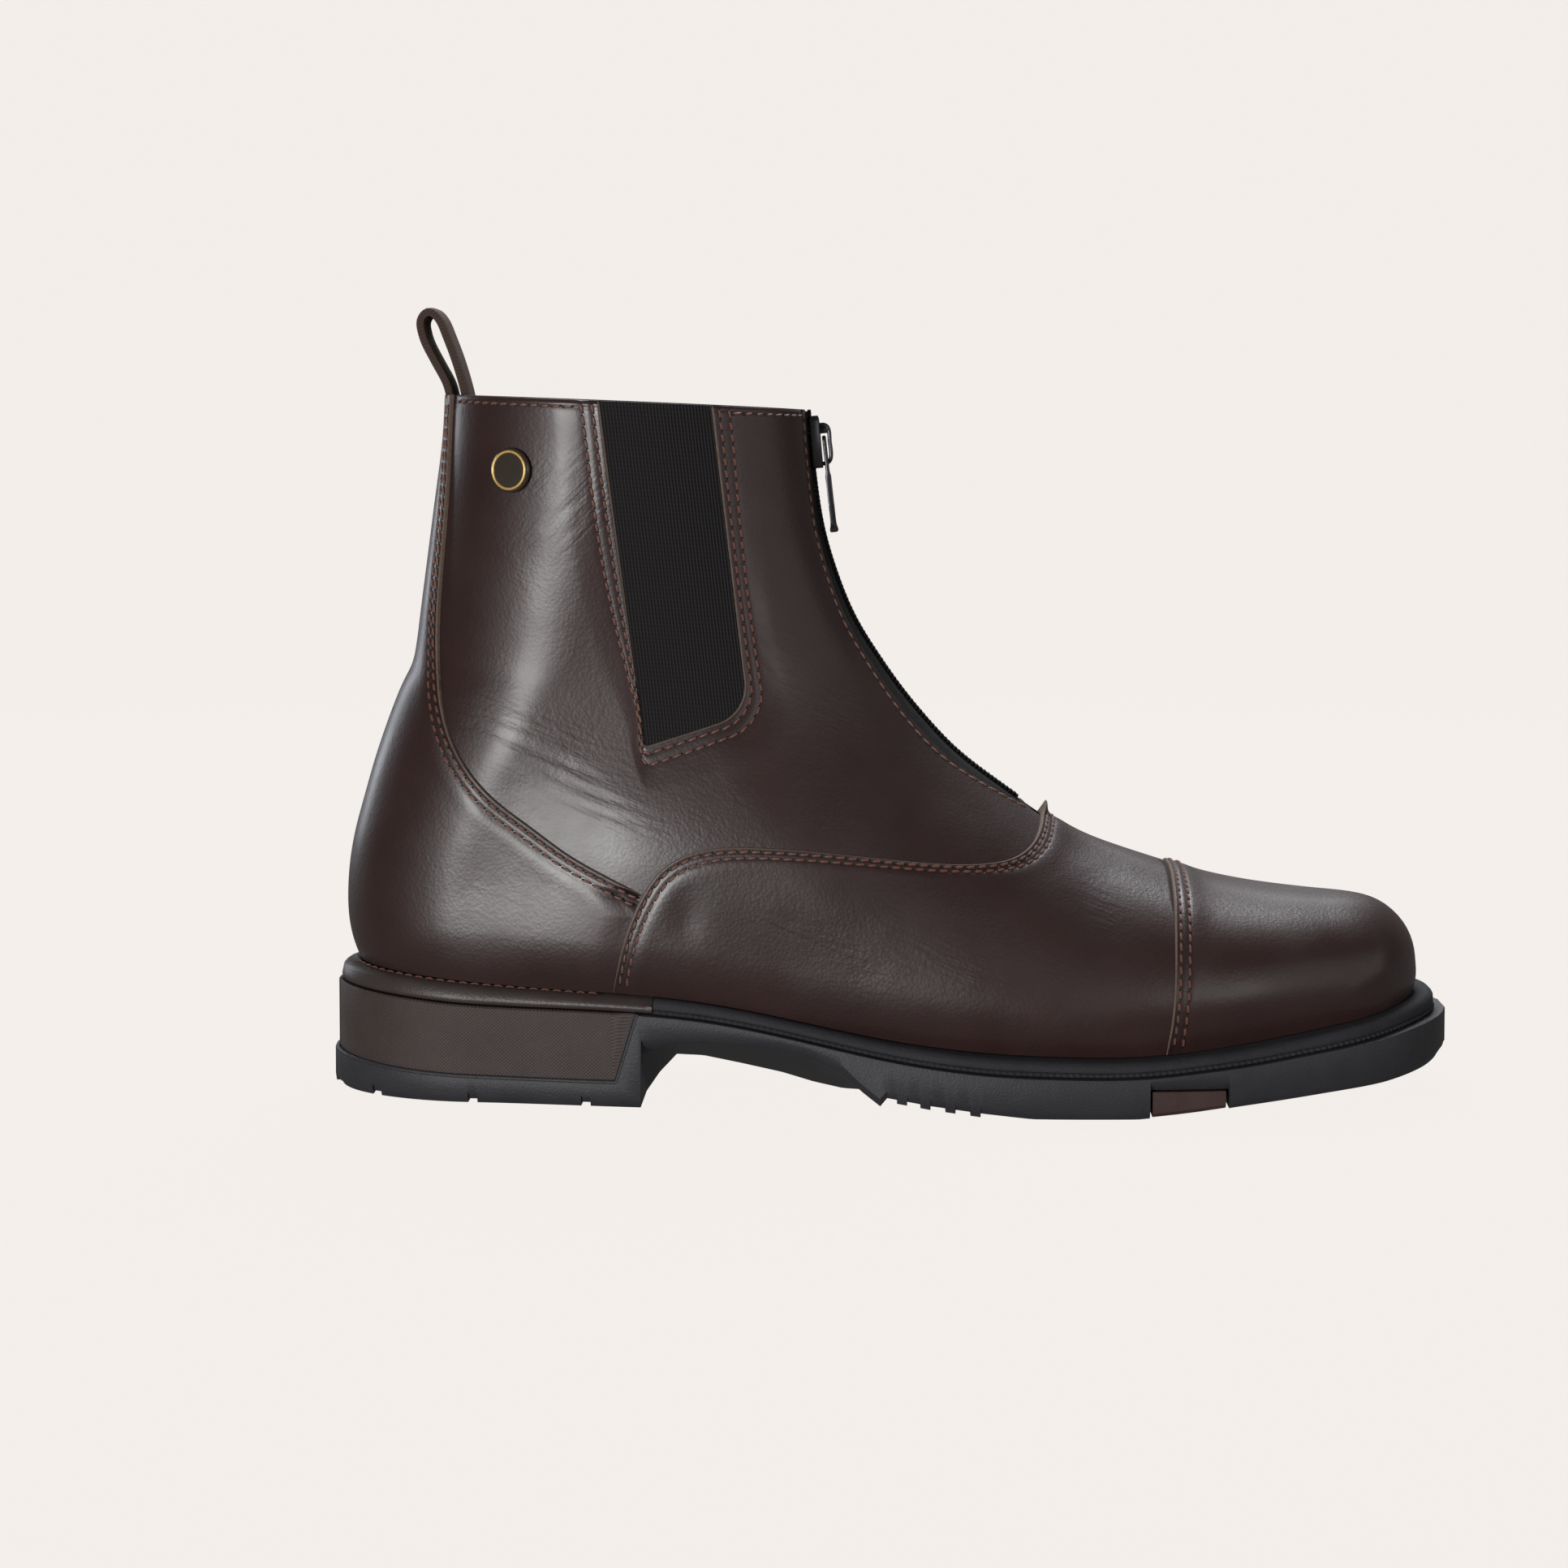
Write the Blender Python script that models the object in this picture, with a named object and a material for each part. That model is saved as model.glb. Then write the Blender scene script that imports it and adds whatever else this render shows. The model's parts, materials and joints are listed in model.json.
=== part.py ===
"""A right jodhpur boot with elastic gores, a front zip and a toe cap, on a rubber sole with a low heel.

Sizes are in millimetres until place() turns them into metres. A point of the boot has a station s, measured
forward from the back of the heel, a side offset y (negative towards the little toe) and a height z above the
floor. The part's origin is on the floor, in the middle of the sole's box, with +X towards the toe.
"""

import math

import bmesh
import bpy
import numpy as np
from mathutils import Vector

MM = 0.001

# Driving sizes
SOLE_LENGTH = 298.0
COLLAR_HEIGHT = 185.0
WALL = 2.2
OVERLAY = 1.2
TOE_CAP_THICK = 1.6
GAP = 0.3
SEAT_GAP = 0.4
INSOLE_THICK, INSOLE_CLEAR, INSOLE_END, INSOLE_STEPS = 3.0, 0.9, 1.3, 5

# Upper, back line over heel and shaft: height, station
BACK_LINE = [
    (30.0, 9.6), (34.0, 8.0), (42.0, 5.6), (52.0, 4.9), (60.0, 5.5), (69.0, 7.2), (77.0, 9.4), (86.0, 12.0),
    (95.0, 15.0), (103.5, 18.2), (108.0, 20.2), (112.0, 22.2), (117.0, 23.5), (125.0, 24.6), (143.0, 27.0),
    (160.0, 29.3), (173.0, 31.0), (186.0, 31.8),
]
# Upper, front line from the toe's foot over toe, instep and shin to the collar: station, height
FRONT_LINE = [
    (286.2, 25.5), (287.9, 31.0), (287.9, 36.0), (285.6, 42.0), (281.0, 46.3), (274.0, 48.6), (262.0, 50.2),
    (245.0, 52.5), (228.0, 56.6), (212.0, 61.8), (199.0, 67.0), (189.0, 73.2), (178.8, 80.5), (167.0, 89.6),
    (158.9, 98.0), (151.7, 106.8), (145.6, 115.5), (140.0, 124.6), (134.4, 138.0), (131.2, 149.0),
    (129.2, 161.0), (128.0, 172.0), (127.3, 181.0),
]
# Foot in plan, about the boot's middle line: station, half width outwards, half width inwards
FOOT_WIDTH = [
    (0.0, 28.5, 29.5), (40.0, 30.4, 31.5), (80.0, 36.0, 30.5), (120.0, 39.6, 31.5), (160.0, 43.2, 37.0),
    (190.0, 45.5, 42.5), (215.0, 45.0, 44.5), (240.0, 42.0, 43.5), (262.0, 36.0, 39.0), (278.0, 29.0, 33.0),
    (292.0, 21.0, 26.0),
]
# Shaft: height, half width
SHAFT_WIDTH = [(60.0, 32.0), (90.0, 31.0), (115.0, 31.5), (150.0, 34.0), (186.0, 36.5)]
# Rounding behind the front line: share of the way up that line, depth to full width, power of the arc
FRONT_ROUNDING = [
    (0.0, 20.0, 2.3), (0.12, 22.0, 2.4), (0.22, 26.0, 2.4), (0.38, 44.0, 2.15), (0.5, 54.0, 2.05),
    (0.65, 51.0, 2.0), (1.0, 48.0, 2.0),
]
# Rounding at the back line: height, depth to full width
BACK_ROUNDING = [(30.0, 31.0), (60.0, 33.0), (110.0, 42.0), (186.0, 48.0)]
SHAFT_START, SHAFT_FULL = 50.0, 115.0
TOE_INWARDS = 5.0
TOE_TURN_START, TOE_TURN_LENGTH = 150.0, 140.0
FEATHER_TUCK, FEATHER_ZONE = 0.07, 14.0
SAG_SHARE, SAG_END_POWER = 0.4, 200

# Sole seen from the side. Seat is the top of welt and rand, band their height: station, seat height, band
SEAT_LINE = [
    (0.0, 34.3, 6.1), (24.0, 32.4, 5.9), (43.0, 31.0, 5.7), (66.0, 29.8, 5.0), (88.0, 28.7, 4.6),
    (103.0, 27.0, 4.3), (116.5, 24.7, 4.2), (132.5, 21.5, 4.2), (148.6, 18.5, 4.3), (164.7, 16.4, 4.4),
    (179.0, 15.3, 4.4), (193.0, 14.8, 4.3), (216.0, 14.9, 4.2), (229.5, 16.2, 4.2), (242.4, 17.8, 4.3),
    (252.0, 19.3, 4.4), (275.0, 23.0, 4.7), (290.0, 25.8, 5.2), (298.0, 26.6, 5.4),
]
# Sole's reach past the upper's foot: station, overhang
OVERHANG = [
    (8.0, 8.0), (15.0, 6.6), (30.0, 5.2), (80.0, 4.5), (120.0, 5.2), (160.0, 7.6), (200.0, 8.6), (240.0, 9.2),
    (270.0, 10.4), (286.2, 11.8),
]
# Underside: station, height at the edge, height of the keel in the middle
HEEL_FRONT = 84.8
UNDERSIDE = [
    (85.0, 16.0, 0.4), (88.5, 16.4, 5.5), (93.0, 17.0, 10.3), (100.0, 17.3, 10.0), (110.0, 17.0, 8.0),
    (121.0, 16.0, 5.6), (129.0, 14.2, 3.2), (137.0, 10.7, 1.4), (142.0, 6.0, 1.1), (147.0, 2.2, 1.0),
]
FOREFOOT_BOTTOM = [
    (148.8, 4.4), (160.0, 2.7), (174.0, 1.1), (186.0, 0.0), (200.0, 0.0), (213.0, 0.0), (226.0, 1.2),
    (240.0, 3.0), (262.0, 5.4), (278.0, 7.0), (290.0, 8.6), (298.0, 10.2),
]
KEEL_HALF_WIDTH, KEEL_SHARE = 17.0, 0.6
EDGE_BEVEL_IN, EDGE_BEVEL_UP, EDGE_LEAST = 1.6, 2.2, 1.0
# Plateau under the insole, ledge under welt and rand: how far inside the upper's foot, least half width
PLATEAU_TUCK, PLATEAU_LEAST = 5.5, 1.0
LEDGE_TUCK, LEDGE_LEAST = 3.5, 2.0
BEVEL_LEAST = 2.6
# Heel top piece: station, height of its upper edge
TOP_PIECE = [(0.0, 9.7), (10.0, 8.6), (24.0, 7.6), (43.0, 6.9), (84.0, 6.6)]
BLOCK_INSET = 1.1
BLOCK_FRONT_FOOT, BLOCK_FRONT_SLOPE = 78.2, 0.31
RECESS_GAP = 0.4
# Heel's front wall: foot of the breast behind its edge, run of the lips above the block's slanted front
BREAST_BACK, BREAST_RUN = 4.0, 0.2
LIP_TOP_RUN, LIP_LEDGE_RUN = 0.8, 1.6
RAND_FRONT, WELT_BACK = 88.0, 88.5
# Welt and rand across: inset from their outer edge (None for the edge tucked under the upper), datum, rise
BAND_TUCK, BAND_LIFT = 2.6, 0.5
WELT_PROFILE = [
    (None, "seat", 0.0), (2.2, "seat", -0.2), (0.7, "seat", -1.3),
    (0.5, "ledge", 1.5), (1.4, "ledge", BAND_LIFT), (None, "ledge", BAND_LIFT),
]
RAND_PROFILE = [
    (None, "seat", 0.0), (3.6, "seat", -0.3), (1.6, "seat", -1.6),
    (0.5, "ledge", 1.6), (0.9, "ledge", BAND_LIFT), (None, "ledge", BAND_LIFT),
]
WELT_SECTIONS, RAND_SECTIONS = 41, 25
INSERT_BACK, INSERT_FRONT, INSERT_TOP = 216.2, 235.7, 7.4
INSERT_INSET, INSERT_BEVEL, INSERT_RISE, INSERT_SECTIONS = 1.0, 1.0, 0.2, 4
HEEL_GROOVES = [14.0, 40.4, 70.4]
FOREFOOT_GROOVES = [182.0, 190.0, 198.0, 206.0, 246.0, 255.0, 264.0, 273.0]
GROOVE_WIDTH, GROOVE_DEPTH, GROOVE_MARGIN = 2.4, 1.8, 5.0
STUD_RIBS = [152.6, 158.6, 165.0, 171.4]
RIB_WIDTH, RIB_DROP, RIB_ROOT, RIB_MARGIN, RIB_FLOOR = 2.6, 1.0, 2.0, 2.0, 0.2

# Seams seen from the side: station, height
VAMP_SEAM = [
    (77.4, 20.0), (78.0, 30.0), (79.4, 37.5), (82.0, 47.0), (85.7, 55.4), (90.5, 62.0), (97.5, 66.2),
    (108.0, 68.0), (121.0, 67.7), (141.7, 65.6), (162.7, 63.3), (175.0, 63.0), (183.0, 64.6), (187.5, 68.2),
    (189.8, 74.0), (190.6, 82.0),
]
CAP_SEAM = [(219.4, 8.0), (220.2, 15.5), (222.0, 30.4), (222.8, 45.7), (223.3, 57.0), (223.6, 70.0)]
COUNTER_SEAM = [
    (34.6, 192.0), (33.6, 180.0), (32.9, 160.0), (31.4, 140.0), (30.5, 120.0), (31.4, 108.0), (34.3, 96.5),
    (39.4, 87.4), (47.0, 79.2), (55.5, 73.0), (66.1, 65.7), (76.7, 60.1), (86.0, 55.6),
]
GORE_CORNERS = [(73.2, 192.0), (85.5, 93.5), (112.5, 102.3), (102.2, 192.0)]
GORE_ROUND_CORNER, GORE_CORNER_RADIUS = 2, 10.0
GORE_DROP, GORE_THICK = 0.5, 1.2

# Zip
ZIP_BACK = 112.0
# Zip slot seen from the front: height, half width
ZIP_SLOT = [(75.0, 3.6), (78.5, 6.4), (86.0, 9.4), (105.0, 9.0), (135.0, 7.4), (165.0, 5.8), (200.0, 5.4)]
TAPE_DROP, TAPE_THICK = 0.5, 1.2
CHAIN_FOOT, CHAIN_HALF_WIDTH, CHAIN_RISE, CHAIN_THICK = 2.0, 2.4, 0.8, 1.0
SLIDER_HEIGHT = 172.2
SLIDER_LENGTH, SLIDER_HALF_WIDTH, SLIDER_THICK, SLIDER_BEVEL = 14.0, 3.8, 1.6, 0.5
# Crown of the slider, from the slider's middle: ends up and down, reach off the chain, thickness, corner
CROWN_TOP, CROWN_FOOT, CROWN_REACH, CROWN_BAR, CROWN_TURN, CROWN_HALF_WIDTH = 5.0, -6.5, 4.5, 1.1, 1.9, 0.8
CROWN_BRIDGE = 2.9
PIVOT_OUT, PIVOT_UP, PIVOT_RADIUS = 2.5, 1.0, 0.5
# Pull tab: distance below the hinge, half thickness, half width
PULL_TAB = [
    (-PIVOT_RADIUS, PIVOT_RADIUS, 2.2), (9.2, PIVOT_RADIUS, 2.4), (10.4, 0.75, 2.5), (23.4, 0.75, 2.5),
    (24.6, 1.1, 2.9), (25.4, 1.1, 2.9),
]
PULL_WINDOW_FOOT, PULL_WINDOW_HALF, PULL_REACH = 9.0, 1.25, 3.0
PULL_LEAN_DEG = 6.4

# Pull loop's middle line seen from the side: station, height
LOOP_LINE = [
    (31.3, 185.6), (30.4, 189.0), (27.4, 196.0), (24.7, 202.4), (24.6, 205.4), (26.6, 207.3), (28.9, 205.4),
    (31.6, 199.0), (34.9, 190.5), (36.9, 184.0), (37.1, 177.0), (36.4, 170.0),
]
LOOP_THICK, LOOP_HALF_WIDTH, LOOP_SECTIONS = 2.2, 8.0, 25

STUD_STATION, STUD_HEIGHT, STUD_LIFT, STUD_SIDES = 51.3, 165.3, 0.55, 24
# Stud, turned about its axis: radius, rise
STUD_PROFILE = [(5.5, 0.0), (5.85, 0.4), (5.55, 1.38), (4.4, 1.8)]

# Fineness of the solids
RING_LEVELS = [
    0.0, 0.025, 0.05, 0.075, 0.1, 0.125, 0.15, 0.18, 0.22, 0.27,
    0.32, 0.38, 0.44, 0.5, 0.56, 0.62, 0.7, 0.8, 0.9, 1.0,
]
RING_POINTS = 48
SHARP_DEG = 35
PLAN_SAMPLES = 600
SEAM_SAMPLES, CAP_SAMPLES = 26, 8
BEYOND, CLEAR = 90.0, 20.0
END_TRIM = 0.35

OUTER, INNER = -1, 1


def spline(knots, values):
    """Natural cubic spline through the pairs, as a function of an array."""
    knots = np.asarray(knots, float)
    values = np.asarray(values, float)
    step = np.diff(knots)
    slope = np.diff(values) / step
    system = np.eye(len(knots))
    right = np.zeros(len(knots))
    for i in range(1, len(knots) - 1):
        system[i, i - 1:i + 2] = step[i - 1], 2 * (step[i - 1] + step[i]), step[i]
        right[i] = 6 * (slope[i] - slope[i - 1])
    bend = np.linalg.solve(system, right)

    def at(x):
        x = np.clip(np.asarray(x, float), knots[0], knots[-1])
        i = np.clip(np.searchsorted(knots, x) - 1, 0, len(knots) - 2)
        u = (x - knots[i]) / step[i]
        w = 1 - u
        curved = (w**3 - w) * bend[i] + (u**3 - u) * bend[i + 1]
        return w * values[i] + u * values[i + 1] + curved * step[i]**2 / 6

    return at


def column(rows, index=1):
    """Spline from a table's first column to another of its columns."""
    return spline([row[0] for row in rows], [row[index] for row in rows])


def smooth_path(rows, samples):
    """Points evenly spaced along a smooth curve through the rows."""
    rows = np.asarray(rows, float)
    along = np.concatenate([[0], np.cumsum(np.linalg.norm(np.diff(rows, axis=0), axis=1))])
    fine = np.linspace(0, along[-1], 40 * len(rows))
    curve = np.stack([spline(along, rows[:, axis])(fine) for axis in range(rows.shape[1])], axis=1)
    length = np.concatenate([[0], np.cumsum(np.linalg.norm(np.diff(curve, axis=0), axis=1))])
    even = np.linspace(0, length[-1], samples)
    return np.stack([np.interp(even, length, curve[:, axis]) for axis in range(rows.shape[1])], axis=1)


def smoothstep(x):
    x = np.clip(x, 0, 1)
    return x * x * (3 - 2 * x)


back_station = column(BACK_LINE)
front_curve = smooth_path(FRONT_LINE, 400)
foot_half = {OUTER: column(FOOT_WIDTH, 1), INNER: column(FOOT_WIDTH, 2)}
shaft_half = column(SHAFT_WIDTH)
front_depth = column(FRONT_ROUNDING, 1)
front_power = column(FRONT_ROUNDING, 2)
back_depth = column(BACK_ROUNDING)
seat_height = column(SEAT_LINE, 1)
band_height = column(SEAT_LINE, 2)
overhang = column(OVERHANG)
top_piece_height = column(TOP_PIECE)


def arc(share, power):
    """Half width near an end line: 0 at the line, 1 at full depth, along a superellipse."""
    share = np.clip(share, 0, 1)
    return (1 - (1 - share)**power)**(1 / power)


def front_line(share):
    """Station and height at a share of the way up the front line."""
    at = np.linspace(0, 1, len(front_curve))
    return np.interp(share, at, front_curve[:, 0]), np.interp(share, at, front_curve[:, 1])


def front_distance(s, z):
    """Distance in the side view to the front line, and the share of the way up at the nearest point."""
    start = front_curve[:-1]
    run = np.diff(front_curve, axis=0)
    ds = s[..., None] - start[:, 0]
    dz = z[..., None] - start[:, 1]
    u = np.clip((ds * run[:, 0] + dz * run[:, 1]) / (run**2).sum(axis=1), 0, 1)
    distance = np.hypot(ds - u * run[:, 0], dz - u * run[:, 1])
    nearest = distance.argmin(axis=-1)
    along = np.take_along_axis(u, nearest[..., None], -1)[..., 0]
    share = (nearest + along) / len(run)
    return distance.min(axis=-1), share


def middle(s):
    """Side offset of the boot's middle line, which turns inwards at the toe."""
    return TOE_INWARDS * np.clip((s - TOE_TURN_START) / TOE_TURN_LENGTH, 0, None)**2


def feather_height(s):
    """Foot of the upper, just clear of the welt and rand."""
    return seat_height(s) + SEAT_GAP


def half_width(s, z, side):
    """Half width of the last: foot plan and shaft width blended by height, rounded off to front and back."""
    blend = smoothstep((z - SHAFT_START) / (SHAFT_FULL - SHAFT_START))
    width = foot_half[side](s) * (1 - blend) + shaft_half(z) * blend
    distance, share = front_distance(s, z)
    front = arc(distance / front_depth(share), front_power(share))
    back = arc((s - back_station(z)) / back_depth(z), 2.0)
    low = np.clip(1 - (z - feather_height(s)) / FEATHER_ZONE, 0, 1)
    return width * front * back * (1 - FEATHER_TUCK * low**2)


FOOT_BACK_Z = float(seat_height(8.0)) + SEAT_GAP
FOOT_BACK_S = float(back_station(FOOT_BACK_Z))
FOOT_FRONT_S = FRONT_LINE[0][0]
FOOT_FRONT_Z = float(feather_height(FOOT_FRONT_S))


def last_point(level, angle):
    """Point of the last, on ring `level` (0 at the sole, 1 at the collar), at an angle round that ring.

    The angle is 0 on the front line and half a turn on the back line. A ring runs straight from back line to
    front line in the side view, and low rings sag to follow the sole.
    """
    back_z = FOOT_BACK_Z + level * (COLLAR_HEIGHT - FOOT_BACK_Z)
    back_s = back_station(back_z)
    front_s, front_z = front_line(level)
    forward = (1 + np.cos(angle)) / 2
    s = back_s + forward * (front_s - back_s)
    z = back_z + forward * (front_z - back_z)
    share = (s - FOOT_BACK_S) / (FOOT_FRONT_S - FOOT_BACK_S)
    sag = feather_height(s) - (FOOT_BACK_Z + share * (FOOT_FRONT_Z - FOOT_BACK_Z))
    clear_of_ends = 1 - np.cos(angle)**SAG_END_POWER
    z = z + sag * clear_of_ends * np.clip(1 - level / SAG_SHARE, 0, 1)**2
    outwards = np.sin(angle) >= 0
    y = middle(s) + np.where(outwards, -half_width(s, z, OUTER), half_width(s, z, INNER))
    return np.stack([s, y, z], axis=-1)


def last_normal(level, angle):
    """Outward normal of the last, level at the foot so that every layer ends on the same line."""
    rise, turn = 1e-3, 1e-2
    up = last_point(np.clip(level + rise, 0, 1), angle) - last_point(np.clip(level - rise, 0, 1), angle)
    round_ring = last_point(level, angle + turn) - last_point(level, angle - turn)
    normal = np.cross(up, round_ring)
    normal[..., 2] *= smoothstep(level / RING_LEVELS[2])
    return normal / np.linalg.norm(normal, axis=-1, keepdims=True)


def last_layer(level, angle, offset):
    """The last's surface moved outwards by an offset. Its foot still follows the seat line."""
    base = last_point(level, angle)
    moved = base + offset * last_normal(level, angle)
    at_foot = 1 - smoothstep(level / RING_LEVELS[2])
    moved[..., 2] += at_foot * (feather_height(moved[..., 0]) - feather_height(base[..., 0]))
    return moved


def foot_ring(angle, offset):
    """The upper's foot in plan, moved outwards by an offset: stations and side offsets."""
    turn = 1e-2
    zero = np.zeros_like(angle)
    at = last_point(zero, angle)[..., :2]
    run = last_point(zero, angle + turn)[..., :2] - last_point(zero, angle - turn)[..., :2]
    normal = np.stack([-run[..., 1], run[..., 0]], axis=-1)
    normal /= np.linalg.norm(normal, axis=-1, keepdims=True)
    return at + np.asarray(offset)[..., None] * normal


def plan_edge(side, offset):
    """Side offset of an outline as a function of the station. offset is a number, or takes a station."""
    angle = np.linspace(1e-4, math.pi - 1e-4, PLAN_SAMPLES)
    angle = angle if side == OUTER else -angle
    station = foot_ring(angle, np.zeros_like(angle))[:, 0]
    out = offset(station) if callable(offset) else np.full_like(station, offset)
    ring = foot_ring(angle, out)
    order = np.argsort(ring[:, 0])
    stations, offsets = ring[order, 0], ring[order, 1]
    first, last = stations[0], stations[-1]

    def at(s):
        inside = np.interp(np.clip(s, first + END_TRIM, last - END_TRIM), stations, offsets)
        past_end = (s < first - END_TRIM) | (s > last + END_TRIM)
        return np.where(past_end, middle(s), inside)

    return at


def sole_reach(inset):
    """Overhang of an outline that lies inside the sole's edge by an inset."""
    return lambda s: overhang(s) - inset


def edges(offset):
    return {OUTER: plan_edge(OUTER, offset), INNER: plan_edge(INNER, offset)}


def at_least(side, y, centre, least):
    """A side offset kept at least a distance from the middle line."""
    return centre + side * max(side * (float(y) - centre), least)


sole_edge = edges(sole_reach(0.0))
sole_bevel_edge = edges(sole_reach(EDGE_BEVEL_IN))
block_edge = edges(sole_reach(BLOCK_INSET))
plateau_edge = edges(-PLATEAU_TUCK)
ledge_edge = edges(-LEDGE_TUCK)
insole_edge = edges(-WALL - INSOLE_CLEAR)
ALL_STATIONS = np.linspace(0, SOLE_LENGTH, 400)
PLAN_MIDDLE = (sole_edge[OUTER](ALL_STATIONS).min() + sole_edge[INNER](ALL_STATIONS).max()) / 2


def place(points):
    """Station, side offset and height in millimetres, as metres in the part's frame."""
    return (np.asarray(points, float) - (SOLE_LENGTH / 2, PLAN_MIDDLE, 0.0)) * MM


def finish_material(name, colour, roughness, metallic=0.0):
    material = bpy.data.materials.new(name)
    material.use_nodes = True
    shader = material.node_tree.nodes["Principled BSDF"]
    shader.inputs["Base Color"].default_value = (*colour, 1.0)
    shader.inputs["Roughness"].default_value = roughness
    shader.inputs["Metallic"].default_value = metallic
    return material


def add_object(name, points, faces, material=None):
    """A closed mesh object from points in metres. One without a material is a helper."""
    mesh = bpy.data.meshes.new(name)
    mesh.from_pydata(np.asarray(points, float).tolist(), [], [list(face) for face in faces])
    work = bmesh.new()
    work.from_mesh(mesh)
    bmesh.ops.recalc_face_normals(work, faces=work.faces)
    work.to_mesh(mesh)
    work.free()
    if material:
        mesh.materials.append(material)
        mesh.shade_smooth()
        mesh.set_sharp_from_angle(angle=math.radians(SHARP_DEG))
    obj = bpy.data.objects.new(name, mesh)
    bpy.context.scene.collection.objects.link(obj)
    return obj


def hide_helper(obj):
    obj.hide_render = True
    obj.display_type = "WIRE"
    return obj


def boolean(obj, helper, operation):
    modifier = obj.modifiers.new(helper.name, "BOOLEAN")
    modifier.object = helper
    modifier.operation = operation
    modifier.solver = "EXACT"


def strip_faces(rows, points):
    """Quads between neighbouring points of neighbouring closed rows."""
    faces = []
    for i in range(rows - 1):
        for j in range(points):
            j_next = (j + 1) % points
            here, there = i * points, (i + 1) * points
            faces.append((here + j, here + j_next, there + j_next, there + j))
    return faces


def loft(name, sections, material=None, to_metres=place):
    """Closed solid through sections, each a closed outline with the same number of points."""
    sections = np.asarray(sections, float)
    rows, points = sections.shape[:2]
    faces = strip_faces(rows, points)
    faces.append(tuple(range(points)))
    faces.append(tuple((rows - 1) * points + j for j in range(points)))
    return add_object(name, to_metres(sections.reshape(-1, 3)), faces, material)


def straighter_diagonals(level, angle):
    """For each cell of a grid on the last, whether the surface lies closer to its first diagonal."""
    corner = last_point(level, angle)
    across = np.roll(corner, -1, axis=1)
    first = (corner[:-1] + across[1:]) / 2
    second = (across[:-1] + corner[1:]) / 2
    half_turn = math.pi / RING_POINTS
    centre = last_point((level[:-1] + level[1:]) / 2, angle[:-1] + half_turn)
    return np.linalg.norm(first - centre, axis=-1) < np.linalg.norm(second - centre, axis=-1)


def last_wall(name, inner, outer, material=None):
    """The whole boot's wall between two offsets of the last, open at the foot and the collar.

    Each cell of a layer is two triangles. All layers share their diagonals, so that they stay parallel.
    """
    angle = np.linspace(0, 2 * math.pi, RING_POINTS, endpoint=False)
    level, angle = np.meshgrid(RING_LEVELS, angle, indexing="ij")
    points = np.concatenate([last_layer(level, angle, outer), last_layer(level, angle, inner)]).reshape(-1, 3)
    rows = len(RING_LEVELS)
    index = np.arange(2 * rows * RING_POINTS).reshape(2, rows, RING_POINTS)
    first_diagonal = straighter_diagonals(level, angle)
    faces = []
    for layer in index:
        for i in range(rows - 1):
            for j in range(RING_POINTS):
                j_next = (j + 1) % RING_POINTS
                a, b, c, d = layer[i, j], layer[i, j_next], layer[i + 1, j_next], layer[i + 1, j]
                faces += [(a, b, c), (a, c, d)] if first_diagonal[i, j] else [(a, b, d), (b, c, d)]
    for i in (0, rows - 1):
        for j in range(RING_POINTS):
            j_next = (j + 1) % RING_POINTS
            faces.append((index[0, i, j], index[0, i, j_next], index[1, i, j_next], index[1, i, j]))
    return add_object(name, place(points), faces, material)


def prism(name, outline, low=-BEYOND, high=BEYOND):
    """Helper that fills a side-view outline between two side offsets."""
    return hide_helper(loft(name, [[(s, y, z) for s, z in outline] for y in (low, high)]))


def front_prism(name, rows, back, front):
    """Helper that fills a front-view outline, given as heights and half widths, between two stations."""
    outline = [(-half, z) for z, half in rows] + [(half, z) for z, half in rows[::-1]]
    return hide_helper(loft(name, [[(s, y, z) for y, z in outline] for s in (back, front)]))


def box_helper(name, boxes):
    """Helper of upright boxes: station range, side range, height range."""
    points = []
    faces = []
    for (s0, s1), (y0, y1), (z0, z1) in boxes:
        base = len(points)
        points += [(s, y, z) for s in (s0, s1) for y in (y0, y1) for z in (z0, z1)]
        corners = [(0, 1, 3, 2), (4, 6, 7, 5), (0, 4, 5, 1), (2, 3, 7, 6), (0, 2, 6, 4), (1, 5, 7, 3)]
        faces += [tuple(base + i for i in face) for face in corners]
    return hide_helper(add_object(name, place(points), faces))


def shifted(outline, forward):
    """An outline moved along the boot."""
    return [(s + forward, z) for s, z in outline]


def filleted(corners, index, radius, steps=6):
    """An outline with one of its corners rounded by an arc."""
    corners = [np.asarray(corner, float) for corner in corners]
    corner = corners[index]
    back = corners[index - 1] - corner
    ahead = corners[(index + 1) % len(corners)] - corner
    back /= np.linalg.norm(back)
    ahead /= np.linalg.norm(ahead)
    half_angle = math.acos(float(back @ ahead)) / 2
    bisector = (back + ahead) / np.linalg.norm(back + ahead)
    centre = corner + bisector * radius / math.sin(half_angle)
    touch = [corner + side * radius / math.tan(half_angle) - centre for side in (back, ahead)]
    start, stop = (math.atan2(at[1], at[0]) for at in touch)
    sweep = (stop - start + math.pi) % (2 * math.pi) - math.pi
    turns = [start + sweep * k / steps for k in range(steps + 1)]
    rounded = [centre + radius * np.array([math.cos(turn), math.sin(turn)]) for turn in turns]
    return corners[:index] + rounded + corners[index + 1:]


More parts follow.
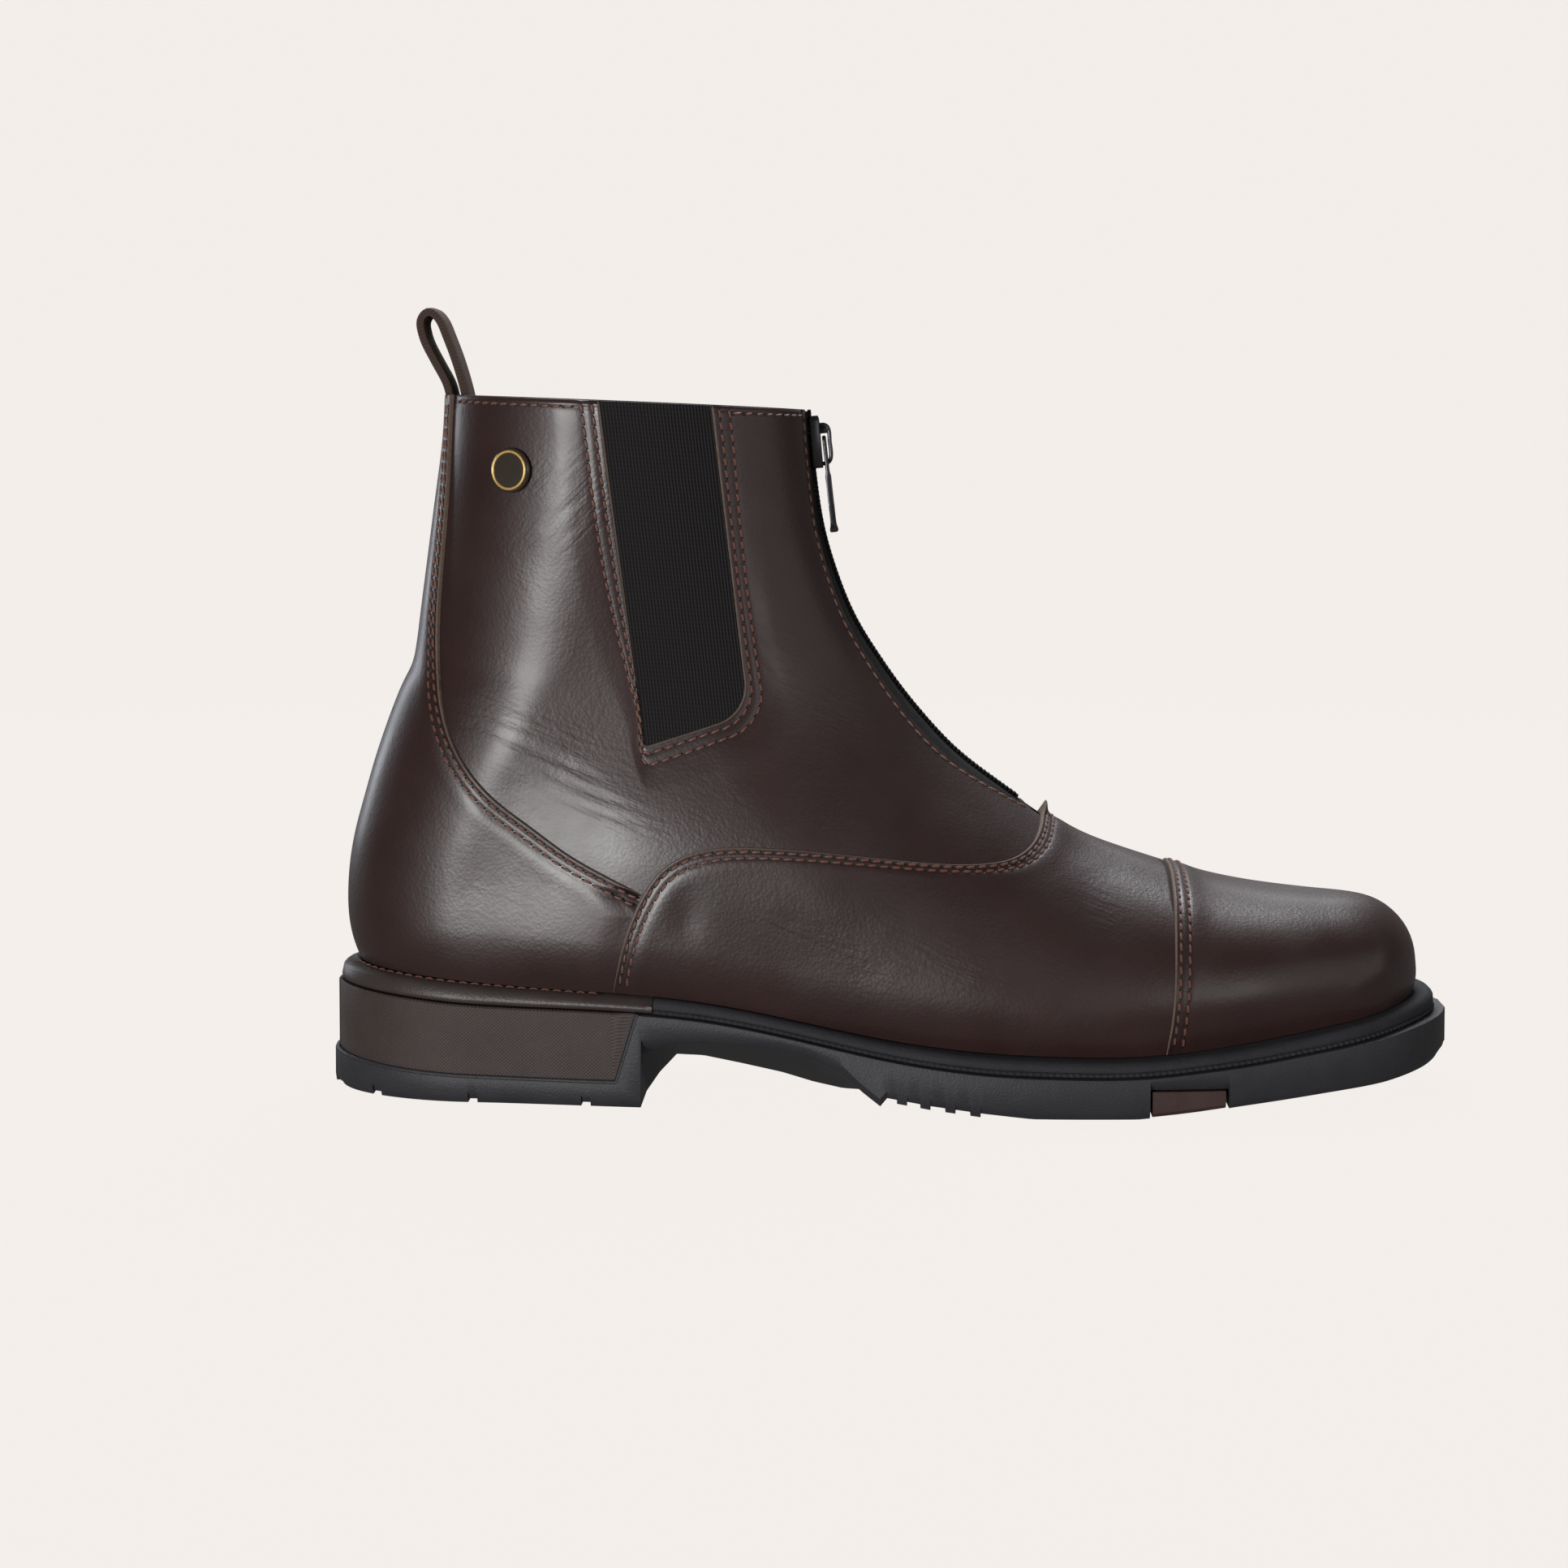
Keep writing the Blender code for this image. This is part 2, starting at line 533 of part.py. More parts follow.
def inset(outline, distance):
    """An outline moved inwards by a distance, corner by corner."""
    points = np.asarray(outline, float)
    back = points - np.roll(points, 1, axis=0)
    ahead = np.roll(points, -1, axis=0) - points
    back /= np.linalg.norm(back, axis=1, keepdims=True)
    ahead /= np.linalg.norm(ahead, axis=1, keepdims=True)
    area = (points[:, 0] * np.roll(points[:, 1], -1) - np.roll(points[:, 0], -1) * points[:, 1]).sum()
    facing = 1 if area > 0 else -1
    normal_back = facing * np.stack([-back[:, 1], back[:, 0]], axis=1)
    normal_ahead = facing * np.stack([-ahead[:, 1], ahead[:, 0]], axis=1)
    bisector = normal_back + normal_ahead
    return points + distance * 2 * bisector / (bisector**2).sum(axis=1, keepdims=True)


def toe_stations(start, stop, count):
    """Stations that crowd towards the toe end."""
    return [stop - (stop - start) * (1 - math.sin(math.pi / 2 * k / count)) for k in range(count + 1)]


def heel_stations(start, stop, count):
    """Stations that crowd towards the heel end."""
    return [start + (stop - start) * (1 - math.cos(math.pi / 2 * k / count)) for k in range(count + 1)]


WAIST_STATIONS = [88.5, 93.0, 100.0, 110.0, 121.0, 129.0, 137.0, 142.0, 147.0]
TREAD_STATIONS = [148.8, 160.0, 174.0, 186.0, 200.0, 213.0, 226.0]
PLATEAU_FRONT = FOOT_FRONT_S - LEDGE_TUCK
PLATEAU_END = [PLATEAU_FRONT - 0.8, PLATEAU_FRONT]
TOE_STATIONS = sorted(toe_stations(226.0, SOLE_LENGTH, 10)[1:] + PLATEAU_END)
HEEL_ROUND, HEEL_MIDDLE, HEEL_STEPS = 60.0, 70.0, 8
HEEL_STATIONS = heel_stations(0.0, HEEL_ROUND, HEEL_STEPS) + [HEEL_MIDDLE]


def underside(s):
    """Heights of the sole's bottom edge and of its keel."""
    if s <= HEEL_FRONT:
        return 0.0, 0.0
    if s < FOREFOOT_BOTTOM[0][0]:
        knots, edge, keel = zip(*UNDERSIDE)
        return float(np.interp(s, knots, edge)), float(np.interp(s, knots, keel))
    knots, bottom = zip(*FOREFOOT_BOTTOM)
    height = float(np.interp(s, knots, bottom))
    return height, height


def outsole_section(top, ledge, bottom, in_recess):
    """Outline across the outsole, from its plateau down the outer side, under, and up the inner side.

    top, ledge and bottom are the stations of the plateau, of the ledge and of the underside. In the heel
    recess plateau and ledge lie on the top piece.
    """
    edge_z, keel_z = underside(bottom)
    if in_recess:
        plateau_z = ledge_z = float(top_piece_height(top))
    else:
        ledge_z = float(seat_height(ledge) - band_height(ledge))
        plateau_z = float(seat_height(top)) if top < PLATEAU_FRONT else ledge_z
    low_z = min(edge_z + EDGE_BEVEL_UP, ledge_z - EDGE_LEAST)
    halves = {}
    for side in (OUTER, INNER):
        centre = float(middle(bottom))
        plateau_y = at_least(side, plateau_edge[side](top), centre, PLATEAU_LEAST)
        ledge_y = at_least(side, ledge_edge[side](ledge), centre, LEDGE_LEAST)
        outer_y = float(sole_edge[side](ledge))
        low_y = float(sole_edge[side](bottom))
        bevel_y = at_least(side, sole_bevel_edge[side](bottom), centre, BEVEL_LEAST)
        keel_y = side * min(KEEL_HALF_WIDTH, KEEL_SHARE * abs(bevel_y - centre)) + centre
        halves[side] = [
            (top, plateau_y, plateau_z), (ledge, ledge_y, ledge_z), (ledge, outer_y, ledge_z),
            (bottom, low_y, low_z), (bottom, bevel_y, edge_z), (bottom, keel_y, keel_z),
        ]
    return halves[OUTER] + halves[INNER][::-1]


def outsole_sections():
    """Sections from heel to toe. The heel recess ends in a slanted front wall."""
    recess_foot = BLOCK_FRONT_FOOT
    ledge_z = float(seat_height(HEEL_FRONT) - band_height(HEEL_FRONT))
    rise = ledge_z - float(top_piece_height(HEEL_FRONT))
    recess_ledge = recess_foot + BLOCK_FRONT_SLOPE * rise
    recess_top = recess_ledge + BLOCK_FRONT_SLOPE * float(band_height(HEEL_FRONT))
    sections = [outsole_section(s, s, s, True) for s in HEEL_STATIONS]
    sections.append(outsole_section(recess_foot, recess_foot, HEEL_FRONT - BREAST_BACK, True))
    sections.append(outsole_section(recess_top, recess_ledge, HEEL_FRONT, False))
    lip_top, lip_ledge = recess_top + LIP_TOP_RUN, recess_ledge + LIP_LEDGE_RUN
    sections.append(outsole_section(lip_top, lip_ledge, HEEL_FRONT + BREAST_RUN, False))
    sections += [outsole_section(s, s, s, False) for s in WAIST_STATIONS + TREAD_STATIONS + TOE_STATIONS]
    return sections


def make_outsole(material):
    """Rubber sole with heel top piece, recess for the heel block, keeled waist, grooves and stud ribs."""
    outsole = loft("outsole", outsole_sections(), material)
    wide = (-BEYOND, BEYOND)
    grooves = []
    for s in HEEL_GROOVES + FOREFOOT_GROOVES:
        top = underside(s)[0] + GROOVE_DEPTH
        inside = (float(sole_edge[OUTER](s)) + GROOVE_MARGIN, float(sole_edge[INNER](s)) - GROOVE_MARGIN)
        across = wide if s in HEEL_GROOVES else inside
        grooves.append(((s - GROOVE_WIDTH / 2, s + GROOVE_WIDTH / 2), across, (-CLEAR, top)))
    grooves.append(((INSERT_BACK, INSERT_FRONT), wide, (-CLEAR, INSERT_TOP)))
    boolean(outsole, box_helper("tread_grooves", grooves), "DIFFERENCE")
    ribs = []
    for s in STUD_RIBS:
        bottom = underside(s)[0]
        side = (float(sole_edge[OUTER](s)) + RIB_MARGIN, float(sole_edge[INNER](s)) - RIB_MARGIN)
        height = (max(bottom - RIB_DROP, RIB_FLOOR), bottom + RIB_ROOT)
        ribs.append(((s - RIB_WIDTH / 2, s + RIB_WIDTH / 2), side, height))
    boolean(outsole, box_helper("stud_ribs", ribs), "UNION")
    return outsole


def make_tread_insert(material):
    """Block in the slot across the forefoot, a little inside the sole's edge."""
    back, front = INSERT_BACK + GAP, INSERT_FRONT - GAP
    sections = []
    for s in np.linspace(back, front, INSERT_SECTIONS):
        low, high = underside(s)[0] + INSERT_RISE, INSERT_TOP - GAP
        outer_y, inner_y = sole_edge[OUTER](s) + INSERT_INSET, sole_edge[INNER](s) - INSERT_INSET
        sections.append([
            (s, outer_y, high), (s, outer_y, low + INSERT_BEVEL), (s, outer_y + INSERT_BEVEL, low),
            (s, inner_y - INSERT_BEVEL, low), (s, inner_y, low + INSERT_BEVEL), (s, inner_y, high),
        ])
    return loft("tread_insert", sections, material)


def make_heel_block(material):
    """Lift on the top piece, with a ledge for the rand and a plateau for the insole, and a slanted front."""
    def section(s, front=False):
        halves = {}
        for side in (OUTER, INNER):
            foot_z = float(top_piece_height(s)) + GAP

            def at(z):
                return BLOCK_FRONT_FOOT - RECESS_GAP + BLOCK_FRONT_SLOPE * (z - foot_z) if front else s

            ledge_z = float(seat_height(s) - band_height(s))
            plateau_z = float(seat_height(at(ledge_z + float(band_height(s)))))
            plateau_y = at_least(side, plateau_edge[side](s), 0.0, PLATEAU_LEAST)
            ledge_y = at_least(side, ledge_edge[side](s), 0.0, LEDGE_LEAST)
            outer_y = float(block_edge[side](s))
            halves[side] = [
                (at(plateau_z), plateau_y, plateau_z), (at(ledge_z), ledge_y, ledge_z),
                (at(ledge_z), outer_y, ledge_z), (at(foot_z), outer_y, foot_z),
            ]
            if s < BLOCK_INSET + PLATEAU_TUCK + FOOT_BACK_S:
                halves[side][0] = (s, plateau_y, ledge_z)
        return halves[OUTER] + halves[INNER][::-1]

    stations = heel_stations(BLOCK_INSET, HEEL_ROUND, HEEL_STEPS) + [HEEL_MIDDLE]
    sections = [section(s) for s in stations] + [section(BLOCK_FRONT_FOOT - RECESS_GAP, front=True)]
    return loft("heel_block", sections, material)


def angle_at(station, side):
    """Angle on the foot ring whose station is given."""
    angle = np.linspace(1e-4, math.pi - 1e-4, PLAN_SAMPLES)
    stations = foot_ring(angle if side == OUTER else -angle, np.zeros_like(angle))[:, 0]
    return side * -float(np.interp(station, stations[::-1], angle[::-1]))


def rim_strip(name, angles, profile, edge_inset, material):
    """Strip on the ledge that follows the upper's foot, with a profile table as its section."""
    sections = []
    for angle in np.asarray(angles)[:, None]:
        station = foot_ring(angle, np.zeros(1))[0, 0]
        edge = float(overhang(station)) - edge_inset
        row = []
        for inset_from_edge, datum, rise in profile:
            reach = -BAND_TUCK if inset_from_edge is None else edge - inset_from_edge
            s, y = foot_ring(angle, np.array([reach]))[0]
            height = seat_height(s) if datum == "seat" else seat_height(s) - band_height(s)
            row.append((s, y, float(height) + rise))
        sections.append(row)
    return loft(name, sections, material)


def make_welt(material):
    """Rim strip from waist to waist round the toe, rounded above, with a groove over the outsole."""
    angles = np.linspace(angle_at(WELT_BACK, OUTER), angle_at(WELT_BACK, INNER), WELT_SECTIONS)
    return rim_strip("welt", angles, WELT_PROFILE, 0.0, material)


def make_heel_rand(material):
    """Rolled strip round the heel seat, resting on the heel block's ledge."""
    stop = 2 * math.pi + angle_at(RAND_FRONT, INNER)
    angles = np.linspace(angle_at(RAND_FRONT, OUTER), stop, RAND_SECTIONS)
    return rim_strip("heel_rand", angles, RAND_PROFILE, BLOCK_INSET, material)


def make_insole(material):
    """Inner sole on the plateau, inside the upper's wall."""
    first, last = FOOT_BACK_S + WALL + INSOLE_END, FOOT_FRONT_S - WALL - INSOLE_END
    stations = heel_stations(first, HEEL_ROUND, INSOLE_STEPS) + [HEEL_MIDDLE, HEEL_FRONT]
    stations += WAIST_STATIONS[1:] + TREAD_STATIONS
    stations += [s for s in TOE_STATIONS if s < last - INSOLE_END] + [last]
    sections = []
    for s in stations:
        low, high = float(seat_height(s)) + SEAT_GAP, float(seat_height(s)) + SEAT_GAP + INSOLE_THICK
        outer_y, inner_y = insole_edge[OUTER](s), insole_edge[INNER](s)
        sections.append([(s, outer_y, low), (s, inner_y, low), (s, inner_y, high), (s, outer_y, high)])
    return loft("insole", sections, material)


def gore_outline():
    """Gore window from the side, with its front lower corner rounded."""
    return filleted(GORE_CORNERS, GORE_ROUND_CORNER, GORE_CORNER_RADIUS)


def zip_slot(margin):
    """The zip's slot seen from the front, made smaller by a margin."""
    foot, *rest = ZIP_SLOT
    return [(foot[0] + margin, foot[1] - margin)] + [(z, half - margin) for z, half in rest]


def make_upper(material):
    """Hollow leather wall with two gore windows and a zip slot, open at collar and foot."""
    upper = last_wall("upper", -WALL, 0.0, material)
    boolean(upper, prism("gore_window", gore_outline()), "DIFFERENCE")
    boolean(upper, front_prism("zip_slot", zip_slot(0.0), ZIP_BACK, SOLE_LENGTH), "DIFFERENCE")
    return upper


def vamp_outline():
    seam = smooth_path(VAMP_SEAM, SEAM_SAMPLES).tolist()
    cap = shifted(smooth_path(CAP_SEAM, CAP_SAMPLES).tolist(), -GAP)[::-1]
    return [(seam[0][0], 0.0)] + seam + cap + [(cap[-1][0], 0.0)]


def cap_outline():
    cap = smooth_path(CAP_SEAM, CAP_SAMPLES).tolist()
    return [(cap[0][0], 0.0)] + cap + [(SOLE_LENGTH + CLEAR, cap[-1][1]), (SOLE_LENGTH + CLEAR, 0.0)]


def counter_outline():
    """Back strap and heel counter. The front edge is the vamp's seam, up to where the two seams meet."""
    seam = smooth_path(COUNTER_SEAM, SEAM_SAMPLES).tolist()
    vamp = shifted(smooth_path(VAMP_SEAM, SEAM_SAMPLES).tolist(), -SEAT_GAP)
    front = [point for point in vamp if point[1] < COUNTER_SEAM[-1][1]][::-1]
    return [(-CLEAR, seam[0][1])] + seam[:-1] + front + [(front[-1][0], 0.0), (-CLEAR, 0.0)]


def make_overlay(name, outline, thick, material):
    """Leather cut between two larger forms of the last, by its outline from the side."""
    overlay = last_wall(name, GAP, GAP + thick, material)
    boolean(overlay, prism(name + "_cut", outline), "INTERSECT")
    return overlay


def make_gores(material):
    """Elastic panels that fill the gore windows, a little below the leather."""
    outline = inset(gore_outline(), GAP)
    for name, low, high in (("gore_outer", -BEYOND, 0.0), ("gore_inner", 0.0, BEYOND)):
        gore = last_wall(name, -GORE_DROP - GORE_THICK, -GORE_DROP, material)
        boolean(gore, prism(name + "_cut", outline, low, high), "INTERSECT")


def make_zip_strip(name, rows, inner, outer, material):
    """Strip up the shin between two offsets of the last, cut by its outline from the front."""
    strip = last_wall(name, inner, outer, material)
    boolean(strip, front_prism(name + "_cut", rows, ZIP_BACK, SOLE_LENGTH), "INTERSECT")
    return strip


def make_zip(tape, metal):
    """Woven tape behind the slot, with the row of teeth on it."""
    make_zip_strip("zip_tape", zip_slot(SEAT_GAP), -TAPE_DROP - TAPE_THICK, -TAPE_DROP, tape)
    chain = [(ZIP_SLOT[0][0] + CHAIN_FOOT, CHAIN_HALF_WIDTH), (ZIP_SLOT[-1][0], CHAIN_HALF_WIDTH)]
    make_zip_strip("zip_chain", chain, CHAIN_RISE - CHAIN_THICK, CHAIN_RISE, metal)


def leaning(lean):
    """Turns points outwards, sideways and upwards from a hinge, in millimetres, into metres at a lean."""
    def to_metres(points):
        out, side, up = points.T
        ahead = out * math.cos(lean) + up * math.sin(lean)
        height = up * math.cos(lean) - out * math.sin(lean)
        return np.column_stack([ahead, side, height]) * MM

    return to_metres


def extruded(name, outline, half_width_across, origin, lean, material=None):
    """Plate with a side-view outline, given outwards and upwards from its origin."""
    sections = [[(out, y, up) for out, up in outline] for y in (-half_width_across, half_width_across)]
    obj = loft(name, sections, material, leaning(lean))
    obj.location = Vector(origin)
    return obj


def slider_seat():
    """Point on the zip chain's face at the slider's middle, and the lean of the face there."""
    share = np.linspace(0, 1, len(front_curve))
    at = float(np.interp(SLIDER_HEIGHT, front_line(share)[1], share))
    nearby = 0.02
    below, above = front_line(at - nearby), front_line(at + nearby)
    lean = math.atan2(float(above[0] - below[0]), float(above[1] - below[1]))
    out = CHAIN_RISE + SEAT_GAP
    centre = front_line(at)
    seat = (float(centre[0]) + out * math.cos(lean), 0.0, float(centre[1]) - out * math.sin(lean))
    return seat, lean


def make_slider(material):
    """Slider plate with an arched crown standing off it."""
    seat, lean = slider_seat()
    origin = place(seat)
    half, thick = SLIDER_LENGTH / 2, SLIDER_THICK
    bevel = SLIDER_BEVEL
    plate = [(0.0, -half + bevel), (thick - bevel, -half), (thick, -half + bevel), (thick, half - bevel),
             (thick - bevel, half), (0.0, half)]
    slider = extruded("zip_slider", plate, SLIDER_HALF_WIDTH, origin, lean, material)
    root, reach, bar, turn = thick - bevel, CROWN_REACH, CROWN_BAR, CROWN_TURN
    outside = [(root, CROWN_FOOT), (reach - turn, CROWN_FOOT), (reach, CROWN_FOOT + turn),
               (reach, CROWN_TOP - turn), (reach - turn, CROWN_TOP), (root, CROWN_TOP)]
    inside = [(root, CROWN_TOP - CROWN_BRIDGE), (reach - bar, CROWN_TOP - CROWN_BRIDGE),
              (reach - bar, CROWN_FOOT + turn), (reach - turn, CROWN_FOOT + bar), (root, CROWN_FOOT + bar)]
    crown = extruded("slider_crown", outside + inside, CROWN_HALF_WIDTH, origin, lean)
    boolean(slider, hide_helper(crown), "UNION")
    return slider


def pivot_point():
    """Hinge axis of the pull tab, inside the crown."""
    seat, lean = slider_seat()
    return (
        seat[0] + PIVOT_OUT * math.cos(lean) + PIVOT_UP * math.sin(lean), 0.0,
        seat[2] + PIVOT_UP * math.cos(lean) - PIVOT_OUT * math.sin(lean),
    )


def make_pull(material):
    """Pull tab with a window for the crown and a thicker foot. The bar above the window is its hinge."""
    lean = -math.radians(PULL_LEAN_DEG)
    origin = place(pivot_point())
    sections = []
    for below, thick, half in PULL_TAB:
        sections.append([(-thick, -half, -below), (thick, -half, -below), (thick, half, -below),
                         (-thick, half, -below)])
    pull = loft("zip_pull", sections, material, leaning(lean))
    pull.location = Vector(origin)
    low, high = -PULL_WINDOW_FOOT, -PIVOT_RADIUS
    window = [(-PULL_REACH, low), (PULL_REACH, low), (PULL_REACH, high), (-PULL_REACH, high)]
    boolean(pull, hide_helper(extruded("pull_window", window, PULL_WINDOW_HALF, origin, lean)), "DIFFERENCE")
    return pull


def make_pull_loop(material):
    """Webbing strip folded over into a loop, from the collar's rim to the inside of the back."""
    path = smooth_path(LOOP_LINE, LOOP_SECTIONS)
    run = np.gradient(path, axis=0)
    run /= np.linalg.norm(run, axis=1, keepdims=True)
    across = np.stack([-run[:, 1], run[:, 0]], axis=1) * LOOP_THICK / 2
    sections = []
    for at, off in zip(path, across):
        near, far = at - off, at + off
        sections.append([
            (near[0], -LOOP_HALF_WIDTH, near[1]), (near[0], LOOP_HALF_WIDTH, near[1]),
            (far[0], LOOP_HALF_WIDTH, far[1]), (far[0], -LOOP_HALF_WIDTH, far[1]),
        ])
    return loft("pull_loop", sections, material)


def make_side_stud(material):
    """Domed round stud on the outer quarter."""
    s, z = np.array([STUD_STATION]), np.array([STUD_HEIGHT])
    small = 0.5

    def surface(ds, dz):
        return np.array([s[0] + ds, -half_width(s + ds, z + dz, OUTER)[0], z[0] + dz])

    along = surface(small, 0.0) - surface(-small, 0.0)
    up = surface(0.0, small) - surface(0.0, -small)
    axis = Vector(np.cross(along, up)).normalized()
    if axis.y > 0:
        axis.negate()
    side = axis.orthogonal().normalized()
    over = axis.cross(side)
    base = Vector(surface(0.0, 0.0)) + axis * STUD_LIFT
    sections = []
    for radius, rise in STUD_PROFILE:
        ring = []
        for k in range(STUD_SIDES):
            turn = 2 * math.pi * k / STUD_SIDES
            ring.append(tuple(base + axis * rise + (side * math.cos(turn) + over * math.sin(turn)) * radius))
        sections.append(ring)
    return loft("side_stud", sections, material)


def main():
    for obj in list(bpy.data.objects):
        bpy.data.objects.remove(obj, do_unlink=True)
    leather = finish_material("brown_leather", (0.040, 0.025, 0.022), 0.38)
    cap_leather = finish_material("brown_leather_overlay", (0.042, 0.026, 0.023), 0.36)
    black_rubber = finish_material("black_rubber", (0.032, 0.032, 0.036), 0.6)
    brown_rubber = finish_material("brown_rubber", (0.055, 0.038, 0.032), 0.55)
    red_rubber = finish_material("red_brown_rubber", (0.065, 0.030, 0.026), 0.6)
    elastic = finish_material("black_elastic", (0.012, 0.012, 0.013), 0.85)
    webbing = finish_material("brown_webbing", (0.060, 0.040, 0.032), 0.8)
    lining = finish_material("insole_lining", (0.10, 0.07, 0.05), 0.7)
    tape = finish_material("black_tape", (0.014, 0.013, 0.013), 0.8)
    black_metal = finish_material("black_metal", (0.03, 0.03, 0.032), 0.35, 1.0)
    stud_metal = finish_material("stud_metal", (0.05, 0.035, 0.025), 0.3, 0.8)

    make_outsole(black_rubber)
    make_tread_insert(red_rubber)
    make_heel_block(brown_rubber)
    make_heel_rand(brown_rubber)
    make_welt(black_rubber)
    make_insole(lining)
    make_upper(leather)
    make_overlay("vamp", vamp_outline(), OVERLAY, leather)
    make_overlay("toe_cap", cap_outline(), TOE_CAP_THICK, cap_leather)
    make_overlay("counter", counter_outline(), OVERLAY, cap_leather)
    make_gores(elastic)
    make_zip(tape, black_metal)
    make_slider(black_metal)
    make_pull(black_metal)
    make_pull_loop(webbing)
    make_side_stud(stud_metal)


main()
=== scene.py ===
"""Looks of a right jodhpur boot: sewn leather panels, elastic gores, front zip, webbing loop and rubber sole.

Sizes are in millimetres until place() turns them into metres. A point has a station s, measured forward from
the back of the heel, a side offset y (negative towards the little toe) and a height z above the floor. The
leather lies on the last. A place on the last is an angle round a ring (0 on the front line, half a turn on
the back line, positive on the outer side) and a level (0 at the sole, 1 at the collar).
"""

import json
import math

import bpy
import numpy as np
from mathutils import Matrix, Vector


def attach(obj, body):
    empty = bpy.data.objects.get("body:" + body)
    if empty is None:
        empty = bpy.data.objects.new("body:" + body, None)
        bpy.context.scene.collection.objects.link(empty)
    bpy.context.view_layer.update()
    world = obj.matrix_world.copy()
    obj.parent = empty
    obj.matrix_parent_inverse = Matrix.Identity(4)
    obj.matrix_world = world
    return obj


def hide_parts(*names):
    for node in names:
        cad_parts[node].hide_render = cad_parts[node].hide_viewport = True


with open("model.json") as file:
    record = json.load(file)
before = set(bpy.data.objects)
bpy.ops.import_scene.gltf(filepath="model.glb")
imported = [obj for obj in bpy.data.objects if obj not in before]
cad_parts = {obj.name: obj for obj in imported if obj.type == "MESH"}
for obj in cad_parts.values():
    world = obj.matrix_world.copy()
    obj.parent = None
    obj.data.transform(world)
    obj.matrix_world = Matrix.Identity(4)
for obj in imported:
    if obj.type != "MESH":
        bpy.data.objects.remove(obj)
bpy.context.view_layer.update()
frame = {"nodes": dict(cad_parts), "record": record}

MM = 0.001
OUTER, INNER = -1, 1

# Driving sizes
SOLE_LENGTH = 298.0
COLLAR_HEIGHT = 185.0
WALL = 2.2
SEAT_GAP = 0.4

# Upper, back line over heel and shaft: height, station
BACK_LINE = [
    (30.0, 9.6), (34.0, 8.0), (42.0, 5.6), (52.0, 4.9), (60.0, 5.5), (69.0, 7.2), (77.0, 9.4), (86.0, 12.0),
    (95.0, 15.0), (103.5, 18.2), (108.0, 20.2), (112.0, 22.2), (117.0, 23.5), (125.0, 24.6), (143.0, 27.0),
    (160.0, 29.3), (173.0, 31.0), (186.0, 31.8),
]
# Upper, front line from the toe's foot over toe, instep and shin to the collar: station, height
FRONT_LINE = [
    (286.2, 25.5), (287.9, 31.0), (287.9, 36.0), (285.6, 42.0), (281.0, 46.3), (274.0, 48.6), (262.0, 50.2),
    (245.0, 52.5), (228.0, 56.6), (212.0, 61.8), (199.0, 67.0), (189.0, 73.2), (178.8, 80.5), (167.0, 89.6),
    (158.9, 98.0), (151.7, 106.8), (145.6, 115.5), (140.0, 124.6), (134.4, 138.0), (131.2, 149.0),
    (129.2, 161.0), (128.0, 172.0), (127.3, 181.0),
]
# Foot in plan, about the boot's middle line: station, half width outwards, half width inwards
FOOT_WIDTH = [
    (0.0, 28.5, 29.5), (40.0, 30.4, 31.5), (80.0, 36.0, 30.5), (120.0, 39.6, 31.5), (160.0, 43.2, 37.0),
    (190.0, 45.5, 42.5), (215.0, 45.0, 44.5), (240.0, 42.0, 43.5), (262.0, 36.0, 39.0), (278.0, 29.0, 33.0),
    (292.0, 21.0, 26.0),
]
# Shaft: height, half width
SHAFT_WIDTH = [(60.0, 32.0), (90.0, 31.0), (115.0, 31.5), (150.0, 34.0), (186.0, 36.5)]
# Rounding behind the front line: share of the way up that line, depth to full width, power of the arc
FRONT_ROUNDING = [
    (0.0, 20.0, 2.3), (0.12, 22.0, 2.4), (0.22, 26.0, 2.4), (0.38, 44.0, 2.15), (0.5, 54.0, 2.05),
    (0.65, 51.0, 2.0), (1.0, 48.0, 2.0),
]
# Rounding at the back line: height, depth to full width
BACK_ROUNDING = [(30.0, 31.0), (60.0, 33.0), (110.0, 42.0), (186.0, 48.0)]
BACK_POWER = 2.0
SHAFT_START, SHAFT_FULL = 50.0, 115.0
TOE_INWARDS = 5.0
TOE_TURN_START, TOE_TURN_LENGTH = 150.0, 140.0
FEATHER_TUCK, FEATHER_ZONE = 0.07, 14.0
SAG_SHARE, SAG_END_POWER, FOOT_SHARE = 0.4, 200, 0.05

# Sole seen from the side. Seat is the top of welt and rand, band their height: station, seat height, band
SEAT_LINE = [
    (0.0, 34.3, 6.1), (24.0, 32.4, 5.9), (43.0, 31.0, 5.7), (66.0, 29.8, 5.0), (88.0, 28.7, 4.6),
    (103.0, 27.0, 4.3), (116.5, 24.7, 4.2), (132.5, 21.5, 4.2), (148.6, 18.5, 4.3), (164.7, 16.4, 4.4),
    (179.0, 15.3, 4.4), (193.0, 14.8, 4.3), (216.0, 14.9, 4.2), (229.5, 16.2, 4.2), (242.4, 17.8, 4.3),
    (252.0, 19.3, 4.4), (275.0, 23.0, 4.7), (290.0, 25.8, 5.2), (298.0, 26.6, 5.4),
]
# Sole's reach past the upper's foot: station, overhang
OVERHANG = [
    (8.0, 8.0), (15.0, 6.6), (30.0, 5.2), (80.0, 4.5), (120.0, 5.2), (160.0, 7.6), (200.0, 8.6), (240.0, 9.2),
    (270.0, 10.4), (286.2, 11.8),
]

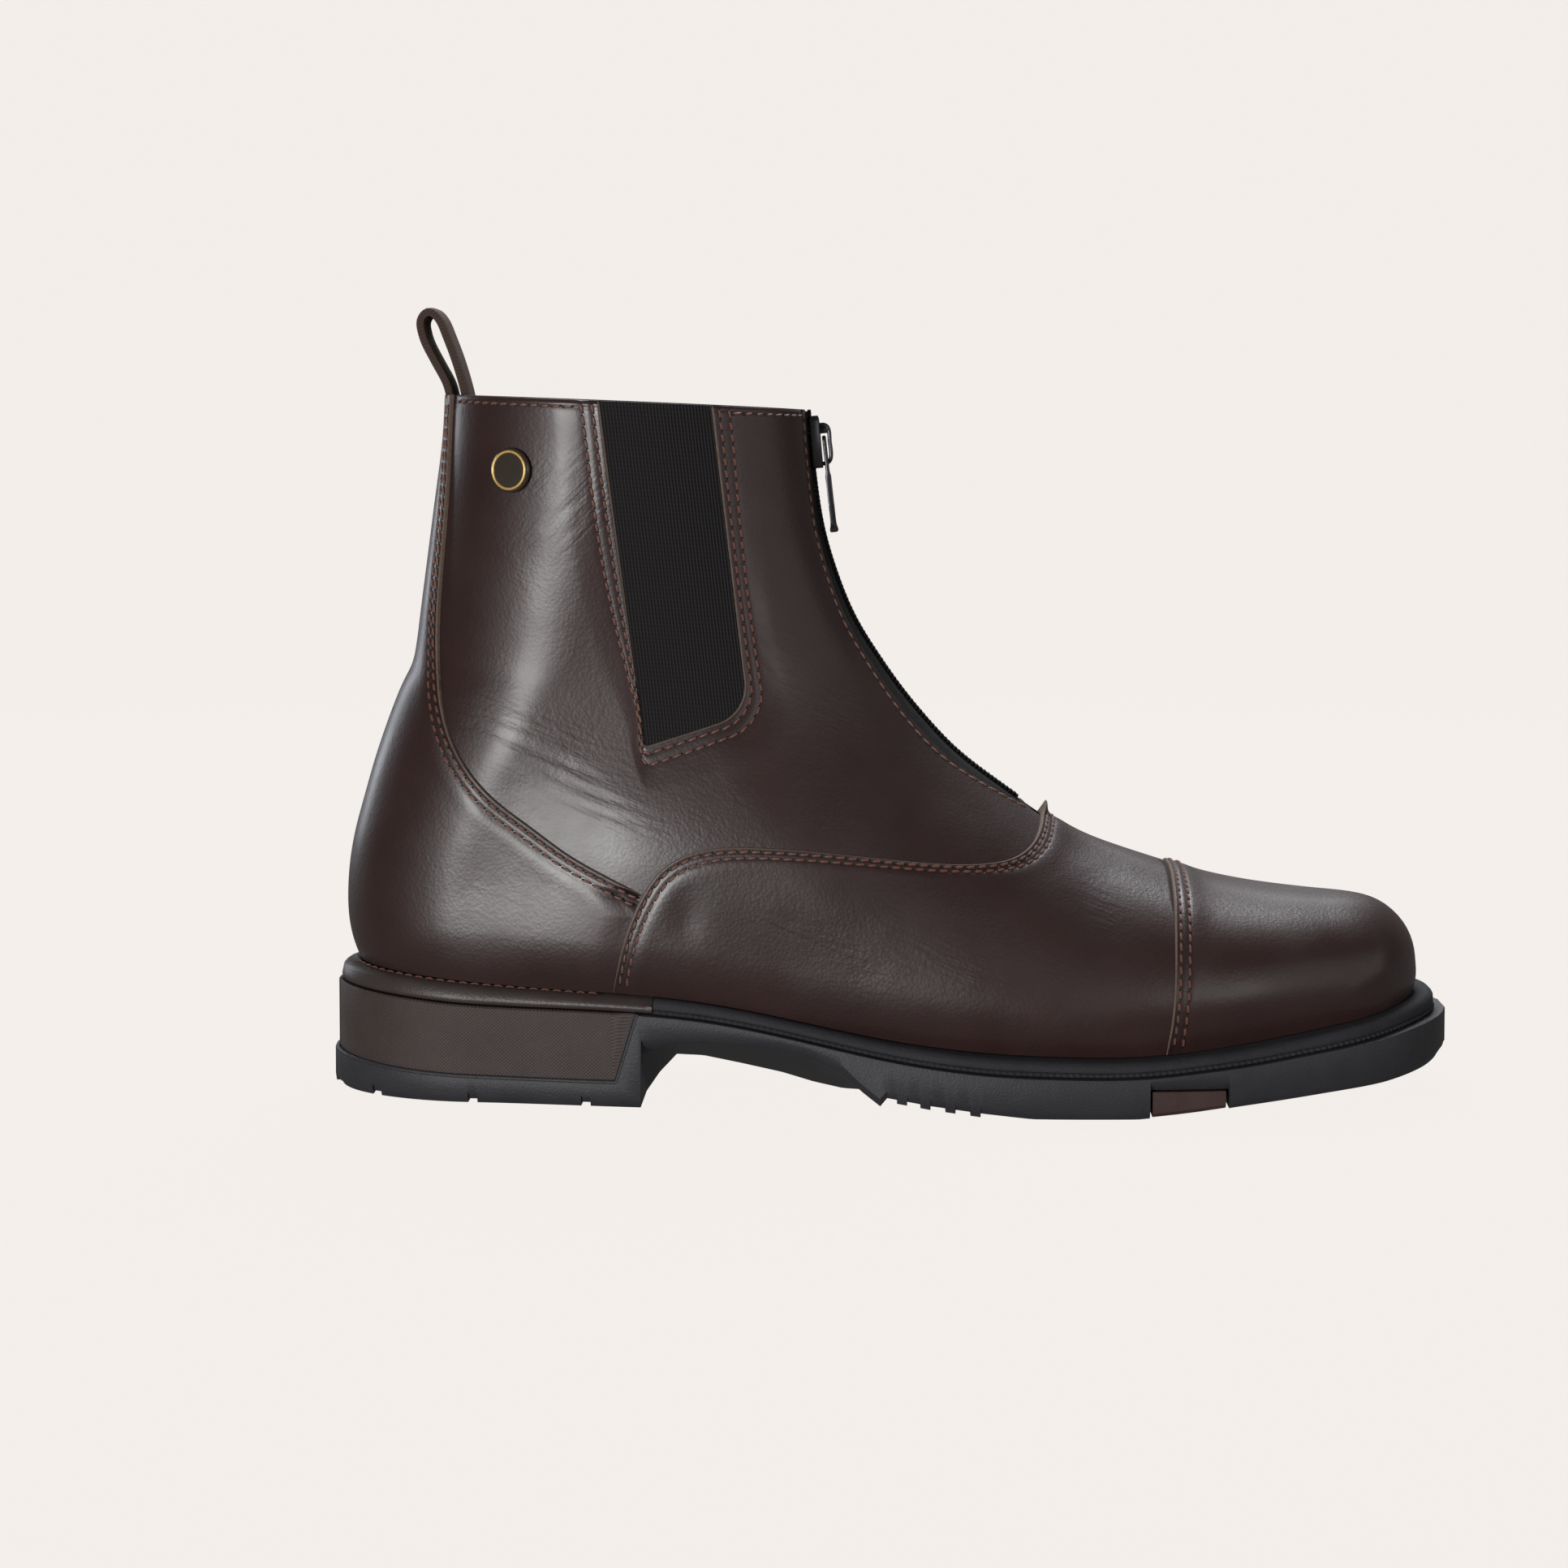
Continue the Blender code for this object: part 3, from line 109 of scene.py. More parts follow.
# Seams seen from the side: station, height
VAMP_SEAM = [
    (77.4, 20.0), (78.0, 30.0), (79.4, 37.5), (82.0, 47.0), (85.7, 55.4), (90.5, 62.0), (97.5, 66.2),
    (108.0, 68.0), (121.0, 67.7), (141.7, 65.6), (162.7, 63.3), (175.0, 63.0), (183.0, 64.6), (187.5, 68.2),
    (189.8, 74.0), (190.6, 82.0),
]
CAP_SEAM = [(219.4, 8.0), (220.2, 15.5), (222.0, 30.4), (222.8, 45.7), (223.3, 57.0), (223.6, 70.0)]
COUNTER_SEAM = [
    (34.6, 192.0), (33.6, 180.0), (32.9, 160.0), (31.4, 140.0), (30.5, 120.0), (31.4, 108.0), (34.3, 96.5),
    (39.4, 87.4), (47.0, 79.2), (55.5, 73.0), (66.1, 65.7), (76.7, 60.1), (86.0, 55.6),
]
GORE_CORNERS = [(73.2, 192.0), (85.5, 93.5), (112.5, 102.3), (102.2, 192.0)]
GORE_RADII = [1.2, 10.0]
# Zip slot seen from the front: height, half width
ZIP_SLOT = [(75.0, 3.6), (78.5, 6.4), (86.0, 9.4), (105.0, 9.0), (135.0, 7.4), (165.0, 5.8), (200.0, 5.4)]

# Leather: offsets of each layer from the last, to its outer and inner face
QUARTER_TOP, QUARTER_FOOT = 0.0, -0.95
OVERLAY_TOP, OVERLAY_FOOT = 1.5, 0.05
CAP_TOP, CAP_FOOT = 1.6, 0.5
CAP_EDGE, CAP_EDGE_REACH, CAP_FRONT = 0.9, 6.0, 0.7
CAP_FRONT_START, CAP_FRONT_RUN, CAP_HEM, CAP_HEM_RISE = 262.0, 20.0, 1.2, 9.0
SKIVE, SKIVE_REACH = 0.3, 7.0
# Cut edge and sewing: rounding of the edge, furrow along a stitch row, soft roll beyond the rows
EDGE_ROUND, EDGE_REACH = 0.3, 0.45
COLLAR_ROUND, COLLAR_REACH = 0.6, 1.3
GORE_ROWS, VAMP_ROWS, CAP_ROWS, COUNTER_ROWS = (2.0, 4.9), (1.5, 3.5), (1.5, 3.9), (1.3, 3.3)
ZIP_ROW, COLLAR_ROW = 2.6, 1.8
FURROW, FURROW_HALF = 0.13, 0.65
ROLL, ROLL_AT, ROLL_HALF = 0.05, 2.6, 2.2
NEAR_EDGE = (0.0, 0.1, 0.25, 0.45, 0.75, 1.1, 1.4, 1.7, 2.0, 2.3, 2.6, 3.0, 3.4, 3.8, 4.2, 4.6, 5.0, 5.4, 6.0,
             6.8, 7.8)
CUT_ROWS = 3
# Rows under the collar by their distance from it, the stretch that they crowd into, and rows beside the zip
COLLAR_CLOSE = (0.0, 0.1, 0.25, 0.5, 0.85, 1.2, 1.5, 1.8, 2.1, 2.4, 2.9, 3.6, 4.5)
COLLAR_NEAR = 6.0
NEAR_ZIP = (0.0, 0.1, 0.25, 0.45, 0.9, 1.4, 1.8, 2.2, 2.6, 3.0, 3.5, 4.2, 5.2)

# Fineness of curves and searches
CURVE_SAMPLES, FRONT_SAMPLES, PANEL_SAMPLES, HALVINGS = 40, 800, 41, 48
PLAN_SAMPLES, END_ANGLE, END_TRIM = 2400, 1e-4, 0.35
COARSE_STEP = 16
WINDOW = np.arange(-18, 18)
SMALL_RISE, SMALL_TURN = 1e-3, 1e-2
LEVEL_LOW, LEVEL_HIGH = -0.3, 1.2
SHARP_DEG = 38


def spline(knots, values):
    """Natural cubic spline through the pairs, as a function of an array."""
    knots = np.asarray(knots, float)
    values = np.asarray(values, float)
    step = np.diff(knots)
    slope = np.diff(values) / step
    system = np.eye(len(knots))
    right = np.zeros(len(knots))
    for i in range(1, len(knots) - 1):
        system[i, i - 1:i + 2] = step[i - 1], 2 * (step[i - 1] + step[i]), step[i]
        right[i] = 6 * (slope[i] - slope[i - 1])
    bend = np.linalg.solve(system, right)

    def at(x):
        x = np.clip(np.asarray(x, float), knots[0], knots[-1])
        i = np.clip(np.searchsorted(knots, x) - 1, 0, len(knots) - 2)
        u = (x - knots[i]) / step[i]
        w = 1 - u
        curved = (w**3 - w) * bend[i] + (u**3 - u) * bend[i + 1]
        return w * values[i] + u * values[i + 1] + curved * step[i]**2 / 6

    return at


def column(rows, index=1):
    """Spline from a table's first column to another of its columns."""
    return spline([row[0] for row in rows], [row[index] for row in rows])


def lengths(points):
    """Distance travelled along each line of points, at each point."""
    steps = np.linalg.norm(np.diff(points, axis=0), axis=-1)
    return np.concatenate([np.zeros_like(steps[:1]), np.cumsum(steps, axis=0)])


def unit(vectors):
    """Vectors brought to length 1."""
    return vectors / np.linalg.norm(vectors, axis=-1, keepdims=True)


def read_off(at, run, rows):
    """Points of a line at places along its run, each between its two nearest rows."""
    return np.stack([np.interp(at, run, values) for values in rows.T], axis=-1)


def resampled(path, count):
    """Points spaced evenly along a path."""
    run = lengths(path)
    return read_off(np.linspace(0, run[-1], count), run, path)


def smooth_path(rows, samples):
    """Points spaced evenly along a smooth curve through the rows."""
    rows = np.asarray(rows, float)
    run = lengths(rows)
    fine = np.linspace(0, run[-1], CURVE_SAMPLES * len(rows))
    return resampled(np.stack([spline(run, values)(fine) for values in rows.T], axis=1), samples)


def halved(low, high, is_low):
    """Where a test turns from true to false between two values, by halving the range again and again."""
    for _ in range(HALVINGS):
        value = (low + high) / 2
        below = is_low(value)
        low, high = np.where(below, value, low), np.where(below, high, value)
    return value


def smoothstep(x):
    """Soft rise from 0 at 0 to 1 at 1."""
    x = np.clip(x, 0, 1)
    return x * x * (3 - 2 * x)


def bell(x):
    """Bell of height 1 round 0."""
    return np.exp(-x**2)


def fading(distance, reach):
    """Square of a straight fall, from 1 at an edge to 0 at a reach."""
    return np.clip(1 - distance / reach, 0, 1)**2


def turns(count):
    """Angles spaced evenly round a circle."""
    return np.linspace(0, 2 * math.pi, count, endpoint=False)


back_station = column(BACK_LINE)
front_curve = smooth_path(FRONT_LINE, FRONT_SAMPLES)
front_shares = np.linspace(0, 1, FRONT_SAMPLES)
foot_half = {OUTER: column(FOOT_WIDTH, 1), INNER: column(FOOT_WIDTH, 2)}
shaft_half = column(SHAFT_WIDTH)
front_depth = column(FRONT_ROUNDING, 1)
front_power = column(FRONT_ROUNDING, 2)
back_depth = column(BACK_ROUNDING)
seat_height = column(SEAT_LINE, 1)
band_height = column(SEAT_LINE, 2)
overhang = column(OVERHANG)
zip_half = column(ZIP_SLOT)


def arc(share, power):
    """Half width near an end line: 0 at the line, 1 at full depth, along a superellipse."""
    share = np.clip(share, 0, 1)
    return (1 - (1 - share)**power)**(1 / power)


def front_line(share):
    """Station and height at a share of the way up the front line."""
    return np.moveaxis(read_off(share, front_shares, front_curve), -1, 0)


def front_level(height):
    """Level of the front line at a height."""
    return float(np.interp(height, front_curve[:, 1], front_shares))


def front_distance(s, z):
    """Side-view distance to the front line, and the share of the way up at the nearest point.

    The nearest of a few points picks a window of segments, and the least distance to those counts.
    """
    s, z = np.broadcast_arrays(s, z)
    shape = s.shape
    s, z = s.ravel(), z.ravel()
    coarse = front_curve[::COARSE_STEP]
    near = COARSE_STEP * np.argmin((s[:, None] - coarse[:, 0])**2 + (z[:, None] - coarse[:, 1])**2, axis=1)
    segment = np.clip(near[:, None] + WINDOW, 0, len(front_curve) - 2)
    start = front_curve[segment]
    run = front_curve[segment + 1] - start
    ds, dz = s[:, None] - start[..., 0], z[:, None] - start[..., 1]
    u = np.clip((ds * run[..., 0] + dz * run[..., 1]) / (run**2).sum(axis=-1), 0, 1)
    distance = np.hypot(ds - u * run[..., 0], dz - u * run[..., 1])
    best = distance.argmin(axis=1)
    row = np.arange(len(s))
    share = (segment[row, best] + u[row, best]) / (len(front_curve) - 1)
    return distance[row, best].reshape(shape), share.reshape(shape)


def middle(s):
    """Side offset of the boot's middle line, which turns inwards at the toe."""
    return TOE_INWARDS * np.clip((s - TOE_TURN_START) / TOE_TURN_LENGTH, 0, None)**2


def feather_height(s):
    """Foot of the upper, just clear of the welt and rand."""
    return seat_height(s) + SEAT_GAP


def half_width(s, z, side):
    """Half width of the last: foot plan and shaft width blended by height, rounded off to front and back."""
    blend = smoothstep((z - SHAFT_START) / (SHAFT_FULL - SHAFT_START))
    width = foot_half[side](s) * (1 - blend) + shaft_half(z) * blend
    distance, share = front_distance(s, z)
    front = arc(distance / front_depth(share), front_power(share))
    back = arc((s - back_station(z)) / back_depth(z), BACK_POWER)
    return width * front * back * (1 - FEATHER_TUCK * fading(z - feather_height(s), FEATHER_ZONE))


HEEL_SEAT_AT = 8.0
FOOT_BACK_Z = float(feather_height(HEEL_SEAT_AT))
FOOT_BACK_S = float(back_station(FOOT_BACK_Z))
FOOT_FRONT_S = FRONT_LINE[0][0]
FOOT_FRONT_Z = float(feather_height(FOOT_FRONT_S))


def foot_forward(s):
    """Share of the way from heel to toe along the foot at a station."""
    return (s - FOOT_BACK_S) / (FOOT_FRONT_S - FOOT_BACK_S)


def ring_angle(forward):
    """Angle on a ring at a share of the way from back line to front line."""
    return np.arccos(np.clip(2 * forward - 1, -1, 1))


def ring_ends(level):
    """Station and height of a ring's end on the back line, and of its end on the front line."""
    back_z = FOOT_BACK_Z + level * (COLLAR_HEIGHT - FOOT_BACK_Z)
    return back_station(back_z), back_z, *front_line(level)


def ring_height(level, s, forward, back_z, front_z):
    """Height on a ring: straight from back line to front line, with low rings sagging along the sole."""
    sag = feather_height(s) - (FOOT_BACK_Z + foot_forward(s) * (FOOT_FRONT_Z - FOOT_BACK_Z))
    clear_of_ends = 1 - np.clip(2 * forward - 1, -1, 1)**SAG_END_POWER
    return back_z + forward * (front_z - back_z) + sag * clear_of_ends * fading(level, SAG_SHARE)


def last_point(level, angle):
    """Point of the last at a level and an angle: a ring from back line to front line, as wide as the last."""
    back_s, back_z, front_s, front_z = ring_ends(level)
    forward = (1 + np.cos(angle)) / 2
    s = back_s + forward * (front_s - back_s)
    z = ring_height(level, s, forward, back_z, front_z)
    outwards = np.sin(angle) >= 0
    y = middle(s) + np.where(outwards, -half_width(s, z, OUTER), half_width(s, z, INNER))
    return np.stack([s, y, z], axis=-1)


def points_of(path):
    """Points of the last at angles and levels."""
    return last_point(path[..., 1], path[..., 0])


def last_normal(level, angle):
    """Outward normal of the last: cross product of its rise and its turn, level at the foot."""
    above, below = (last_point(np.clip(level + rise, 0, 1), angle) for rise in (SMALL_RISE, -SMALL_RISE))
    ahead, behind = (last_point(level, angle + turn) for turn in (SMALL_TURN, -SMALL_TURN))
    normal = np.cross(above - below, ahead - behind)
    normal[..., 2] *= smoothstep(level / FOOT_SHARE)
    return unit(normal)


def shell(level, angle):
    """The last's surface over the low swells of its sides, as a function of an outward offset.

    Its foot still follows the seat line.
    """
    base = last_point(level, angle)
    normal = last_normal(level, angle)
    swell = swollen(base)
    at_foot = 1 - smoothstep(level / FOOT_SHARE)

    def at(offset):
        moved = base + (offset + swell)[..., None] * normal
        moved[..., 2] += at_foot * (feather_height(moved[..., 0]) - feather_height(base[..., 0]))
        return moved

    return at


def on_last(path):
    """Angle and level of side-view points, by halving the range of levels until the ring meets the point.

    Only the stretch between foot, collar and front line is kept.
    """
    s, z = np.asarray(path, float).T

    def ring_at(level):
        back_s, back_z, front_s, front_z = ring_ends(level)
        forward = (s - back_s) / (front_s - back_s)
        return ring_height(level, s, forward, back_z, front_z), forward

    low, high = np.full(len(s), LEVEL_LOW), np.full(len(s), LEVEL_HIGH)
    level = halved(low, high, lambda tried: ring_at(tried)[0] < z)
    forward = ring_at(level)[1]
    inside = (level >= 0) & (level <= 1) & (forward <= 1) & (forward >= 0)
    return np.stack([ring_angle(forward), level], axis=1)[inside]


def reach_to(path, level=None, angle=None, first=False):
    """A line on the last with one end drawn on to a level or an angle."""
    end, before = (path[0], path[3]) if first else (path[-1], path[-4])
    run = end - before
    axis, goal = (1, level) if angle is None else (0, angle)
    added = end + run * (goal - end[axis]) / run[axis] if abs(run[axis]) > 1e-6 else end.copy()
    added[axis] = goal
    return np.concatenate([[added], path]) if first else np.concatenate([path, [added]])


def surface_run(path):
    """Distance travelled over the last along a line of angles and levels."""
    return lengths(points_of(path))


def along(path, shares):
    """Angle and level at shares of a line's length on the last."""
    run = surface_run(path)
    return read_off(shares * run[-1], run, path)


def matched(path, shares, knots, marks):
    """Angle and level at shares of a line, where each knot of the shares falls on a mark along the line."""
    return read_off(np.interp(shares, knots, marks), surface_run(path), path)


def aside(path, distance):
    """A line on the last moved sideways over the surface, to the right of its run seen from outside."""
    at = points_of(path)
    run = unit(np.gradient(at, axis=0))
    moved = at + distance * np.cross(run, last_normal(path[:, 1], path[:, 0]))
    return on_last(moved[:, [0, 2]])


def mirrored(path):
    """A line on the last, on the boot's other side."""
    return path * (-1, 1)


def both_sides(path):
    """A line from the outer foot to the front line, carried on down the inner side."""
    return np.concatenate([path, mirrored(path)[::-1][1:]])


def rounded_path(corners, radii, samples=60):
    """Line through corners, with each inner corner rounded by an arc tangent to both sides."""
    corners = np.asarray(corners, float)
    pieces = []
    start = corners[0]
    turn = np.linspace(0, 1, samples // 2, endpoint=False)[:, None]
    for before, corner, after, radius in zip(corners, corners[1:], corners[2:], radii):
        back, ahead = unit(before - corner), unit(after - corner)
        half = math.acos(float(back @ ahead)) / 2
        sweep = math.pi - 2 * half
        centre = corner + unit(back + ahead) * radius / math.sin(half)
        first, last = (corner + way * radius / math.tan(half) for way in (back, ahead))
        spread = np.sin((1 - turn) * sweep) * (first - centre) + np.sin(turn * sweep) * (last - centre)
        pieces += [np.linspace(start, first, samples, endpoint=False), centre + spread / math.sin(sweep)]
        start = last
    return np.concatenate([*pieces, np.linspace(start, corners[-1], samples)])


def foot_ring(angle, offset):
    """The upper's foot in plan, moved outwards: stations and side offsets.

    offset is a number, an array, or a function of the foot's station.
    """
    at, ahead, behind = (last_point(np.zeros_like(angle), angle + turn)[..., :2]
                         for turn in (0.0, SMALL_TURN, -SMALL_TURN))
    run = ahead - behind
    normal = unit(np.stack([-run[..., 1], run[..., 0]], axis=-1))
    out = offset(at[..., 0]) if callable(offset) else offset
    return at + np.broadcast_to(out, angle.shape)[..., None] * normal


def plan_edge(side, offset):
    """Side offset, as a function of the station, of an outline that lies outside the foot by an offset."""
    angle = -side * np.linspace(END_ANGLE, math.pi - END_ANGLE, PLAN_SAMPLES)
    ring = foot_ring(angle, offset)
    stations, offsets = ring[np.argsort(ring[:, 0])].T
    first, last = stations[0], stations[-1]

    def at(s):
        inside = np.interp(np.clip(s, first + END_TRIM, last - END_TRIM), stations, offsets)
        past_end = (s < first - END_TRIM) | (s > last + END_TRIM)
        return np.where(past_end, middle(s), inside)

    return at


def edges(offset):
    """An outline's two sides."""
    return {side: plan_edge(side, offset) for side in (OUTER, INNER)}


def station_angle(station, side):
    """Angle on the foot ring at a station, positive on the outer side."""
    return -side * float(ring_angle(foot_forward(station)))


def heel_angles(station, count):
    """Angles round the heel, from a station on the outer side to the same one on the inner side."""
    return np.linspace(station_angle(station, OUTER), 2 * math.pi + station_angle(station, INNER), count)


sole_edge = edges(overhang)
ALL_STATIONS = np.linspace(0, SOLE_LENGTH, 400)
PLAN_MIDDLE = (sole_edge[OUTER](ALL_STATIONS).min() + sole_edge[INNER](ALL_STATIONS).max()) / 2


def place(points):
    """Station, side offset and height in millimetres, as metres in the part's frame."""
    return (np.asarray(points, float) - (SOLE_LENGTH / 2, PLAN_MIDDLE, 0.0)) * MM


# Meshes from arrays


def grid_quads(rows, columns, wrap=False, loop=False):
    """Quads of a grid of points. wrap joins its last column to its first, loop its last row to its first."""
    index = np.arange(rows * columns).reshape(rows, columns)
    index = np.pad(index, ((0, int(loop)), (0, int(wrap))), mode="wrap")
    return np.stack([index[:-1, :-1], index[:-1, 1:], index[1:, 1:], index[1:, :-1]], axis=-1).reshape(-1, 4)


def bridge(ring, count):
    """Quads between a closed ring of points and its match, whose numbers are higher by a count."""
    ahead = np.roll(ring, -1)
    return np.stack([ring, ring + count, ahead + count, ahead], axis=-1)


def slab_faces(rows, columns):
    """Faces of two matching grids, outer and inner, and of the rim that closes them. Rows come in order."""
    count = rows * columns
    index = np.arange(count).reshape(rows, columns)
    outer = grid_quads(rows, columns)
    ring = np.concatenate([index[0, :-1], index[:-1, -1], index[-1, :0:-1], index[:0:-1, 0]])
    return [outer, outer[:, ::-1] + count, bridge(ring, count)]


def tube_faces(rows, points):
    """Faces of closed outlines carried along a path, with both ends filled."""
    outline = np.arange(points)[None]
    return [grid_quads(rows, points, wrap=True), outline[:, ::-1], (rows - 1) * points + outline]


def copied(blocks, starts):
    """Blocks of faces repeated for each copy of a form, whose points start at the given numbers."""
    return [(block + starts[:, None, None]).reshape(-1, block.shape[1]) for block in blocks]


def volume(points, faces):
    """Six times the volume that the faces close in, from the corner fans of each face."""
    total = 0.0
    for block in faces:
        a = points[block[:, 0]]
        for i in range(1, block.shape[1] - 1):
            total += np.einsum("ij,ij->", a, np.cross(points[block[:, i]], points[block[:, i + 1]]))
    return total


def add_piece(name, points, faces, materials, slot=None, body="boot", stands_for=(), kinds=None, uv=None,
              values=None, metres=False):
    """Smooth mesh object from arrays of points and faces, turned so that its faces point outwards.

    kinds gives each block of faces its material, uv and values give each point a place and named numbers.
    """
    points = np.asarray(points, float).reshape(-1, 3)
    points = points if metres else place(points)
    if volume(points - points.mean(axis=0), faces) < 0:
        faces = [block[:, ::-1] for block in faces]
    kinds = kinds or [0] * len(faces)
    sizes = np.concatenate([np.full(len(block), block.shape[1]) for block in faces])
    corners = np.concatenate([block.ravel() for block in faces])
    mesh = bpy.data.meshes.new(name)
    mesh.vertices.add(len(points))
    mesh.vertices.foreach_set("co", points.ravel())
    mesh.loops.add(len(corners))
    mesh.loops.foreach_set("vertex_index", corners)
    mesh.polygons.add(len(sizes))
    mesh.polygons.foreach_set("loop_start", np.cumsum(sizes) - sizes)
    for material in materials:
        mesh.materials.append(material)
    kind = np.concatenate([np.full(len(block), k) for block, k in zip(faces, kinds)])
    mesh.polygons.foreach_set("material_index", kind)
    if uv is not None:
        layer = mesh.uv_layers.new(name="surface")
        layer.data.foreach_set("uv", np.asarray(uv, float).reshape(-1, 2)[corners].ravel())
    for key, numbers in (values or {}).items():
        attribute = mesh.attributes.new(key, "FLOAT", "POINT")
        attribute.data.foreach_set("value", np.asarray(numbers, float).ravel())
    mesh.update(calc_edges=True)
    mesh.validate()
    mesh.shade_smooth()
    mesh.set_sharp_from_angle(angle=math.radians(SHARP_DEG))
    piece = bpy.data.objects.new(name, mesh)
    bpy.context.scene.collection.objects.link(piece)
    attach(piece, body)
    if stands_for:
        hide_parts(*stands_for)


def add_slab(name, outer, inner, material, uv=None, **more):
    """Closed sheet between two matching grids of points, which share their places on the surface."""
    uv = None if uv is None else np.stack([uv, uv])
    add_piece(name, np.stack([outer, inner]), slab_faces(*outer.shape[:2]), [material], uv=uv, **more)


def add_tube(name, points, material, **more):
    """Closed bar of outlines carried along a path."""
    add_piece(name, points, tube_faces(*points.shape[:2]), [material], **more)


NEAR_SHARE = 0.46


class Panel:
    """Sheet on the last between two edge lines with matching points.

    A column is the straight line, in angle and level, from a point of the edge to its match on the far edge.
    """

    def __init__(self, edge, far):
        self.edge, self.far = edge, far
        self.share = np.linspace(0, 1, PANEL_SAMPLES)
        self.length = lengths(points_of(self.between(self.share[:, None])))

    def between(self, share):
        """Angle and level at shares of the way across."""
        return (1 - share[..., None]) * self.edge + share[..., None] * self.far

    def at(self, distance):
        """Angle and level at distances from the edge, given for each row and column."""
        share = [np.interp(distance[:, j], self.length[:, j], self.share) for j in range(len(self.edge))]
        return self.between(np.stack(share, axis=1))

    def line(self, distance):
        """Line at one distance from the edge."""
        return self.at(np.full((1, len(self.edge)), distance))[0]

    def grid(self, near, spread, far_near=(0.0,)):
        """Angle, level, and distances from edge and far edge, of rows near both edges and spread between."""
        total = self.length[-1]
        near, far_near = np.asarray(near)[:, None], np.asarray(far_near)[::-1, None]
        room = NEAR_SHARE * total
        near = near * np.minimum(1, room / max(near[-1, 0], 1e-6))
        far_near = far_near * np.minimum(1, room / max(far_near[0, 0], 1e-6))
        share = np.linspace(0, 1, spread + 2)[1:-1, None]
        open_rows = near[-1] + share * (total - far_near[0] - near[-1])
        distance = np.concatenate([near, open_rows, total - far_near])
        angle, level = np.moveaxis(self.at(distance), -1, 0)
        return angle, level, distance, total - distance


def sewn(distance, rows):
    """Height of leather near a cut edge: rounded edge, furrow along each stitch row, soft roll beyond."""
    furrows = sum(-FURROW * bell((distance - row) / FURROW_HALF) for row in rows)
    roll = ROLL * bell((distance - rows[-1] - ROLL_AT) / ROLL_HALF)
    return -EDGE_ROUND * fading(distance, EDGE_REACH) + furrows + roll


def skived(distance):
    """Depth by which an overlay is thinned towards its edge."""
    return SKIVE * (1 - smoothstep(distance / SKIVE_REACH))


def collar_distance(level, angle):
    """Distance down from the collar's edge."""
    return np.linalg.norm(last_point(level, angle) - last_point(np.ones_like(level), angle), axis=-1)


def collar_relief(level, angle):
    """Rounded collar edge with the furrow of its stitch row."""
    down = collar_distance(level, angle)
    return -COLLAR_ROUND * fading(down, COLLAR_REACH) - FURROW * bell((down - COLLAR_ROW) / FURROW_HALF)


# Creases seen from the side: start station, height, end station, height, half width, depth
QUARTER_CREASES = [
    (70.5, 160.6, 59.0, 149.0, 0.9, 0.07), (73.0, 156.5, 64.0, 147.5, 0.8, 0.05),
    (68.5, 168.5, 60.5, 161.0, 0.9, 0.04), (38.3, 99.6, 68.0, 89.0, 1.3, 0.10),
    (48.2, 96.4, 75.2, 84.1, 1.2, 0.09), (52.6, 90.7, 81.5, 78.2, 1.2, 0.09),
    (41.5, 103.0, 63.6, 94.3, 1.1, 0.08), (61.5, 81.0, 86.0, 72.6, 1.1, 0.06),
    (115.5, 124.0, 121.0, 122.0, 0.8, 0.06), (116.0, 119.5, 122.0, 116.5, 0.8, 0.06),
    (115.0, 115.0, 120.5, 111.5, 0.8, 0.05), (134.0, 104.0, 150.0, 90.0, 4.0, 0.12),
]
VAMP_CREASES = [
    (120.0, 50.0, 150.0, 38.0, 6.0, 0.06), (150.0, 48.0, 170.0, 36.0, 6.5, 0.07),
    (205.0, 60.0, 206.0, 44.0, 6.0, 0.10),
]
# Low swells and dents that catch the light: station, height, half length, half height, rise
SWELLS = [
    (52.0, 93.0, 16.0, 11.0, 0.7), (92.0, 70.0, 40.0, 26.0, 2.3), (97.5, 50.5, 4.2, 6.0, -0.45),
    (165.0, 29.0, 26.0, 8.0, 0.4), (70.0, 40.0, 36.0, 15.0, 1.7),
]
# A crease wavers by a share of its half width, fades beyond its ends, and has a low ridge along each side
WAVER, WAVER_TURNS, CREASE_FADE, RIDGE = 0.4, 4, 4, 0.45
WRINKLE_REACH = 6.0


def beside(points, crease):
    """Share along a crease of each point's nearest place, distance from it, and offset across its line."""
    s0, z0, s1, z1 = crease[:4]
    s, z = points[..., 0] - s0, points[..., 2] - z0
    run_s, run_z = s1 - s0, z1 - z0
    share = np.clip((s * run_s + z * run_z) / (run_s**2 + run_z**2), 0, 1)
    away = np.hypot(s - share * run_s, z - share * run_z)
    return share, away, (s * run_z - z * run_s) / math.hypot(run_s, run_z)


def creased(points, table):
    """Sum of soft troughs: bells across lines that fade at their ends, with a low ridge on each side."""
    height = np.zeros(points.shape[:-1])
    for crease in table:
        start, half, depth = crease[0], *crease[4:]
        share, away, across = beside(points, crease)
        across = across + WAVER * half * np.sin(WAVER_TURNS * share + start)
        fade = np.sqrt(np.clip(4 * share * (1 - share), 0, 1)) * bell(away / (CREASE_FADE * half))
        height += depth * fade * (RIDGE * bell((np.abs(across) - 2 * half) / half) - bell(across / half))
    return height


def wrinkle_zones(points, table):
    """Where fine wrinkles show, along creases that rise forwards and along those that fall forwards."""
    zones = {key: np.zeros(points.shape[:-1]) for key in ("wrinkles_rising", "wrinkles_falling")}
    for crease in table:
        s0, z0, s1, z1 = crease[:4]
        key = "wrinkles_rising" if (s1 - s0) * (z1 - z0) > 0 else "wrinkles_falling"
        zones[key] = np.maximum(zones[key], bell(beside(points, crease)[1] / WRINKLE_REACH))
    return zones


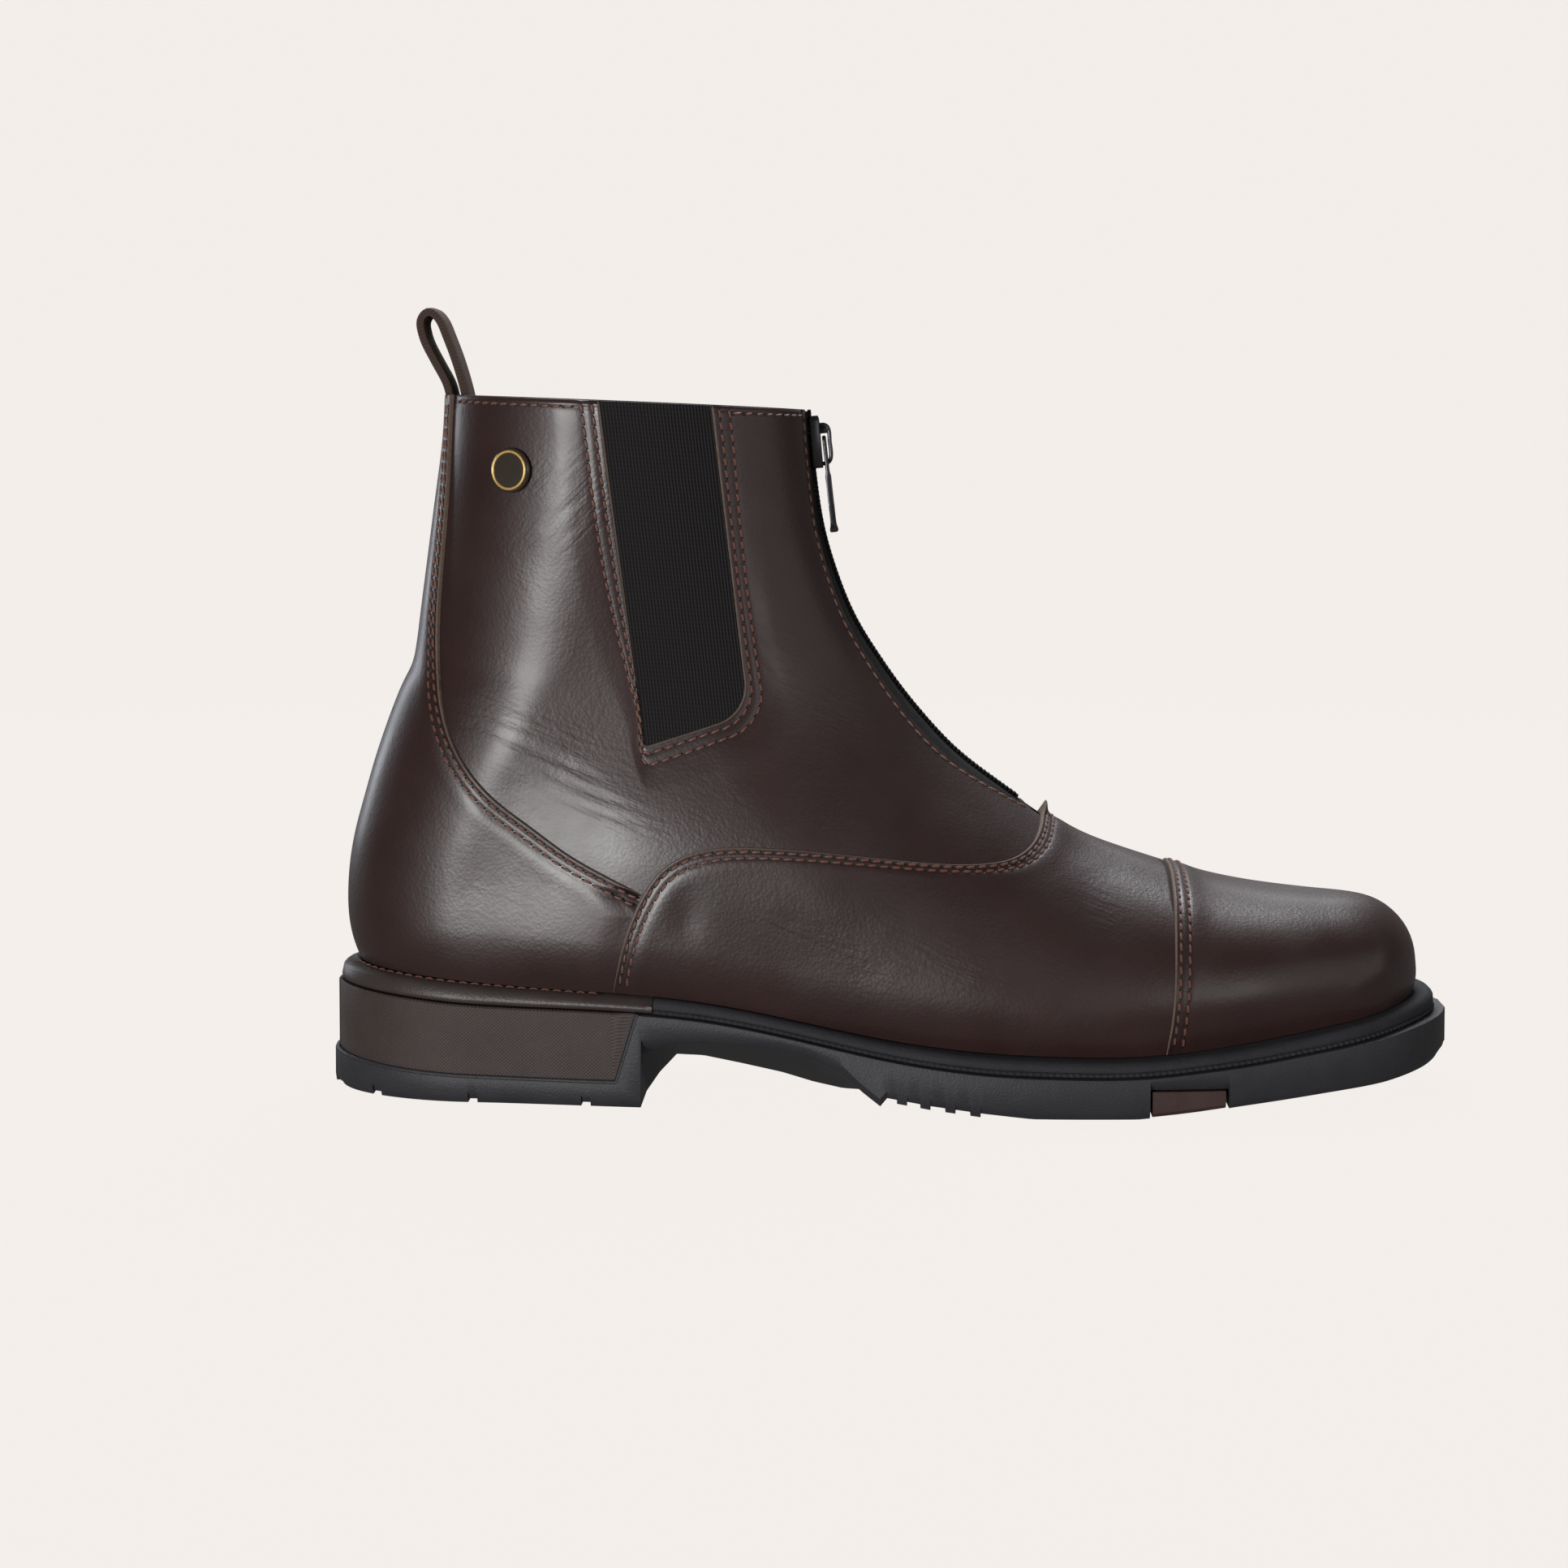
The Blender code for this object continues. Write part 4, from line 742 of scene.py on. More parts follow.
def swollen(points):
    """Sum of low bells over the side of the upper."""
    s, z = points[..., 0], points[..., 2]
    return sum(rise * bell(np.hypot((s - s0) / long, (z - z0) / high)) for s0, z0, long, high, rise in SWELLS)


# Lines on the last, on its outer side


def foot_line(first, last, samples):
    """Line along the foot between two stations."""
    forward = foot_forward(np.linspace(first, last, samples))
    return np.stack([ring_angle(forward), np.zeros(samples)], axis=1)


ZIP_FOOT, ZIP_EDGE_LIMIT = 74.5, 0.9


def zip_edge(levels):
    """Leather's edge beside the zip: on each ring, the angle where the slot's half width is reached."""

    def in_slot(angle):
        at = last_point(levels, angle)
        return middle(at[:, 0]) - at[:, 1] < zip_half(at[:, 2])

    angle = halved(np.zeros_like(levels), np.full_like(levels, ZIP_EDGE_LIMIT), in_slot)
    return np.stack([angle, levels], axis=1)


def marks_at(path, spots):
    """Distances along a line at the points nearest to side-view spots, and the line's whole length."""
    at = points_of(path)
    run = lengths(at)
    return [run[np.argmin(np.hypot(at[:, 0] - s, at[:, 2] - z))] for s, z in spots] + [run[-1]]


def foot_to_front(path):
    """A line on the last drawn on down to the foot at its start and on to the front line at its end."""
    return reach_to(reach_to(path, level=0.0, first=True), angle=0.0)


SEAM_SAMPLES, CAP_SEAM_SAMPLES, ZIP_SAMPLES, CAP_FOOT_SAMPLES, VAMP_FOOT_SAMPLES = 900, 500, 300, 400, 120
vamp_line = foot_to_front(on_last(smooth_path(VAMP_SEAM, SEAM_SAMPLES)))
cap_line = foot_to_front(on_last(smooth_path(CAP_SEAM, CAP_SEAM_SAMPLES)))
counter_line = reach_to(on_last(smooth_path(COUNTER_SEAM, SEAM_SAMPLES)), level=1.0, first=True)
gore_path = on_last(rounded_path(GORE_CORNERS, GORE_RADII))
gore_line = reach_to(reach_to(gore_path, level=1.0, first=True), level=1.0)
zip_line = zip_edge(np.linspace(front_level(ZIP_FOOT), 1.0, ZIP_SAMPLES))

# How far a panel runs on under the next one, and how many points its edges have
LAP = 6.0
QUARTER_COLUMNS, VAMP_COLUMNS, CAP_COLUMNS, COUNTER_COLUMNS = 300, 190, 130, 230
# Quarter: end of its lap under the strap, corner under strap and vamp, stretch of its lap under the vamp, tip
# below the zip as angle and height
STRAP_LAP_END, QUARTER_CORNER = 75.0, [(84.0, 49.0), (91.0, 53.0)]
VAMP_LAP_BACK, VAMP_LAP_FRONT, TIP_ANGLE, TIP_HEIGHT = 98.0, 182.0, 0.12, 68.5
# Its matching places: shares, distances before and after gore corners, lead and middle of the vamp's lap
QUARTER_KNOTS = (0.0, 0.035, 0.36, 0.43, 0.55, 0.67, 0.965, 1.0)
CORNER_BEFORE, CORNER_AFTER, ROUND_REACH, VAMP_LEAD, VAMP_MIDDLE = 1.0, 1.4, 6.5, 8.0, 1.6 / 3
# Vamp: back of its foot, ends of the seam's rise and sweep, their shares, and the foot's match to the rise
VAMP_FOOT_BACK, VAMP_SPOTS = 83.0, [(93.0, 64.0), (181.0, 64.2)]
VAMP_KNOTS, VAMP_RISE_MATCH = (0.0, 0.25, 0.74, 1.0), 36.0
CAP_FOOT_BACK = 225.5
# Counter: share of the rows under the collar, share of its seam, where the seam ends, top of its lap
COUNTER_NEAR, COUNTER_JOIN, COUNTER_SEAM_END, COUNTER_LAP_TOP = 0.04, 0.74, 85.6, 50.0


def crowded_shares(end, count, both_ends):
    """Shares of a line, even but for close rows under the collar. end is the share of the crowded stretch."""
    start = np.asarray(COLLAR_CLOSE) / COLLAR_NEAR * end
    stop = 1 - start[::-1] if both_ends else np.ones(1)
    return np.concatenate([start, np.linspace(start[-1], stop[0], count)[1:-1], stop])


def quarter_lines():
    """Matching edges of a quarter: round the gore from collar to collar, and round under strap and vamp."""
    strap_lap = reach_to(aside(counter_line, LAP), level=1.0, first=True)
    strap_lap = strap_lap[points_of(strap_lap)[:, 0] < STRAP_LAP_END]
    strap_lap = np.concatenate([strap_lap, on_last(QUARTER_CORNER)])
    vamp_lap = aside(vamp_line, LAP)
    station = points_of(vamp_lap)[:, 0]
    vamp_lap = vamp_lap[(station > VAMP_LAP_BACK) & (station < VAMP_LAP_FRONT)]
    far = np.concatenate([strap_lap, vamp_lap, [[TIP_ANGLE, front_level(TIP_HEIGHT)]], zip_line])
    run = surface_run(far)
    strap_end, vamp_start = run[len(strap_lap) - 1:len(strap_lap) + 1]
    zip_start = run[len(strap_lap) + len(vamp_lap) + 1]
    vamp_middle = vamp_start + VAMP_MIDDLE * (zip_start - vamp_start)
    corner, round_corner, gore_end = marks_at(gore_line, GORE_CORNERS[1:3])
    gore_marks = [0, COLLAR_NEAR, corner - CORNER_BEFORE, corner + CORNER_AFTER, round_corner - ROUND_REACH,
                  round_corner + ROUND_REACH, gore_end - COLLAR_NEAR, gore_end]
    far_marks = [0, COLLAR_NEAR, strap_end, vamp_start + VAMP_LEAD, vamp_middle, zip_start,
                 run[-1] - COLLAR_NEAR, run[-1]]
    shares = crowded_shares(QUARTER_KNOTS[1], QUARTER_COLUMNS, both_ends=True)
    edge = matched(gore_line, shares, QUARTER_KNOTS, gore_marks)
    return edge, matched(far, shares, QUARTER_KNOTS, far_marks), shares


def vamp_lines():
    """Matching edges of the vamp: its swept seam, and the foot with the line under the toe cap."""
    cap_lap = foot_to_front(aside(cap_line, LAP))
    foot = foot_line(VAMP_FOOT_BACK, points_of(cap_lap[:1])[0, 0], VAMP_FOOT_SAMPLES)
    far = np.concatenate([foot, cap_lap[1:]])
    run = surface_run(far)
    shares = np.linspace(0, 1, VAMP_COLUMNS)
    edge = matched(vamp_line, shares, VAMP_KNOTS, [0, *marks_at(vamp_line, VAMP_SPOTS)])
    far = matched(far, shares, VAMP_KNOTS, [0, VAMP_RISE_MATCH, run[len(foot) - 1], run[-1]])
    return both_sides(edge), both_sides(far), np.concatenate([shares, shares[::-1][1:]])


def cap_lines():
    """Matching edges of the toe cap: its seam over the toe, and the foot round the toe."""
    shares = np.linspace(0, 1, CAP_COLUMNS)
    foot = foot_line(CAP_FOOT_BACK, FOOT_FRONT_S, CAP_FOOT_SAMPLES)
    return [both_sides(along(path, shares)) for path in (cap_line, foot)]


def counter_lines():
    """Matching edges of heel counter and back strap: outer seam with its lap under the vamp, and mirror."""
    seam = counter_line[points_of(counter_line)[:, 0] < COUNTER_SEAM_END]
    lap = aside(vamp_line, LAP)
    lap = reach_to(lap[points_of(lap)[:, 2] < COUNTER_LAP_TOP][::-1], level=0.0)
    edge = np.concatenate([seam, lap])
    run = surface_run(edge)
    shares = crowded_shares(COUNTER_NEAR, COUNTER_COLUMNS, both_ends=False)
    edge = matched(edge, shares, [0, COUNTER_NEAR, COUNTER_JOIN, 1],
                   [0, COLLAR_NEAR, run[len(seam) - 1], run[-1]])
    return edge, mirrored(edge) + (2 * math.pi, 0), shares


# Sewing

STITCH_PITCH = 3.1
STITCH_HALF, STITCH_RADIUS, STITCH_RISE, STITCH_SINK, STITCH_SLANT = 1.52, 0.38, 0.36, 0.16, 0.10
STITCH_ALONG = np.array([-1.0, -0.66, 0.0, 0.66, 1.0])
STITCH_THICK = np.array([0.75, 0.95, 1.0, 0.95, 0.75])
STITCH_SIDES = 6


def spaced(at, normal):
    """Stitches spaced evenly along a row of points: middle, run and outward direction."""
    run = lengths(at)
    count = max(int(run[-1] / STITCH_PITCH), 1)
    where = (np.arange(count) + 0.5) * run[-1] / count
    ahead, out = (unit(read_off(where, run, values)) for values in (np.gradient(at, axis=0), normal))
    return read_off(where, run, at), ahead, out


def stitch_places(line, offset, side=1):
    """Stitches spaced evenly along a line on the last, at an offset from it."""
    angle, level = side * line[:, 0], line[:, 1]
    return spaced(shell(level, angle)(offset), last_normal(level, angle))


def seam_rows(panel, rows, offset, trim, side=1):
    """Stitches in rows at distances from a panel's edge. trim is how many points are left out at each end."""
    return [stitch_places(panel.line(row)[trim:-trim], offset, side) for row in rows]


def add_stitching(name, rows, thread, size=1.0):
    """Stitches as small bowed threads: rings of points along each, raised in the middle, sunk at the ends."""
    centre, ahead, out = (np.concatenate(parts) for parts in zip(*rows))
    across = np.cross(out, ahead)
    ahead = ahead + STITCH_SLANT * across
    turn = np.tile(turns(STITCH_SIDES), len(STITCH_ALONG))
    x = np.repeat(STITCH_ALONG, STITCH_SIDES)
    radius = np.repeat(STITCH_THICK, STITCH_SIDES) * STITCH_RADIUS * size
    side = radius * np.cos(turn)
    up = radius * np.sin(turn) + STITCH_RISE * (1 - x**2) - STITCH_SINK
    points = centre[:, None] + STITCH_HALF * x[:, None] * ahead[:, None]
    points = points + side[:, None] * across[:, None] + up[:, None] * out[:, None]
    faces = copied(tube_faces(len(STITCH_ALONG), STITCH_SIDES), np.arange(len(centre)) * len(x))
    # stitch_end marks where the thread's material paints the shade of the stitch holes
    add_piece(name, points, faces, [thread], values={"stitch_end": np.tile(np.abs(x), len(centre))})


# Upper

SIDES = (("outer", 1), ("inner", -1))
SEAM_REACH = 20
# A stitch row lies lower than its overlay by this share of the skive
ROW_SHARE = 0.8
OVERLAY_ROW = OVERLAY_TOP - ROW_SHARE * SKIVE - FURROW
CAP_ROW = CAP_TOP + ROW_SHARE * (CAP_EDGE - SKIVE) - FURROW


def add_sheet(name, angle, level, top, bottom, leathers, seam, table=(), far_cut=0, stands_for=()):
    """Closed leather sheet between two offsets of the upper.

    Its cut edges have the second leather: the rim, the first rows, and as many last rows as far_cut says.
    """
    surface = shell(level, angle)
    outer, inner = surface(top), surface(bottom)
    # seam is the distance from the nearest seam or cut edge, which the leather turns into painted seam shade
    values = {"seam": np.clip(seam, 0, SEAM_REACH), **wrinkle_zones(outer, table)}
    values = {key: np.stack([numbers, numbers]) for key, numbers in values.items()}
    face, back, rim = slab_faces(*angle.shape)
    quads = angle.shape[1] - 1
    cut, last_cut = CUT_ROWS * quads, len(face) - far_cut * quads
    faces = [face[:cut], face[cut:last_cut], face[last_cut:], back, rim]
    add_piece(name, np.stack([outer, inner]), faces, leathers, slot="brown_leather", kinds=[1, 0, 1, 0, 1],
              values=values, stands_for=stands_for)


# The quarter's far edge lies beside the zip from this share on
ZIP_SIDE, ZIP_SIDE_RUN, ZIP_ROW_TURN = 0.665, 0.02, 0.6
# The seam round the gore lies lower than the leather beyond it: depth, reach beyond its last row
GORE_PRESS, GORE_PRESS_REACH = 0.45, 8.0
# Ends of the collar's stitch rows: angles kept clear of strap, gore and zip, and the step that measures them
STRAP_CLEAR, REAR_CLEAR, FRONT_CLEAR, ZIP_CLEAR = 0.06, 0.14, 0.12, 0.09
COLLAR_DIP, COLLAR_SAMPLES = 0.03, 120


def collar_lines():
    """Stitch rows along the collar's edge: from strap to gore, and from gore to zip."""
    lines = []
    for first, last in ((counter_line[0, 0] - STRAP_CLEAR, gore_line[0, 0] + REAR_CLEAR),
                        (gore_line[-1, 0] - FRONT_CLEAR, zip_line[-1, 0] + ZIP_CLEAR)):
        angle = np.linspace(first, last, COLLAR_SAMPLES)
        drop = collar_distance(np.full_like(angle, 1 - COLLAR_DIP), angle)
        lines.append(np.stack([angle, 1 - COLLAR_DIP * COLLAR_ROW / drop], axis=1))
    return lines


def add_quarters(leathers, thread):
    """Quarters: on each side one sheet round the gore, from back strap to zip."""
    edge, far, shares = quarter_lines()
    panel = Panel(edge, far)
    angle, level, distance, far_distance = panel.grid(NEAR_EDGE, spread=44, far_near=NEAR_ZIP)
    beside_zip = smoothstep((shares - ZIP_SIDE) / ZIP_SIDE_RUN)
    top = QUARTER_TOP + sewn(distance, GORE_ROWS) + beside_zip * sewn(far_distance, (ZIP_ROW,))
    top = top + collar_relief(level, angle) + creased(last_point(level, angle), QUARTER_CREASES)
    top = top - GORE_PRESS * (1 - smoothstep((distance - GORE_ROWS[-1]) / GORE_PRESS_REACH))
    seam = np.minimum(distance, np.where(beside_zip > 0.5, far_distance, distance))
    zip_side = zip_line[::-1]
    zip_row = Panel(zip_side, zip_side + (ZIP_ROW_TURN, 0)).line(ZIP_ROW)
    rows = []
    for side_name, side in SIDES:
        add_sheet(f"quarter_{side_name}", side * angle, level, top, QUARTER_FOOT, leathers, seam,
                  QUARTER_CREASES, far_cut=CUT_ROWS, stands_for=("upper",) if side_name == "outer" else ())
        rows += seam_rows(panel, GORE_ROWS, -GORE_PRESS - FURROW, 3, side)
        rows += [stitch_places(line, -FURROW, side) for line in (zip_row, *collar_lines())]
    add_stitching("quarter_stitching", rows, thread)


# Vamp: lip at the zip's foot, and how it thins out under the toe cap, by share of its edge and by distance
LIP_RISE, LIP_HALF, LIP_REACH = 2.8, 3.2, 1.8
UNDER_CAP_ROWS = (0.0, 1.0, 2.0, 3.0, 4.5, 6.0, 7.5)
UNDER_CAP_START, UNDER_CAP_RUN = 0.72, 0.04
UNDER_CAP_REACH, UNDER_CAP_FADE, UNDER_CAP_TOP = LAP - 0.6, 1.2, 0.3


def add_vamp(leathers, thread):
    """Vamp: sheet from its swept seam to the welt and under the toe cap, with a lip at the zip's foot."""
    edge, far, shares = vamp_lines()
    panel = Panel(edge, far)
    angle, level, distance, far_distance = panel.grid(NEAR_EDGE, spread=42, far_near=UNDER_CAP_ROWS)
    at = last_point(level, angle)
    lip = LIP_RISE * bell((at[..., 1] - middle(at[..., 0])) / LIP_HALF) * bell(distance / LIP_REACH)
    top = OVERLAY_TOP - skived(distance) + sewn(distance, VAMP_ROWS) + creased(at, VAMP_CREASES) + lip
    under_cap = smoothstep((shares - UNDER_CAP_START) / UNDER_CAP_RUN)
    under_cap = under_cap * (1 - smoothstep((far_distance - UNDER_CAP_REACH) / UNDER_CAP_FADE))
    top = top - under_cap * (OVERLAY_TOP - UNDER_CAP_TOP)
    add_sheet("vamp_leather", angle, level, top, OVERLAY_FOOT, leathers, distance, VAMP_CREASES,
              stands_for=("vamp",))
    add_stitching("vamp_stitching", seam_rows(panel, VAMP_ROWS, OVERLAY_ROW, 4), thread)


def add_toe_cap(leathers, thread):
    """Toe cap: sheet from its seam over the toe down to the welt, fuller at its edge and round the front."""
    panel = Panel(*cap_lines())
    angle, level, distance, _ = panel.grid(NEAR_EDGE, spread=46)
    at = last_point(level, angle)
    at_front = smoothstep((at[..., 0] - CAP_FRONT_START) / CAP_FRONT_RUN)
    near_foot = 1 - smoothstep((at[..., 2] - feather_height(at[..., 0])) / CAP_HEM_RISE)
    fullness = CAP_EDGE * bell(distance / CAP_EDGE_REACH) + at_front * (CAP_FRONT + CAP_HEM * near_foot)
    top = CAP_TOP - skived(distance) + fullness + sewn(distance, CAP_ROWS)
    add_sheet("toe_cap_leather", angle, level, top, CAP_FOOT, leathers, distance, stands_for=("toe_cap",))
    add_stitching("toe_cap_stitching", seam_rows(panel, CAP_ROWS, CAP_ROW, 5), thread)


# Counter's stitch rows: how high they can meet the vamp, and how far they end before it and below the collar
COUNTER_TOP, ROW_END, ROW_DROP = 60.0, 0.6, 0.016
# Counter under the vamp: share where that starts, depth of each of two steps, and where the first step starts
COUNTER_LAP_START, COUNTER_LAP_RUN, COUNTER_STEP, COUNTER_STEP_START = COUNTER_JOIN - 0.02, 0.03, 0.6, 1.0
COUNTER_SEAM_STEP = 3


def line_distance(points, line):
    """Distance of points from the nearest point of a dense line."""
    away = np.empty(points.shape[:-1])
    for row, part in enumerate(points):
        away[row] = np.linalg.norm(part[:, None] - line, axis=-1).min(axis=1)
    return away


def counter_row(row):
    """Stitch row on the counter at one distance from its seam, between collar and vamp."""
    line = aside(counter_line, row)
    at, vamp = points_of(line), points_of(vamp_line)
    vamp = vamp[vamp[:, 2] < COUNTER_TOP]
    limit = np.interp(at[:, 2], vamp[:, 2], vamp[:, 0]) - ROW_END
    return line[(line[:, 1] < 1 - ROW_DROP) & (at[:, 0] < limit)]


def add_counter(leathers, thread):
    """Heel counter and back strap: one sheet round the back, thinned where it runs under the vamp."""
    edge, far, shares = counter_lines()
    angle, level, distance, far_distance = Panel(edge, far).grid(NEAR_EDGE, spread=60, far_near=NEAR_EDGE)
    nearest = np.minimum(distance, far_distance)
    steps = 2 - smoothstep((nearest - COUNTER_STEP_START) / (LAP - COUNTER_STEP_START))
    steps = steps - smoothstep((nearest - LAP) / LAP)
    thinned = COUNTER_STEP * steps * smoothstep((shares - COUNTER_LAP_START) / COUNTER_LAP_RUN)
    seam = counter_line[::COUNTER_SEAM_STEP]
    seam = points_of(np.concatenate([seam, mirrored(seam)]))
    square = np.minimum(line_distance(last_point(level, angle), seam), nearest)
    top = OVERLAY_TOP - skived(square) + sewn(square, COUNTER_ROWS) - thinned
    top = top - EDGE_ROUND * fading(collar_distance(level, angle), EDGE_REACH)
    add_sheet("counter_leather", angle, level, top, OVERLAY_FOOT, leathers, square, far_cut=CUT_ROWS,
              stands_for=("counter",))
    rows = [stitch_places(counter_row(row), OVERLAY_ROW, side) for row in COUNTER_ROWS for _, side in SIDES]
    add_stitching("counter_stitching", rows, thread)


LINING_TOP, LINING_FOOT, LINING_RIM = -1.95, -2.3, -0.97
LINING_LEVELS = np.concatenate([np.linspace(0, 0.96, 90), [0.97, 0.98, 0.985, 0.99, 0.995, 1.0]])
LINING_COLUMNS, LINING_TURN, LINING_TURN_RUN, LINING_CLEAR = 200, 0.975, 0.01, 0.05


def add_lining(lining):
    """Lining: the last's own rings inside the leather, turned up to the leather's edge at the collar."""
    level, angle = np.meshgrid(LINING_LEVELS, turns(LINING_COLUMNS), indexing="ij")
    gore_rear, gore_front = gore_line[0, 0], gore_line[-1, 0]
    turn = np.abs((angle + math.pi) % (2 * math.pi) - math.pi)
    off_gore = (turn < gore_front - LINING_CLEAR) | (turn > gore_rear + LINING_CLEAR)
    turned_up = smoothstep((level - LINING_TURN) / LINING_TURN_RUN) * off_gore
    surface = shell(level, angle)
    points = np.stack([surface(LINING_TOP + (LINING_RIM - LINING_TOP) * turned_up), surface(LINING_FOOT)])
    rows, columns = level.shape
    face = grid_quads(rows, columns, wrap=True)
    foot = bridge(np.arange(columns), level.size)
    collar = foot[:, ::-1] + (rows - 1) * columns
    add_piece("shaft_lining", points, [face, face[:, ::-1] + level.size, foot, collar], [lining],
              slot="insole_leather")


INSOLE_THICK, INSOLE_CLEAR, INSOLE_END, INSOLE_CUP, INSOLE_CUP_POWER = 3.0, 0.9, 1.3, 1.4, 4
INSOLE_ROWS, INSOLE_COLUMNS = 90, 31


def add_insole(lining):
    """Insole: stations along the seat line by shares across, cupped towards its edges."""
    rim = edges(-WALL - INSOLE_CLEAR)
    first, last = FOOT_BACK_S + WALL + INSOLE_END, FOOT_FRONT_S - WALL - INSOLE_END
    s = first + (last - first) * (1 - np.cos(np.linspace(0, math.pi, INSOLE_ROWS)[:, None])) / 2
    across = np.linspace(-1, 1, INSOLE_COLUMNS)
    outer_y, inner_y = rim[OUTER](s), rim[INNER](s)
    y = (outer_y + inner_y) / 2 + (inner_y - outer_y) / 2 * across
    low = feather_height(s)
    high = low + INSOLE_THICK + INSOLE_CUP * np.abs(across)**INSOLE_CUP_POWER
    top, bottom = (np.stack(np.broadcast_arrays(s, y, z), axis=-1) for z in (high, low))
    add_slab("insole_sock", top, bottom, lining, slot="insole_leather", stands_for=("insole",))


GORE_TOP, GORE_FOOT, GORE_BULGE = -0.95, -1.8, 0.3
# How far the elastic runs on under the leather, beside its edges and below its foot: station, height
GORE_LAP, GORE_DROP = np.array([3.0, 0.0]), np.array([0.3, -5.0])
GORE_SAMPLES, GORE_COLUMNS, GORE_NEAR = 300, 90, (0.0, 0.5)


def add_gores(elastic):
    """Gores: elastic between two straight edges that run on under the leather, a little bowed outwards."""
    rear_top, rear_foot, front_foot, front_top = np.asarray(GORE_CORNERS)
    sides = []
    for top, foot, lap in ((rear_top, rear_foot, -GORE_LAP), (front_top, front_foot, GORE_LAP)):
        line = on_last(np.linspace(top + lap, foot + lap + GORE_DROP, GORE_SAMPLES))
        sides.append(along(line, np.linspace(0, 1, GORE_COLUMNS)))
    panel = Panel(*sides)
    angle, level, distance, far_distance = panel.grid(GORE_NEAR, spread=70, far_near=GORE_NEAR)
    share = distance / (distance + far_distance)
    top = GORE_TOP + GORE_BULGE * np.sin(math.pi * share)**2
    at = last_point(level, angle)
    down = np.linalg.norm(at - at[:, :1], axis=-1)
    uv = np.stack([share * panel.length[-1].mean(), down], axis=-1) * MM
    for side_name, side in SIDES:
        surface = shell(level, side * angle)
        add_slab(f"elastic_{side_name}", surface(top), surface(GORE_FOOT), elastic, uv, slot="black_elastic",
                 stands_for=(f"gore_{side_name}",))


# Zip

TAPE_TOP, TAPE_THICK, TAPE_LAP = -1.0, 0.6, 0.07
TAPE_MIDDLE, TAPE_FLAT, TAPE_LEVEL, TAPE_COLUMNS = -0.15, 3.0, 0.998, 170
CHAIN_FOOT, CHAIN_RISE, CHAIN_THICK, CHAIN_SAMPLES, CHAIN_END = 77.0, 0.8, 1.0, 900, 0.3
TOOTH_PITCH, TOOTH_HALF, TOOTH_SIDES = 1.25, 0.36, 8
# One tooth across: side offset, size of its section
TOOTH = [(-2.4, 0.8), (-2.2, 1.0), (-0.25, 1.0), (0.2, 1.15), (0.45, 0.8)]
SLIDER_HEIGHT, SLIDER_TOP, NEARBY = 172.2, 6.0, 0.02
# Slider plate across: side offset, height off its seat
SLIDER_SECTION = [
    (-3.8, -0.8), (-3.8, 1.15), (-3.65, 1.45), (-3.3, 1.6),
    (3.3, 1.6), (3.65, 1.45), (3.8, 1.15), (3.8, -0.8),
    (3.0, -0.8), (3.0, 0.0), (-3.0, 0.0), (-3.0, -0.8),
]
# Slider plate along: height, size of its section
SLIDER_ENDS = [(-7.0, 0.82), (-6.8, 0.93), (-6.3, 1.0), (5.6, 1.0), (6.4, 0.95), (7.0, 0.8)]
# Crown's middle line: outwards, upwards
CROWN_LINE = [
    (1.1, -5.95), (2.1, -5.95), (2.9, -5.8), (3.6, -5.2), (3.95, -4.2), (3.95, 0.0), (3.95, 2.8), (3.6, 3.8),
    (2.9, 4.35), (2.1, 4.45), (1.1, 4.45),
]
CROWN_BRIDGE_LINE = [(1.1, 3.0), (2.5, 3.0), (4.1, 3.0)]
CROWN_HALF_WIDTH, CROWN_HALF_BAR, CROWN_BRIDGE_HALF = 0.8, 0.55, 0.92
CROWN_RINGS, CROWN_SIDES = 44, 14
# Pull tab: distance below the hinge, half thickness
PULL_TAB = [(-0.5, 0.5), (9.2, 0.5), (10.4, 0.75), (23.4, 0.75), (24.6, 1.1), (25.4, 1.1)]
# Half of its outline and of its window: side offset, height, with the rounding of their corners
PULL_OUTLINE = [(0.0, 0.5), (2.25, 0.5), (2.5, -23.4), (2.9, -24.6), (2.9, -25.4), (0.0, -25.4)]
PULL_CORNERS = [1.2, 0.6, 0.5, 0.7]
PULL_WINDOW = [(0.0, -0.55), (1.25, -0.55), (1.25, -9.0), (0.0, -9.0)]
PULL_WINDOW_CORNERS = [0.45, 0.45]
PULL_LEAN_DEG, PULL_SAMPLES, PULL_POINTS = 6.4, 24, 60
# Matching places: distance along the outline, and what is left of the window's length there
PULL_CORNER_AT, PULL_WINDOW_LEFT = 11.0, 1.2
PULL_SHARES = np.concatenate([[0.0, 0.02, 0.05], np.linspace(0.1, 0.9, 20), [0.95, 0.98, 1.0]])
PULL_ROUND, PULL_ROUND_REACH = 0.28, 0.3


def oval(half_width_across, half_thick, count, power=4.0):
    """Outline with flat sides and rounded corners: a superellipse."""
    turn = np.linspace(0, 2 * math.pi, count, endpoint=False)
    x, y = np.cos(turn), np.sin(turn)
    size = (np.abs(x)**power + np.abs(y)**power)**(-1 / power)
    return np.stack([half_width_across * x * size, half_thick * y * size], axis=1)


def slider_seat():
    """Point over the teeth at the slider's middle, and the lean of the zip there."""
    at = front_level(SLIDER_HEIGHT)
    lean = math.atan2(*(front_line(at + NEARBY) - front_line(at - NEARBY)))
    out = CHAIN_RISE + SEAT_GAP
    s, z = front_line(at)
    return np.array([s + out * math.cos(lean), 0.0, z - out * math.sin(lean)]), lean


def leaning(points, lean):
    """Points outwards, sideways and upwards, turned by a lean, as station, side offset and height."""
    out, side, up = np.moveaxis(np.asarray(points, float), -1, 0)
    return np.stack([out * math.cos(lean) + up * math.sin(lean), side,
                     up * math.cos(lean) - out * math.sin(lean)], axis=-1)


